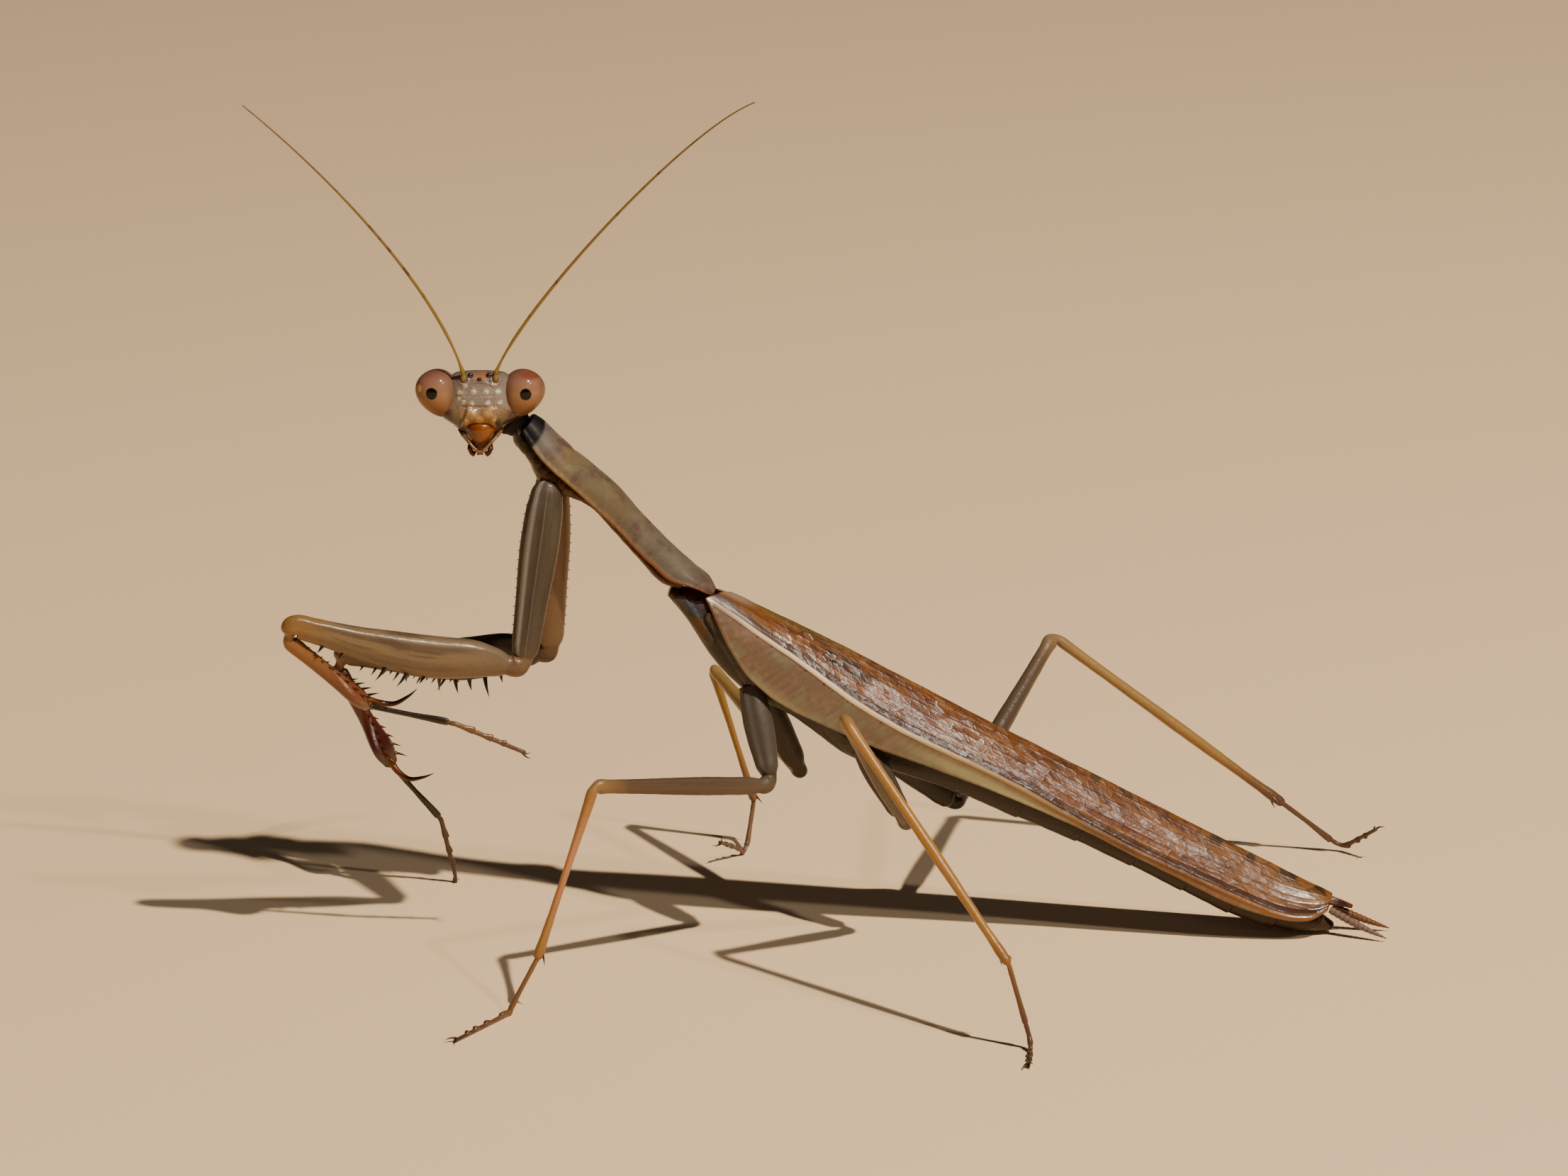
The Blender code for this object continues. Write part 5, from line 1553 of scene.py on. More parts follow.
@dataclass(frozen=True)
class TrunkShape:
    """The trunk under the wings: heights of its top and bottom and its half width at lengths."""

    top: Knots = ((-3.4, -1.5), (-2.2, -1.05), (-0.9, -0.7), (0.2, -0.9), (1.4, -1.2), (2.6, -1.7),
                  (15, -1.7),
                  (40, -1.8), (45, -1.8), (47.2, -1.7), (48.4, -1.9))
    bottom: Knots = ((-3.4, -2.2), (-1.4, -3.1), (-0.2, -3.83), (1.1, -4.58), (4.4, -5.72), (8.3, -5.85),
                     (10.5, -6.25), (12.5, -6.6), (15, -6.35), (19.2, -5.6), (24.4, -5.2), (29.4, -4.8),
                     (34.8, -4.6), (39.7, -4.55), (42.1, -4.48), (44.4, -4.1), (46.5, -3.4), (48.4, -2.3))
    half_width: Knots = ((-3.4, 0.8), (-1.4, 1.25), (0.2, 1.4), (3, 1.7), (8, 1.85), (13, 1.85), (16, 1.75),
                         (24, 1.7), (32, 1.5), (40, 1.35), (45, 1.1), (47, 0.85), (48.4, 0.35))
    segments: tuple[float, ...] = (15.4, 20.6, 25.2, 29.6, 33.8, 37.8, 41.4, 44.6, 48.4)
    # Plates of the thorax's side: start and end (length, height), half width and rise.
    plates: tuple[tuple[tuple[float, float], tuple[float, float], float, float], ...] = (
        ((-2.6, -1.8), (0.4, -3.3), 0.5, 0.22), ((-0.3, -1.9), (4.6, -4.9), 0.42, 0.3),
        ((3.2, -3.0), (7.6, -5.3), 0.5, 0.12), ((7.8, -4.2), (13.6, -6.0), 0.55, 0.18))


@dataclass(frozen=True)
class Trunk:
    """The thorax behind the shield and the abdomen, as one skin.

    Args:
        shape: its sizes.
    """

    shape: TrunkShape = TrunkShape()

    def plates(self, t: Array, up: Array) -> Array:
        """How far the side plates stand out: each is a rounded bar along a slanting line.

        Args:
            t: lengths along the back line.
            up: heights above it.

        Returns:
            Heights in mm.
        """
        total = np.zeros(np.broadcast(t, up).shape)
        for start, end, half, rise in self.shape.plates:
            first, way = np.array(start), np.array(end) - np.array(start)
            share = np.clip(((t - first[0]) * way[0] + (up - first[1]) * way[1]) / (way @ way), 0.0, 1.0)
            away = np.hypot(t - first[0] - share * way[0], up - first[1] - share * way[1])
            total = np.maximum(total, rise * step(half, half * 0.55, away))
        return total

    def build(self) -> None:
        """Make the trunk: squarish ovals, raised side plates, and abdominal rings like tiles."""
        shape = self.shape
        t = np.linspace(-3.4, 48.4, 720)[:, None]
        turn = turns(96)[None, :]
        top, bottom = curve_through(shape.top, t), curve_through(shape.bottom, t)
        width = curve_through(shape.half_width, t)
        cos = squarish(np.cos(turn), 0.85)
        side = width * cos
        up = (top + bottom) / 2 + (top - bottom) / 2 * np.sin(turn)
        rings = BACK.point(t, side, up)
        out = unit(rings - rings.mean(axis=1, keepdims=True))
        starts = np.array(shape.segments)
        place = np.clip(np.searchsorted(starts, t) - 1, 0, len(starts) - 2)
        share = np.clip((t - starts[place]) / (starts[place + 1] - starts[place]), 0.0, 1.0)
        tile = (0.1 * share - 0.1 * step(0.97, 1.0, share) - 0.03) * step(15.2, 15.8, t)
        rise = tile + 0.02 * ripple(rings, 2.3, 1.7) + self.plates(t, up) * np.abs(cos)
        rings = rings + rise[..., None] * out
        skin = Skin().tube(rings, t, np.sin(turn), share * (t > 15.4) + 2.0 * self.plates(t, up))
        skin.build("trunk_skin", [self.dress()], "thorax", ["mesothorax", "metathorax", "abdomen"])

    def dress(self) -> bpy.types.Material:
        """The trunk's finish: grey-brown thorax plates and a dark brown abdomen with darker ring ends.

        Returns:
            The material.
        """
        shader = Shader("trunk")
        t, tint = shader.channel("along"), shader.channel("tint")
        colour = shader.ramp(t, ((-3.4, (0.20, 0.13, 0.10)), (-1.0, (0.15, 0.12, 0.10)),
                                 (3.0, (0.12, 0.09, 0.06)), (9.0, (0.13, 0.105, 0.08)),
                                 (14.5, (0.10, 0.075, 0.055)), (17.0, (0.075, 0.045, 0.03)),
                                 (35.0, (0.085, 0.05, 0.035)), (44.0, (0.11, 0.055, 0.035)),
                                 (48.4, (0.15, 0.075, 0.05))), -3.5, 48.5)
        plate = shader.times(shader.fade(tint, 0.12, 0.5), shader.fade(t, 14.0, 12.0))
        colour = shader.mix(colour, (0.23, 0.185, 0.14), plate)
        ring = shader.times(shader.fade(tint, 0.93, 0.985), shader.fade(t, 16.0, 17.0))
        colour = shader.mix(colour, (0.025, 0.012, 0.01), ring)
        clouds = shader.times(shader.fade(shader.noise(1.7, 5.0), 0.5, 0.68), 0.6)
        colour = shader.mix(colour, (0.05, 0.03, 0.02), clouds)
        high = shader.channel("around")
        joint = shader.times(shader.fade(t, 1.6, 0.6), shader.fade(high, 0.15, 0.6))
        # Painted glints: the joint behind the shield is mottled black, red-brown and pale pink, the pale pink
        # spots standing for glints on its membranes.
        skin = shader.ramp(shader.noise(1.5, 3.0), ((0.35, (0.05, 0.012, 0.006)), (0.5, (0.30, 0.10, 0.04)),
                                                   (0.62, (0.10, 0.03, 0.015)), (0.7, (0.55, 0.30, 0.20))))
        colour = shader.mix(colour, skin, joint)
        cheek = shader.times(shader.spot(t, high, (-1.6, 0.1), (0.8, 0.35)), 0.8)
        colour = shader.mix(colour, (0.14, 0.15, 0.20), cheek)
        amber = shader.times(shader.spot(t, high, (-0.6, -0.45), (0.7, 0.3)), 0.8)
        colour = shader.mix(colour, (0.42, 0.20, 0.08), amber)
        relief = shader.relief((shader.noise(4.0, 4.0), 0.5, 0.12), (shader.noise(17.0, 2.0), 0.4, 0.03))
        return shader.done(colour, 0.45, relief, 0.12, 0.3, depth=0.24)


@dataclass(frozen=True)
class CercusShape:
    """A short jointed feeler of the tail."""

    root: Place
    tip: Place
    colour: Colour
    joints: int = 12
    thickness: Knots = ((0.0, 0.26), (0.3, 0.28), (0.6, 0.23), (0.85, 0.13), (1.0, 0.03))


CERCI: dict[Side, CercusShape] = {
    Side.LEFT: CercusShape((37.7, -0.6, 1.95), (41.55, -1.9, 0.3), (0.36, 0.26, 0.22)),
    Side.RIGHT: CercusShape((38.0, 0.5, 1.8), (41.95, 0.35, 0.25), (0.30, 0.15, 0.08)),
}


@dataclass(frozen=True)
class Cercus:
    """One of the two short feelers of the tail.

    Args:
        side: which side of the animal it is on.
        shape: its sizes.
    """

    side: Side
    shape: CercusShape

    def build(self) -> None:
        """Make the feeler: a tapering tube that swells at the end of each joint."""
        start, end = np.array(self.shape.root), np.array(self.shape.tip)
        middle = (start + end) / 2 + np.array([0.0, 0.0, -0.08])
        points = resample(np.stack([start, middle, end]), 160)
        share = np.linspace(0.0, 1.0, 160)
        joint = (share * self.shape.joints) % 1.0
        radius = curve_through(self.shape.thickness,
                               share) * (0.86 + 0.22 * joint**1.5 * step(1.0, 0.93, joint))
        skin = Skin().tube(round_tube(points, radius, 20), share[:, None], 0.0, joint[:, None])
        skin.build(f"cercus_{self.side.word}_rings", [self.dress()], "cercus", [f"cercus_{self.side.word}"])

    def dress(self) -> bpy.types.Material:
        """The feeler's finish: greyish pink joints parted by dark rings.

        Returns:
            The material.
        """
        shader = Shader(f"cercus_{self.side.word}")
        dark = shader.fade(shader.channel("tint"), 0.25, 0.05)
        colour = shader.mix(self.shape.colour, (0.08, 0.04, 0.03), dark)
        return shader.done(colour, 0.5, shader.relief((shader.noise(12.0, 2.0), 0.5, 0.04)))


# The wings.


@dataclass(frozen=True)
class WingShape:
    """A wing's arch over the back: half width, depth, free edge and stripe at lengths."""

    half_width: Knots = ((0, 2.3), (5, 2.65), (10, 2.75), (20, 2.65), (30, 2.45), (40, 2.25), (47.2, 2.0))
    depth: Knots = ((0, 4.6), (5, 4.95), (10, 4.95), (14, 4.65), (19, 4.05), (28, 3.45), (36, 3.45),
                    (47.2, 3.4))
    edge: Knots = ((0, 0.8), (0.5, 1.2), (1, 1.65), (1.8, 2.45), (2.8, 3.35), (3.6, 3.95), (5.4, 4.6),
                   (7.6, 4.85),
                   (9.5, 4.8), (13.9, 4.55), (19.2, 3.93), (27.7, 3.3), (36.4, 3.35), (41.3, 3.3), (44, 2.9),
                   (45.6, 2.4), (46.6, 1.75), (47.2, 0.95))
    stripe: Knots = ((0, 0.8), (3.3, 1.29), (5.9, 1.6), (8.7, 2.0), (11.2, 2.4), (14, 2.6), (24, 2.6),
                     (27.5, 2.8),
                     (34, 2.95), (40, 2.8), (47.2, 2.5))
    crest: Knots = ((0, 0), (4, 0.08), (8, 0.15), (12, 0.12), (18, 0.03), (26, 0), (47.2, 0))
    length: float = 47.2
    thickness: float = 0.14
    veins: tuple[float, ...] = (0.16, 0.38, 0.55, 0.68, 0.82, 0.93)
    vein_rise: float = 0.016
    vein_spread: float = 0.05
    flatness: float = 0.7

    def angle_at(self, t: Array, below: Array) -> Array:
        """The angle down the arch at which it lies this far below the back line.

        Args:
            t: lengths along the wing.
            below: distances below the back line.

        Returns:
            Angles in radians.
        """
        drop = below + curve_through(self.crest, t)
        return np.arccos(np.clip(1 - drop / curve_through(self.depth, t), -1.0, 1.0))

    def point(self, sign: float, t: Array, angle: Array, inset: Array | float) -> Array:
        """Places on the arch: a quarter oval from the back line to the side, flattened above the stripe.

        Between the back line and the stripe the oval is drawn towards its chord, like a roof.

        Args:
            sign: the side's sign of Y.
            t: lengths along the wing.
            angle: angles down the arch, below nought past the middle.
            inset: how far under the outer surface they lie.

        Returns:
            An array of points.
        """
        half, depth = curve_through(self.half_width, t) - inset, curve_through(self.depth, t) - inset
        fold = self.angle_at(t, curve_through(self.stripe, t))
        flat = self.flatness * (np.abs(angle) < fold) * step(0.0, 4.0, t) * step(47.2, 43.0, t)
        share = angle / fold
        side = np.sin(angle) + flat * (share * np.sin(fold) - np.sin(angle))
        drop = 1 - np.cos(angle)
        drop = drop + flat * (np.abs(share) * (1 - np.cos(fold)) - drop)
        return BACK.point(t, sign * half * side, curve_through(self.crest, t) - inset - depth * drop)


@dataclass(frozen=True)
class Forewing:
    """One leathery forewing; the left one lies over the right one along the back.

    Args:
        side: which side of the animal it is on.
        shape: its sizes.
        rows: points along it.
        columns: points across it.
    """

    side: Side
    shape: WingShape = WingShape()
    rows: int = 440
    columns: int = 110

    def build(self) -> None:
        """Make the wing: an arched sheet with lengthwise veins raised in its outer surface."""
        shape, sign = self.shape, self.side.value
        over = self.side is Side.LEFT
        t = np.linspace(0.0, shape.length, self.rows)[:, None]
        edge = shape.angle_at(t, curve_through(shape.edge, t))
        stripe = np.minimum(shape.angle_at(t, curve_through(shape.stripe, t)), edge * 0.93)
        past = 0.3 * step(0.0, 3.0, t) * step(47.2, 44.0, t) if over else 0.0 * t
        share = np.linspace(0.0, 1.0, self.columns)[None, :]
        angle = -past + (edge + past) * share
        girth = curve_through(shape.half_width, t) * 1.15
        arc = angle * girth
        below_stripe = (angle - stripe) * girth
        rise = np.zeros_like(arc)
        for vein in shape.veins:
            rise += shape.vein_rise * bell(arc, stripe * vein * girth,
                                           shape.vein_spread) * step(-2.0, 12.0, t)
        rise += 4.0 * shape.vein_rise * bell(below_stripe, 0.0, 0.1)
        rise += 4.0 * shape.vein_rise * bell(arc, edge * girth - 0.08, 0.08)
        slant = np.sin(11.0 * t + 9.0 * below_stripe) * step(0.1, 0.4, below_stripe)
        rise += 0.012 * slant
        rise = rise * step(0.0, 1.0, t)
        gap = 0.0 if over else 0.2
        surface = shape.point(sign, t, angle, gap - rise)
        surface = surface + 0.03 * ripple(surface, 4.5, 0.3)[..., None] * BACK.up
        inner = shape.point(sign, t, angle, gap + shape.thickness)
        forward = (0.4 - 1.6 * np.clip(angle / edge, 0.0, 1.0)) * step(5.0, 0.0, t)
        surface = surface + forward[..., None] * BACK.along
        inner = inner + forward[..., None] * BACK.along
        skin = Skin().sheet(surface, inner, t, arc, below_stripe, turn=not over)
        skin.build(f"forewing_{self.side.word}_leather", [self.dress()], "forewing",
                   [f"forewing_{self.side.word}"])

    def dress(self) -> bpy.types.Material:
        """The wing's finish: glossy copper brown with a net of veins, a cream stripe, a pale outer field and
        a painted glint at its root.

        Returns:
            The material.
        """
        shader = Shader(f"forewing_{self.side.word}")
        t, arc, tint = (shader.channel(name) for name in Skin.CHANNELS)
        streaks = shader.noise(1.0, 5.0, 0.62, shader.vector(
            shader.times(t, 0.22), shader.minus(shader.times(arc, 1.4),
                                                            shader.times(t, 0.1))))
        colour = shader.ramp(streaks, ((0.3, (0.62, 0.25, 0.065)), (0.46, (0.46, 0.165, 0.04)),
                                       (0.58, (0.28, 0.09, 0.022)), (0.7, (0.15, 0.048, 0.014))))
        colour = shader.mix(colour, (0.58, 0.26, 0.08), shader.fade(t, 34.0, 44.0), 0.6)
        crest = shader.times(shader.fade(arc, 0.8, 0.2), shader.fade(t, 14.0, 6.0))
        colour = shader.mix(colour, (0.34, 0.24, 0.07), crest, 0.7)
        # Painted glint: the crest's root is painted pale tan where a glint shows.
        root = shader.times(shader.fade(arc, 1.0, 0.5), shader.fade(t, 2.6, 0.8))
        colour = shader.mix(colour, (0.75, 0.55, 0.36), root, 0.8)
        blot = shader.times(shader.spot(t, arc, (9.5, 1.35), (2.6, 0.5)), shader.fade(
            shader.noise(1.4, 3.0), 0.35, 0.6))
        colour = shader.mix(colour, (0.03, 0.016, 0.008), blot, 0.9)
        spots = shader.times(shader.fade(shader.noise(0.55, 3.0), 0.53, 0.62), shader.fade(t, 22.0, 30.0))
        spots = shader.times(spots, shader.fade(arc, 1.3, 0.4))
        colour = shader.mix(colour, (0.04, 0.035, 0.012), spots, 0.8)
        slant = shader.minus(t, shader.times(arc, 0.9))
        sparse = shader.times(slant, 0.018)
        mesh = shader.vector(shader.times(slant, shader.minus(2.1, sparse)),
                             shader.times(arc, shader.minus(2.9, sparse)))
        net = shader.cells(1.0, mesh, 0.8)
        inside = shader.times(shader.fade(tint, -0.15, -0.3), shader.fade(t, 2.0, 6.0))
        line = shader.times(shader.fade(net, 0.07, 0.03), inside)
        colour = shader.mix(colour, (0.08, 0.026, 0.010), line, 0.5)
        dark_line = shader.band(tint, -0.40, 0.2, 0.16)
        colour = shader.mix(colour, (0.10, 0.032, 0.011), dark_line, 0.9)
        outer = shader.ramp(t, ((0.0, (0.32, 0.15, 0.08)), (2.5, (0.42, 0.26, 0.15)),
                                (6.0, (0.40, 0.26, 0.17)), (12.0, (0.42, 0.29, 0.18)),
                                (20.0, (0.44, 0.31, 0.16)), (28.0, (0.52, 0.31, 0.13)),
                                (36.0, (0.46, 0.22, 0.08)), (47.2, (0.50, 0.24, 0.09))), 0.0, 47.5)
        hazes = shader.noise(0.7, 3.0)
        outer = shader.mix(outer, (0.46, 0.42, 0.24), shader.fade(hazes, 0.5, 0.66), 0.7)
        outer = shader.mix(outer, (0.62, 0.36, 0.26), shader.fade(hazes, 0.48, 0.34), 0.5)
        rays = shader.noise(1.0, 3.0, 0.6, shader.vector(
            shader.plus(shader.times(t, 4.2), shader.times(tint, 3.6)),
            shader.times(tint, 0.3)))
        outer = shader.mix(outer, (0.26, 0.14, 0.08), shader.fade(rays, 0.5, 0.7), 0.25)
        rim = shader.times(shader.fade(tint, 1.5, 2.1), shader.fade(t, 24.0, 16.0))
        outer = shader.mix(outer, (0.70, 0.55, 0.30), rim, 0.75)
        lower = shader.times(shader.band(tint, 0.62, 0.22, 0.3), shader.fade(t, 14.0, 20.0))
        outer = shader.mix(outer, (0.86, 0.74, 0.36), shader.times(lower, shader.fade(t, 36.0, 28.0)), 0.8)
        colour = shader.tone(shader.mix(colour, outer, shader.fade(tint, 0.12, 0.26)), 0.36, 1.05)
        cream = shader.ramp(t, ((0.0, (0.22, 0.13, 0.08)), (2.5, (0.62, 0.50, 0.36)),
                                (8.0, (0.78, 0.66, 0.46)), (14.0, (0.62, 0.50, 0.31)),
                                (20.0, (0.40, 0.28, 0.13)), (28.0, (0.20, 0.105, 0.04)),
                                (36.0, (0.10, 0.05, 0.02))), 0.0, 47.5)
        stripe = shader.band(tint, -0.01, 0.13, 0.09)
        colour = shader.mix(colour, cream, stripe, shader.fade(t, 38.0, 26.0))
        pits = shader.times(shader.band(tint, 0.2, 0.05, 0.08), shader.fade(
            shader.noise(1.0, 2.0, 0.5, shader.vector(shader.times(t, 2.6), 0.0)), 0.56, 0.64))
        colour = shader.mix(colour, (0.06, 0.035, 0.02), pits, shader.fade(t, 20.0, 14.0))
        rim_lines = shader.times(shader.fade(shader.maths("SINE", shader.times(tint, 26.0)), 0.2, 0.8),
                                 shader.fade(t, 30.0, 40.0))
        colour = shader.mix(colour, (0.16, 0.075, 0.03),
                            shader.times(rim_lines, shader.fade(tint, 0.1, 0.3)), 0.5)
        rough = shader.mix((0.55,) * 3, (0.6,) * 3, shader.fade(tint, -0.2, 0.3))
        waves = shader.noise(1.3, 2.0, 0.5, shader.vector(shader.times(slant, 0.8), arc))
        facets = shader.times(shader.facets(1.0, mesh, 0.8, (0.1, 0.15)), inside)
        borders = shader.times(shader.fade(net, 0.12, 0.02), inside)
        relief = shader.relief((facets, 1.0, 0.045), (borders, 0.25, 0.014), (waves, 0.4, 0.1),
                               (rays, 0.2, 0.04))
        shader.feed(shader.surface.inputs["Coat Normal"], relief)
        return shader.done(colour, rough, relief, 0.85, 0.25, shine=0.1, depth=1.0, richness=1.0)


@dataclass(frozen=True)
class Hindwing:
    """One folded hind wing, a narrow pad under its forewing with a pointed tip.

    Args:
        side: which side of the animal it is on.
        shape: the arch that it lies under.
        start: where along the wing it starts.
        end: where its tip is.
        spread: how far down the arch it reaches, as angles at lengths.
        inset: how far under the forewing it lies at lengths.
    """

    side: Side
    shape: WingShape = WingShape()
    start: float = 2.9
    end: float = 48.9
    spread: Knots = ((2.9, 0.3), (6, 0.42), (40, 0.42), (45, 0.42), (47.2, 0.36), (48.9, 0.02))
    inset: Knots = ((2.9, 0.75), (44, 0.75), (46.5, 0.4), (47.4, 0.22), (48.9, 0.1))

    def build(self) -> None:
        """Make the pad: an arched strip with lengthwise pleats."""
        t = np.linspace(self.start, self.end, 240)[:, None]
        share = np.linspace(0.0, 1.0, 30)[None, :]
        angle = 0.04 + curve_through(self.spread, t) * share
        pleats = 0.06 * np.abs(np.sin(share * math.pi * 4.0))
        inset = curve_through(self.inset, t)
        outer = self.shape.point(self.side.value, t, angle, inset + pleats)
        inner = self.shape.point(self.side.value, t, angle, inset + 0.25)
        skin = Skin().sheet(outer, inner, t, share, 0.0, turn=self.side is Side.RIGHT)
        skin.build(f"hindwing_{self.side.word}_pad", [HINDWING.make()], "hindwing",
                   [f"hindwing_{self.side.word}"])


HINDWING = Cuticle("hindwing", (0.20, 0.07, 0.03), (0.07, 0.02, 0.012), 0.35, 1.2, 0.2)


# The legs.



@dataclass(frozen=True)
class LegJoints:
    """The joints of one leg from the body to the toe."""

    root: Place
    coxa: Place
    knee: tuple[Place, ...]
    shin: Place
    instep: Place
    toe: Place


@dataclass(frozen=True)
class LegSizes:
    """Half widths and half heights along each segment of a leg, and the arcs at its joints."""

    coxa_arc: float
    knee_arc: float
    ankle_arc: float
    coxa: tuple[Knots, Knots]
    trochanter: tuple[Knots, Knots]
    femur: tuple[Knots, Knots]
    tibia: tuple[Knots, Knots]
    foot: float
    lift: Knots = ((0, 0), (1, 0))


JOINTS: dict[Pair, dict[Side, LegJoints]] = {
    Pair.FORE: {
        Side.LEFT: LegJoints((-15.9, -1.3, 33.1), (-17.75, -3.2, 20.3),
                             ((-33.2, -5.4, 24.1), (-33.45, -5.2, 22.85)),
                             (-28.1, -3.9, 17.8), (-22.25, -4.6, 16.75), (-17.6, -4.0, 14.5)),
        Side.RIGHT: LegJoints((-15.8, 1.3, 33.1), (-16.1, 3.0, 19.5),
                              ((-30.7, 9.6, 17.3), (-31.15, 9.5, 16.2)),
                              (-27.4, 7.9, 9.6), (-24.1, 9.0, 5.2), (-23.2, 10.5, 0.28)),
    },
    Pair.MID: {
        Side.LEFT: LegJoints((-2.3, -1.3, 18.4), (-0.85, -3.9, 12.1), ((-12.7, -11.9, 14.75),),
                             (-16.5, -15.4, 3.8),
                             (-18.35, -16.0, 0.35), (-21.8, -21.2, 0.22)),
        Side.RIGHT: LegJoints((-2.3, 1.3, 18.4), (1.3, 3.2, 10.5), ((-5.1, 15.5, 14.4),), (-2.15, 18.2, 3.55),
                              (-2.7, 16.6, 0.22), (-4.6, 14.0, 1.8)),
    },
    Pair.HIND: {
        Side.LEFT: LegJoints((5.4, -1.3, 14.0), (8.6, -3.6, 8.9), ((3.9, -13.8, 20.3),), (14.75, -22.8, 6.15),
                             (16.3, -22.4, 0.5), (16.0, -25.9, 0.25)),
        Side.RIGHT: LegJoints((5.4, 1.3, 14.0), (11.9, 4.5, 7.9), ((19.1, 16.5, 16.4),), (35.7, 16.6, 3.8),
                              (40.0, 17.1, 0.3), (42.2, 14.5, 2.6)),
    },
}

SIZES: dict[Pair, LegSizes] = {
    Pair.FORE: LegSizes(
        0.8, 0.5, 0.6,
        (((0, 0.3), (0.012, 0.58), (0.04, 0.8), (0.12, 0.97), (0.5, 0.95), (0.9, 0.75), (0.97, 0.68),
         (1, 0.6)),
         ((0, 0.3), (0.012, 0.62), (0.04, 0.9), (0.12, 1.16), (0.3, 1.32), (0.7, 1.12), (0.9, 0.98),
          (0.96, 0.92),
          (1, 0.75))),
        (((0, 0.58), (0.5, 0.66), (1, 0.6)), ((0, 0.7), (0.5, 0.84), (1, 0.74))),
        (((0, 0.6), (0.15, 0.85), (0.4, 0.95), (0.8, 0.66), (0.94, 0.62), (1, 0.5)),
         ((0, 0.78), (0.1, 1.25), (0.3, 1.57), (0.5, 1.45), (0.7, 1.12), (0.88, 0.9), (0.95, 0.84),
          (1, 0.6))),
        (((0, 0.42), (0.1, 0.45), (0.5, 0.42), (1, 0.33)),
         ((0, 0.48), (0.12, 0.57), (0.25, 0.54), (0.7, 0.54), (0.95, 0.46), (1, 0.38))),
        0.2, ((0, 0), (0.1, 0), (0.35, -0.5), (0.6, -0.5), (0.85, -0.2), (1, 0))),
    Pair.MID: LegSizes(
        0.72, 0.6, 0.6,
        (((0, 0.7), (0.3, 0.8), (0.8, 0.65), (0.94, 0.62), (1, 0.5)),
         ((0, 0.8), (0.3, 1.0), (0.8, 0.85), (0.94, 0.72), (1, 0.55))),
        (((0, 0.48), (0.5, 0.54), (1, 0.48)), ((0, 0.54), (0.5, 0.62), (1, 0.52))),
        (((0, 0.48), (0.3, 0.55), (0.9, 0.42), (0.97, 0.42), (1, 0.34)),
         ((0, 0.53), (0.2, 0.62), (0.8, 0.5), (0.93, 0.48), (0.98, 0.5), (1, 0.38))),
        (((0, 0.33), (0.03, 0.36), (0.1, 0.33), (0.9, 0.28), (0.97, 0.31), (1, 0.26)),
         ((0, 0.34), (0.03, 0.38), (0.1, 0.35), (0.9, 0.3), (0.97, 0.34), (1, 0.28))),
        0.18),
    Pair.HIND: LegSizes(
        0.75, 0.6, 0.6,
        (((0, 0.75), (0.3, 0.85), (0.8, 0.7), (0.94, 0.66), (1, 0.55)),
         ((0, 0.8), (0.3, 0.95), (0.8, 0.8), (0.94, 0.72), (1, 0.58))),
        (((0, 0.5), (0.5, 0.57), (1, 0.5)), ((0, 0.55), (0.5, 0.62), (1, 0.56))),
        (((0, 0.5), (0.3, 0.6), (0.9, 0.45), (0.97, 0.45), (1, 0.36)),
         ((0, 0.57), (0.2, 0.68), (0.8, 0.52), (0.93, 0.5), (0.98, 0.53), (1, 0.4))),
        (((0, 0.35), (0.03, 0.38), (0.1, 0.35), (0.6, 0.36), (0.9, 0.3), (0.97, 0.34), (1, 0.27)),
         ((0, 0.36), (0.03, 0.4), (0.1, 0.38), (0.6, 0.4), (0.9, 0.33), (0.97, 0.37), (1, 0.29))),
        0.19),
}


@dataclass(frozen=True)
class FootShape:
    """The five joints of a foot, as shares of its length, and its claws."""

    ends: tuple[float, ...] = (0.5, 0.66, 0.78, 0.87, 1.0)
    swell: float = 0.22
    pad: float = 0.1
    claw: float = 0.62


@dataclass(frozen=True)
class SpineRow:
    """A row of spines on a leg's segment.

    Args:
        segment: the number of the segment from the body.
        finish: the finish's number.
        turn: its angle from the middle of the underside, outwards, in degrees.
        lean: how far its spines lean towards the segment's tip.
        places: (share of the segment, length) pairs.
        root: the spines' half thickness at the root.
    """

    segment: int
    finish: int
    turn: float
    lean: float
    places: tuple[tuple[float, float], ...]
    root: float


# Numbers of a leg's segments from the body, and of the finishes of its points.
COXA, FEMUR, TIBIA = 0, 2, 3
CLAW_FINISH, SPINE_FINISH, POINT_FINISH = 0, 1, 2
# The place in its finish's colours at which a coxa tooth stays all along.
TOOTH_TONE = 0.3
SPINE_RINGS, HOOK_RINGS = 12, 60

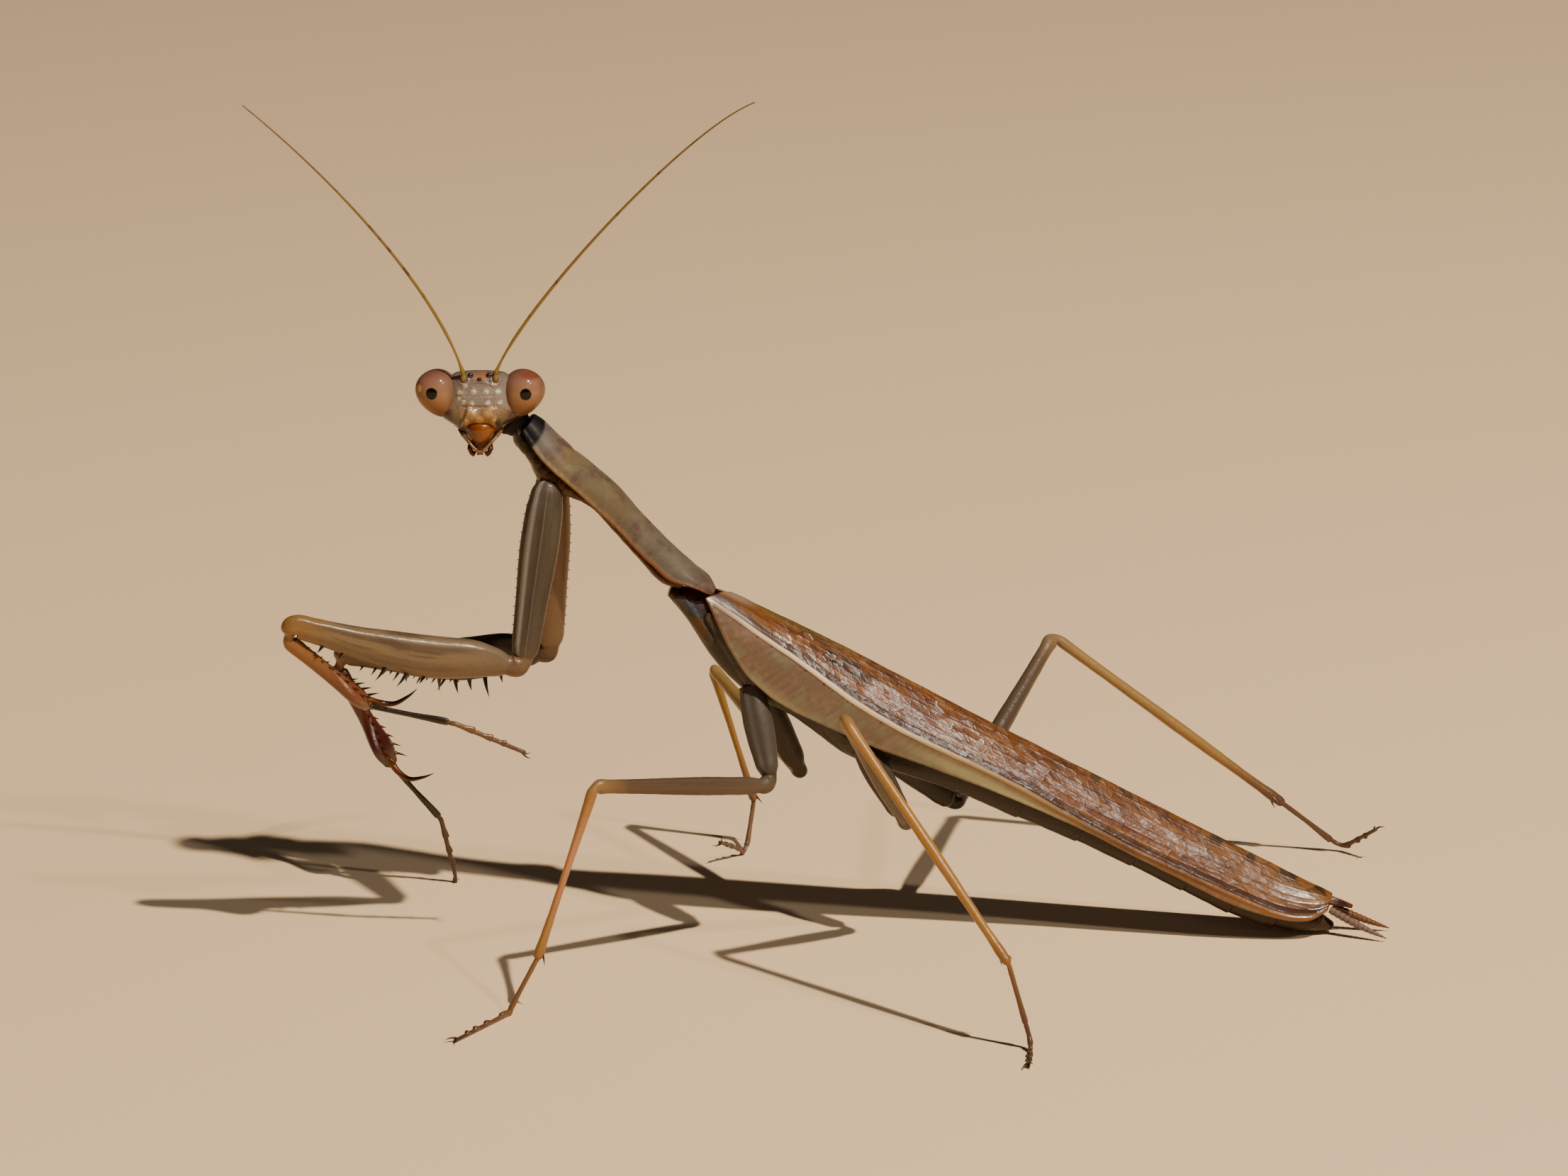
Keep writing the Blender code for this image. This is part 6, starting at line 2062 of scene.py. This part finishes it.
FORE_ROWS = (
    SpineRow(FEMUR, SPINE_FINISH, 38, 0.35,
             ((0.34, 0.62), (0.42, 1.15), (0.52, 1.1), (0.72, 0.48), (0.815, 0.58)), 0.16),
    SpineRow(FEMUR, SPINE_FINISH, -12, -0.05, ((0.19, 0.55), (0.27, 1.3), (0.35, 0.65), (0.42, 0.85)), 0.16),
    SpineRow(FEMUR, SPINE_FINISH, -40, 0.3,
             ((0.38, 0.5), (0.415, 0.35), (0.45, 1.0), (0.475, 0.35), (0.5, 0.5), (0.535, 0.35),
              (0.57, 0.7), (0.6, 0.3), (0.63, 0.45), (0.685, 0.72), (0.72, 0.3), (0.75, 0.4),
              (0.8, 0.58), (0.865, 0.38)), 0.12),
    SpineRow(TIBIA, POINT_FINISH, 38, 0.8,
             tuple((0.2 + 0.7 * k / 8, 0.22 + 0.6 * (k / 8) ** 1.5) for k in range(9)), 0.12),
    SpineRow(TIBIA, POINT_FINISH, -38, 0.8,
             tuple((0.16 + 0.76 * k / 11, 0.2 + 0.65 * (k / 11) ** 1.5) for k in range(12)), 0.12),
    *(SpineRow(COXA, POINT_FINISH, turn, 0.3, tuple((0.1 + 0.052 * k, 0.16) for k in range(16)), 0.07)
      for turn in (180.0, 0.0)),
)
WALKING_ROWS = tuple(SpineRow(TIBIA, POINT_FINISH, turn, 1.6, ((0.94, 0.8),), 0.11) for turn in (42.0, -42.0))
HOOK_PATH = ((-0.75, 0.1, 0.1), (-0.1, 0.22, 0.25), (0.7, 0.45, 0.45), (1.5, 1.0, 0.5), (1.85, 2.0, 0.4),
             (1.95, 2.85, 0.3))
HOOK_RADII: Knots = ((0.0, 0.3), (0.3, 0.24), (0.7, 0.14), (1.0, 0.02))


@dataclass
class Segment:
    """A stretch of a leg's line, with its place in the leg's own count.

    Args:
        start: where it starts along the line.
        stop: where it ends.
        index: its number from the body.
    """

    start: float
    stop: float
    index: int

    def at(self, share: float | Array) -> float | Array:
        """The length along the leg's line at a share of this stretch.

        Args:
            share: a share from 0 to 1.

        Returns:
            Lengths in mm.
        """
        return self.start + share * (self.stop - self.start)


class Leg:
    """One leg: a single skin from hip to toe, with its spines and claws.

    Args:
        pair: which pair it belongs to.
        side: which side of the animal it is on.
        foot: its foot's sizes.
    """

    SIDES = 36
    AFTER_ARC = 0.35
    TOE_ARC = 0.8
    SINK = 0.25

    def __init__(self, pair: Pair, side: Side, foot: FootShape) -> None:
        """Set it up from the values that the class names."""
        self.pair, self.side, self.foot = pair, side, foot
        self.joints, self.sizes = JOINTS[pair][side], SIZES[pair]
        knees = [np.array(knee) for knee in self.joints.knee]
        stops = [self.joints.root, self.joints.coxa, *knees, self.joints.shin, self.joints.instep,
                 self.joints.toe]
        radii = ([self.sizes.coxa_arc] + [self.sizes.knee_arc] * len(knees)
                 + [self.sizes.ankle_arc, self.TOE_ARC])
        self.line = CentreLine(stops, radii)
        arcs = self.line.arcs
        ends = [0.0, arcs[0][0], arcs[0][1] + self.AFTER_ARC, (arcs[1][0] + arcs[len(knees)][1]) / 2,
                sum(arcs[1 + len(knees)]) / 2, self.line.total]
        self.segments = [Segment(a, b, index) for index, (a, b) in enumerate(zip(ends[:-1], ends[1:]))]
        start, knee, end = np.array(self.joints.coxa), knees[0], np.array(self.joints.shin)
        self.plane = unit(np.cross(knee - start, end - knee))
        self.outer = float(np.sign(self.plane @ np.array([0.0, side.value, 0.0])))

    @property
    def name(self) -> str:
        """The leg's name as the solids spell it.

        Returns:
            Its name, such as foreleg_left.
        """
        return f"{self.pair.value}leg_{self.side.word}"

    def _profile(self, axis: int) -> Knots:
        """Half sizes along the whole leg, drawn in at every joint.

        Args:
            axis: 0 for half widths and 1 for half heights.

        Returns:
            (length, half size) pairs.
        """
        knots: list[tuple[float, float]] = []
        tables = (self.sizes.coxa, self.sizes.trochanter, self.sizes.femur, self.sizes.tibia)
        for segment, table in zip(self.segments, tables):
            knots += [(float(segment.at(0.004 + 0.992 * share)), value) for share, value in table[axis]]
        foot = self.segments[4]
        taper = ((0.006, 1.0), (0.02, 1.0), (0.05, 1.02), (0.2, 1.0), (0.6, 0.95), (0.9, 0.85), (1.0, 0.75))
        return knots + [(float(foot.at(share)), self.sizes.foot * factor) for share, factor in taper]

    def frame(self, where: Array) -> tuple[Array, Array, Array, Array]:
        """Centres and the along, side and upper directions at lengths along the leg.

        The side direction turns from straight across the body, on the coxa, to the leg's own
        plane beyond the hip.

        Args:
            where: lengths in mm.

        Returns:
            Points and three arrays of unit vectors.
        """
        centre, tangent = self.line.at(where)
        hip = self.segments[1]
        blend = step(hip.start - 0.5, hip.stop + 0.5, where)[:, None]
        across = (1 - blend) * np.array([0.0, self.outer, 0.0]) * self.side.value + blend * self.plane
        side = unit(across - (across * tangent).sum(axis=1, keepdims=True) * tangent)
        upper = np.cross(tangent, side)
        femur = self.segments[2]
        share = (where - femur.start) / (femur.stop - femur.start)
        lift = curve_through(self.sizes.lift, np.clip(share, 0.0, 1.0))
        return centre + lift[:, None] * upper, tangent, side, upper

    def _foot_swell(self, share: Array) -> tuple[Array, Array]:
        """How a foot's joints widen towards their ends, and how their pads hang down.

        Args:
            share: shares of the foot's length.

        Returns:
            Factors of its thickness, and pad depths in mm.
        """
        ends = np.array((0.0, *self.foot.ends))
        joint = np.clip(np.searchsorted(ends, share) - 1, 0, len(ends) - 2)
        inside = np.clip((share - ends[joint]) / (ends[joint + 1] - ends[joint]), 0.0, 1.0)
        shaped = step(0.45, 0.92, inside) * step(1.0, 0.95, inside)
        last = joint == len(ends) - 2
        swell = 0.9 + self.foot.swell * shaped * ~last - 0.15 * step(0.95, 1.0, inside)
        return swell, self.foot.pad * shaped * ~last

    def rings(self) -> tuple[Array, Array, Array, Array]:
        """Rings of the whole leg: ovals square to its line, with ridges, a grooved underside and pads.

        Returns:
            The rings, their place as segment number plus share, their angles and a tint.
        """
        total = self.line.total
        foot = self.segments[4]
        where = np.concatenate([np.linspace(0.0, foot.start, 420, endpoint=False),
                                np.linspace(foot.start, total, 200)])
        bounds = np.array([segment.start for segment in self.segments] + [total])
        index = np.clip(np.searchsorted(bounds, where, side="right") - 1, 0, 4)
        share = (where - bounds[index]) / (bounds[index + 1] - bounds[index])
        centre, _, side, upper = self.frame(where)
        turn = turns(self.SIDES)
        width, height = (curve_through(self._profile(axis), where)[:, None] for axis in (0, 1))
        on_foot = (index == 4)[:, None]
        swell, pad = self._foot_swell(share)
        factor = np.where(on_foot, swell[:, None], 1.0)
        down = np.where(on_foot, pad[:, None], 0.0) * np.clip(-np.sin(turn), 0.0, 1.0)
        width, height = width * factor, height * factor + down
        ridge = self._ridges(index, share, turn)
        across = (width + ridge)[..., None] * np.cos(turn)[None, :, None] * side[:, None, :]
        above = (height + ridge)[..., None] * np.sin(turn)[None, :, None] * upper[:, None, :]
        rings = centre[:, None, :] + across + above
        rings = rings + 0.012 * ripple(rings, 1.3, 2.1)[..., None] * unit(across + above)
        low = rings[..., 2].min(axis=1)
        floor = np.where((index == 4) & (centre[:, 2] < 0.6), low, 0.0) * step(0.6, 0.42, centre[:, 2])
        rings[..., 2] = np.maximum(rings[..., 2] - floor[:, None], 0.0)
        return rings, (index + share)[:, None], turn[None, :] * self.outer, np.cos(turn)[None, :] * self.outer

    def _ridges(self, index: Array, share: Array, turn: Array) -> Array:
        """Low keels along the segments and the groove between the rows of spines.

        Args:
            index: each ring's segment number.
            share: each ring's share of its segment.
            turn: the angles round a ring.

        Returns:
            Heights in mm, one for each point.
        """
        near = partial(self._near, turn)
        fade = (step(0.02, 0.12, share) * step(0.99, 0.9, share))[:, None]
        on = [(index == number)[:, None] * fade for number in range(5)]
        coxa = on[0] * (0.14 * near(0.62, 0.22) - 0.08 * near(1.0, 0.16) - 0.06 * near(0.2, 0.2))
        thigh = on[2] * (0.05 * near(0.9, 0.15) - 0.03 * near(0.45, 0.25) + 0.05 * near(-0.9, 0.18))
        if self.pair is Pair.FORE:
            thigh = thigh * 1.3 - on[2] * 0.2 * near(UNDERSIDE, 0.35)
        shin = on[3] * (0.03 * near(0.8, 0.25) + 0.03 * near(-0.8, 0.25))
        return coxa + thigh + shin

    def _near(self, turn: Array, angle: float, spread: float) -> Array:
        """A bell curve round an angle of the leg's rings, counted from its outer side.

        Args:
            turn: the angles round a ring.
            angle: the curve's middle.
            spread: its half width.

        Returns:
            Heights from 0 to 1, in one row.
        """
        outward = turn if self.outer > 0 else math.pi - turn
        return bell((outward - angle + math.pi) % TWO_PI - math.pi, 0.0, spread)[None, :]

    def spine(self, row: SpineRow, share: float, length: float) -> Array:
        """A thin curved spine: a cone on the skin whose tip bends towards the segment's end.

        Args:
            row: its row.
            share: where along the row's segment it stands.
            length: its length.

        Returns:
            Rings (rings, sides, 3).
        """
        where = np.array([self.segments[row.segment].at(share)])
        centre, tangent, side, upper = (part[0] for part in self.frame(where))
        angle = UNDERSIDE + self.outer * math.radians(row.turn)
        width, height = (float(curve_through(self._profile(axis), where)[0]) for axis in (0, 1))
        radial = unit(math.cos(angle) * side + math.sin(angle) * upper)
        foot = centre + width * math.cos(angle) * side + height * math.sin(angle) * upper
        along = np.linspace(0.0, 1.0, SPINE_RINGS)[:, None]
        way = unit(radial + row.lean * tangent)
        bend = 0.18 * length * along**2 * tangent * np.sign(row.lean)
        points = foot - self.SINK * radial + along * (length + self.SINK) * way + bend
        radius = row.root * (1.15 - along[:, 0] ** 1.2 * 1.12)
        return round_tube(points, radius, 10)

    def hook(self) -> Array:
        """The hook at the end of a fore tibia: a thick curved claw.

        Returns:
            Rings (rings, sides, 3).
        """
        place = np.array([self.segments[3].stop - 0.15])
        centre, tangent, side, upper = (part[0] for part in self.frame(place))
        points = [centre + a * tangent - b * upper - c * self.outer * side for a, b, c in HOOK_PATH]
        radii = curve_through(HOOK_RADII, np.linspace(0.0, 1.0, HOOK_RINGS))
        return round_tube(resample(np.array(points), HOOK_RINGS), radii, 16)

    def claws(self) -> list[Array]:
        """The two thin hooked claws of the foot.

        Returns:
            Rings of each claw.
        """
        place = np.array([self.line.total])
        centre, tangent, side, upper = (part[0] for part in self.frame(place))
        share = np.linspace(0.0, 1.0, 24)[:, None]
        claws = []
        for sign in (-1.0, 1.0):
            way = unit(tangent + 0.65 * sign * side)
            points = centre - self.SINK * tangent + share * (self.SINK + self.foot.claw) * way
            points = points + upper * (0.55 * share * (1 - share))
            points[:, 2] = np.maximum(points[:, 2], 0.03 + 0.1 * (1 - share[:, 0]))
            claws.append(round_tube(points, 0.1 * (1.05 - share[:, 0]), 10))
        return claws

    def build(self) -> None:
        """Make the leg's skin, and its spines and claws as a second piece."""
        rings, along, around, tint = self.rings()
        nodes = [f"{self.name}_{part}" for part in ("coxa", "trochanter", "femur", "tibia", "tarsus")]
        slot = "fore_femur" if self.pair is Pair.FORE else "leg_femur"
        Skin().tube(rings, along, around, tint).build(f"{self.name}_skin", [self.dress()], slot, nodes)
        points = Skin()
        for claw in self.claws():
            points.tube(claw, 1.0, slot=CLAW_FINISH)
        for row in FORE_ROWS if self.pair is Pair.FORE else WALKING_ROWS:
            tone = TOOTH_TONE if row.segment == COXA else np.linspace(0.0, 1.0, SPINE_RINGS)[:, None]
            for share, length in row.places:
                points.tube(self.spine(row, share, length), tone, slot=row.finish)
        if self.pair is Pair.FORE:
            points.tube(self.hook(), np.linspace(0.0, 1.0, HOOK_RINGS)[:, None], slot=POINT_FINISH)
        points.build(f"{self.name}_spines", [CLAW.make(), SPINE.make(), self.dress_points()], "tarsus")

    def dress_points(self) -> bpy.types.Material:
        """The finish of the tibia's spines: orange-red roots and black tips.

        Returns:
            The material.
        """
        shader = Shader(f"{self.name}_points")
        colour = shader.ramp(shader.channel("along"), (
            (0.0, (0.36, 0.13, 0.03)), (0.45, (0.22, 0.05, 0.015)), (0.75, (0.03, 0.012, 0.008)),
            (1.0, (0.01,) * 3)))
        return shader.done(colour, 0.3, None, 0.4)

    def dress(self) -> bpy.types.Material:
        """The leg's finish: colours along its segments, with stripes along the thigh and coxa.

        Returns:
            The material.
        """
        return PAINTS[self.pair].make(self.name, self.side)


CLAW = Cuticle("claw", (0.12, 0.05, 0.02), (0.05, 0.02, 0.01), 0.3, 3.0, 0.3)
SPINE = Cuticle("spine", (0.02, 0.012, 0.01), (0.01, 0.006, 0.005), 0.3, 3.0, 0.4)


@dataclass(frozen=True)
class LegPaint:
    """Colours along a leg by segment number plus share, and its gloss.

    Args:
        stops: (place, colour) pairs of the left leg.
        far_shaded_stops: pairs that stand for them on the right leg: partly its own colours and partly
            painted shade, darkest about the hip under the body.
        stripe: the colour of the lengthwise stripes on the thigh.
        gloss: how strong its clear coat is.
        depth: the share of the colours' brightness that is kept.
    """

    stops: tuple[tuple[float, Colour], ...]
    far_shaded_stops: tuple[tuple[float, Colour], ...] = ()
    stripe: Colour = (0.10, 0.06, 0.04)
    gloss: float = 0.15
    depth: float = 0.72

    def make(self, name: str, side: Side) -> bpy.types.Material:
        """Write the material of one leg.

        Args:
            name: the leg's name.
            side: which side of the animal it is on.

        Returns:
            The material.
        """
        shader = Shader(f"{name}_skin")
        along, around, out = (shader.channel(channel) for channel in Skin.CHANNELS)
        uneven = shader.plus(along, shader.times(shader.minus(shader.noise(1.3, 3.0), 0.5), 0.06))
        # The right leg's colours carry painted shade: they are darkest about the hip, where the body shades
        # it.
        stops = self.far_shaded_stops if side is Side.RIGHT and self.far_shaded_stops else self.stops
        colour = shader.ramp(uneven, stops, 0.0, 5.0)
        where = shader.vector(shader.times(along, 1.1), shader.maths("SINE", around), shader.maths(
            "COSINE", around))
        streaks = shader.fade(shader.noise(2.4, 4.0, 0.6, where), 0.48, 0.66)
        thigh = shader.times(shader.fade(along, 2.05, 2.2), shader.fade(along, 2.98, 2.85))
        hip = shader.fade(along, 1.02, 0.95)
        mask = shader.times(shader.maths("MAXIMUM", thigh, hip), streaks)
        colour = shader.mix(colour, self.stripe, mask, 0.6)
        colour = self.detail(shader, colour, along, around, out)
        grain = shader.fade(shader.noise(8.0, 3.0), 0.5, 0.7)
        colour = shader.mix(colour, self.stripe, grain, 0.22)
        relief = shader.relief((shader.noise(6.0, 3.0), 0.35, 0.06), (shader.noise(20.0, 2.0), 0.4, 0.02))
        rough = shader.mix((0.5,) * 3, (0.33,) * 3, shader.fade(along, 1.9, 2.1))
        return shader.done(colour, rough, relief, self.gloss, 0.2, depth=self.depth, richness=0.95)

    def detail(self, shader: Shader, colour: Socket, along: Socket, around: Socket, out: Socket) -> Socket:
        """Marks of this pair of legs on their main colours.

        Args:
            shader: the material's graph.
            colour: the main colours.
            along: place along the leg.
            around: angle round it.
            out: one on its outer side and minus one on its inner one.

        Returns:
            The colour with its marks.
        """
        return colour


class ForePaint(LegPaint):
    """The fore legs' colours: an brown inner side of the coxa and a pale ridge along it."""

    def detail(self, shader: Shader, colour: Socket, along: Socket, around: Socket, out: Socket) -> Socket:
        """Add the coxa's inner side and ridge, and the thigh's lengthwise bands.

        Args:
            shader: the material's graph.
            colour: the main colours.
            along: place along the leg.
            around: angle round it.
            out: one on its outer side and minus one on its inner one.

        Returns:
            The colour with its marks.
        """
        hip = shader.fade(along, 1.05, 0.98)
        inner = shader.times(shader.fade(out, 0.1, -0.25), hip)
        colour = shader.mix(colour, (0.30, 0.16, 0.07), inner)
        rear = shader.maths("SINE", around)
        ridge = shader.times(shader.band(rear, 0.6, 0.16, 0.16), shader.fade(out, 0.2, 0.5))
        colour = shader.mix(colour, (0.50, 0.42, 0.38), ridge, shader.times(hip, 0.8))
        thigh = shader.times(shader.fade(along, 2.08, 2.25), shader.fade(along, 2.95, 2.8))
        upper = shader.band(rear, 0.62, 0.1, 0.18)
        colour = shader.mix(colour, (0.17, 0.11, 0.075), shader.times(upper, thigh), 0.75)
        lower = shader.band(rear, -0.25, 0.16, 0.3)
        return shader.mix(colour, (0.24, 0.15, 0.09), shader.times(lower, thigh), 0.6)


AMBER: Colour = (0.62, 0.245, 0.085)

PAINTS: dict[Pair, LegPaint] = {
    Pair.FORE: ForePaint(
        ((0.0, (0.16, 0.11, 0.07)), (0.1, (0.13, 0.10, 0.065)), (0.5, (0.095, 0.068, 0.042)),
         (0.95, (0.12, 0.085, 0.055)),
         (1.1, (0.28, 0.16, 0.07)), (1.9, (0.26, 0.14, 0.06)), (2.05, (0.30, 0.20, 0.11)),
         (2.2, (0.36, 0.23, 0.12)),
         (2.75, (0.38, 0.24, 0.11)), (2.95, (0.44, 0.22, 0.05)), (3.04, (0.48, 0.20, 0.035)),
         (3.3, (0.42, 0.15, 0.025)), (3.8, (0.30, 0.085, 0.02)), (3.97, (0.36, 0.16, 0.07)),
         (4.01, (0.03, 0.018, 0.012)),
         (4.46, (0.035, 0.022, 0.014)), (4.52, (0.30, 0.14, 0.04)), (5.0, (0.20, 0.08, 0.03))),
        # Right fore leg: its colours with painted shade, darkest about the hip and the thigh's root.
        ((0.0, (0.16, 0.11, 0.07)), (0.1, (0.14, 0.10, 0.06)), (0.5, (0.12, 0.08, 0.04)),
         (0.95, (0.16, 0.10, 0.05)),
         (1.1, (0.20, 0.10, 0.04)), (1.9, (0.06, 0.03, 0.02)), (2.1, (0.03, 0.018, 0.014)),
         (2.5, (0.07, 0.035, 0.02)),
         (2.85, (0.16, 0.09, 0.045)), (3.0, (0.34, 0.17, 0.07)), (3.1, (0.30, 0.10, 0.03)),
         (3.3, (0.20, 0.035, 0.012)),
         (3.8, (0.09, 0.012, 0.008)), (3.97, (0.20, 0.10, 0.06)), (4.01, (0.03, 0.02, 0.015)),
         (4.46, (0.035, 0.025, 0.02)), (4.55, (0.14, 0.07, 0.03)), (5.0, (0.10, 0.05, 0.02))),
        stripe=(0.06, 0.036, 0.022), gloss=0.35, depth=0.52),
    Pair.MID: LegPaint(
        ((0.0, (0.081, 0.068, 0.056)), (0.9, (0.093, 0.074, 0.056)), (1.05, (0.062, 0.037, 0.025)),
         (1.3, (0.124, 0.081, 0.050)),
         (2.0, (0.136, 0.087, 0.050)), (2.3, (0.124, 0.077, 0.043)), (2.8, (0.136, 0.077, 0.037)),
         (2.97, (0.32, 0.17, 0.05)),
         (3.06, (0.44, 0.2, 0.03)), (3.4, AMBER), (3.9, (0.42, 0.19, 0.03)), (4.05, (0.28, 0.12, 0.03)),
         (4.5, (0.18, 0.08, 0.03)), (5.0, (0.07, 0.035, 0.02))),
        # Right mid leg: its colours with painted shade, darkest about the hip.
        ((0.0, (0.050, 0.037, 0.028)), (0.9, (0.028, 0.019, 0.012)), (1.3, (0.037, 0.022, 0.012)),
         (2.0, (0.186, 0.112, 0.037)),
         (2.5, (0.236, 0.136, 0.031)), (2.97, (0.42, 0.24, 0.06)), (3.1, (0.4, 0.21, 0.03)),
         (3.6, (0.42, 0.2, 0.03)),
         (4.0, (0.24, 0.12, 0.05)), (4.5, (0.2, 0.1, 0.06)), (5.0, (0.14, 0.08, 0.05)))),
    Pair.HIND: LegPaint(
        ((0.0, (0.062, 0.046, 0.034)), (0.9, (0.074, 0.050, 0.034)), (1.3, (0.081, 0.053, 0.034)),
         (2.0, (0.093, 0.062, 0.037)),
         (2.6, (0.112, 0.068, 0.031)), (2.95, (0.38, 0.19, 0.05)), (3.05, (0.5, 0.24, 0.05)),
         (3.3, (0.5, 0.23, 0.03)),
         (3.9, (0.46, 0.2, 0.025)), (4.05, (0.24, 0.1, 0.03)), (4.5, (0.14, 0.06, 0.03)),
         (5.0, (0.07, 0.035, 0.02))),
        # Right hind leg: its colours with painted shade, darkest about the hip.
        ((0.0, (0.037, 0.025, 0.019)), (0.9, (0.014, 0.009, 0.007)), (1.5, (0.012, 0.009, 0.007)),
         (2.0, (0.056, 0.037, 0.025)),
         (2.4, (0.099, 0.068, 0.046)), (2.85, (0.149, 0.093, 0.050)), (3.0, (0.32, 0.2, 0.09)),
         (3.1, (0.42, 0.24, 0.06)),
         (3.7, (0.4, 0.2, 0.04)), (3.97, (0.14, 0.06, 0.03)), (4.1, (0.16, 0.07, 0.03)),
         (5.0, (0.1, 0.05, 0.03)))),
}


# The floor, the lights and the camera.


@dataclass(frozen=True)
class Lamp:
    """A square area light that faces the animal.

    Args:
        name: its name.
        place: where it is, in metres.
        size: its side.
        power: its strength in watts.
        colour: its colour.
    """

    name: str
    place: Place
    size: float
    power: float
    colour: Colour

    def hang(self, target: Place) -> None:
        """Add the lamp to the scene.

        Args:
            target: the point that it faces.
        """
        data = bpy.data.lights.new(self.name, "AREA")
        data.size, data.energy, data.color = self.size, self.power, self.colour
        obj = bpy.data.objects.new(self.name, data)
        obj.location = self.place
        obj.rotation_euler = (Vector(target) - obj.location).to_track_quat("-Z", "Y").to_euler()
        bpy.context.scene.collection.objects.link(obj)


@dataclass(frozen=True)
class Studio:
    """A plain pale floor, a small warm key light with three weak ones, and the photograph's viewpoint.

    Args:
        lamps: the lights: sunlike key, the wing's glint, a front fill and a back fill.
        lit: the point that the lamps face.
        sky: the world's colour.
        sky_strength: how bright the world is.
        floor: half the floor's size, in metres.
        floor_colour: its colour.
        target: the point that the camera looks at.
        distance: how far away it is.
        elevation: how far above the horizon it stands, in degrees.
        lens: its focal length for a sensor 36 mm wide.
    """

    lamps: tuple[Lamp, ...] = (
        Lamp("key", (0.30, -0.34, 0.72), 0.02, 9.0, (1.0, 0.89, 0.72)),
        Lamp("glint", (0.47, -0.43, 0.63), 0.04, 1.5, (1.0, 0.93, 0.85)),
        Lamp("sheen", (0.30, -0.72, 0.42), 0.2, 0.2, (1.0, 0.95, 0.9)),
        Lamp("back", (0.1, 0.8, 0.5), 0.6, 0.07, (1.0, 0.95, 0.88)))
    lit: Place = (0.0, 0.0, 0.02)
    sky: Colour = (1.0, 0.96, 0.9)
    sky_strength: float = 0.022
    floor: float = 3.0
    floor_colour: Colour = (0.95, 0.68, 0.42)
    target: Place = (-0.00359, 0.00397, 0.025)
    distance: float = 0.45
    elevation: float = 17.0
    lens: float = 151.63

    def build(self) -> None:
        """Lay the floor and set the lights, the world and the camera."""
        mesh = bpy.data.meshes.new("floor")
        half = self.floor
        mesh.from_pydata([(-half, -half, 0), (half, -half, 0), (half, half, 0), (-half, half, 0)], [],
                         [(0, 1, 2, 3)])
        finish = Cuticle("floor", self.floor_colour, self.floor_colour, rough=0.9, cloud=0.01, coat=0.0,
                         grain=0.0, depth=1.0, richness=1.0)
        mesh.materials.append(finish.make())
        floor = bpy.data.objects.new("floor", mesh)
        bpy.context.scene.collection.objects.link(floor)
        for lamp in self.lamps:
            lamp.hang(self.lit)
        world = bpy.data.worlds.new("studio")
        world.use_nodes = True
        sky = world.node_tree.nodes["Background"]
        sky.inputs["Color"].default_value = (*self.sky, 1.0)
        sky.inputs["Strength"].default_value = self.sky_strength
        bpy.context.scene.world = world
        angle = math.radians(self.elevation)
        back = Vector((0.0, -math.cos(angle), math.sin(angle)))
        data = bpy.data.cameras.new("photo")
        data.lens, data.sensor_width, data.clip_start = self.lens, 36.0, 0.01
        camera = bpy.data.objects.new("photo", data)
        camera.location = Vector(self.target) + back * self.distance
        camera.rotation_euler = (-back).to_track_quat("-Z", "Y").to_euler()
        bpy.context.scene.collection.objects.link(camera)
        bpy.context.scene.camera = camera


def main() -> None:
    """Build and dress the animal, part by part, and set the studio."""
    logging.basicConfig(level=logging.INFO, format="%(message)s")
    for piece in (Head(), Mouth(), Shield(), Breast(ShieldShape().keel), Trunk()):
        piece.build()
    for side in Side:
        for piece in (Eye(side), Antenna(side), Forewing(side), Hindwing(side), Cercus(side, CERCI[side])):
            piece.build()
        for pair in Pair:
            Leg(pair, side, FootShape()).build()
    Studio().build()


if __name__ == "__main__":
    main()
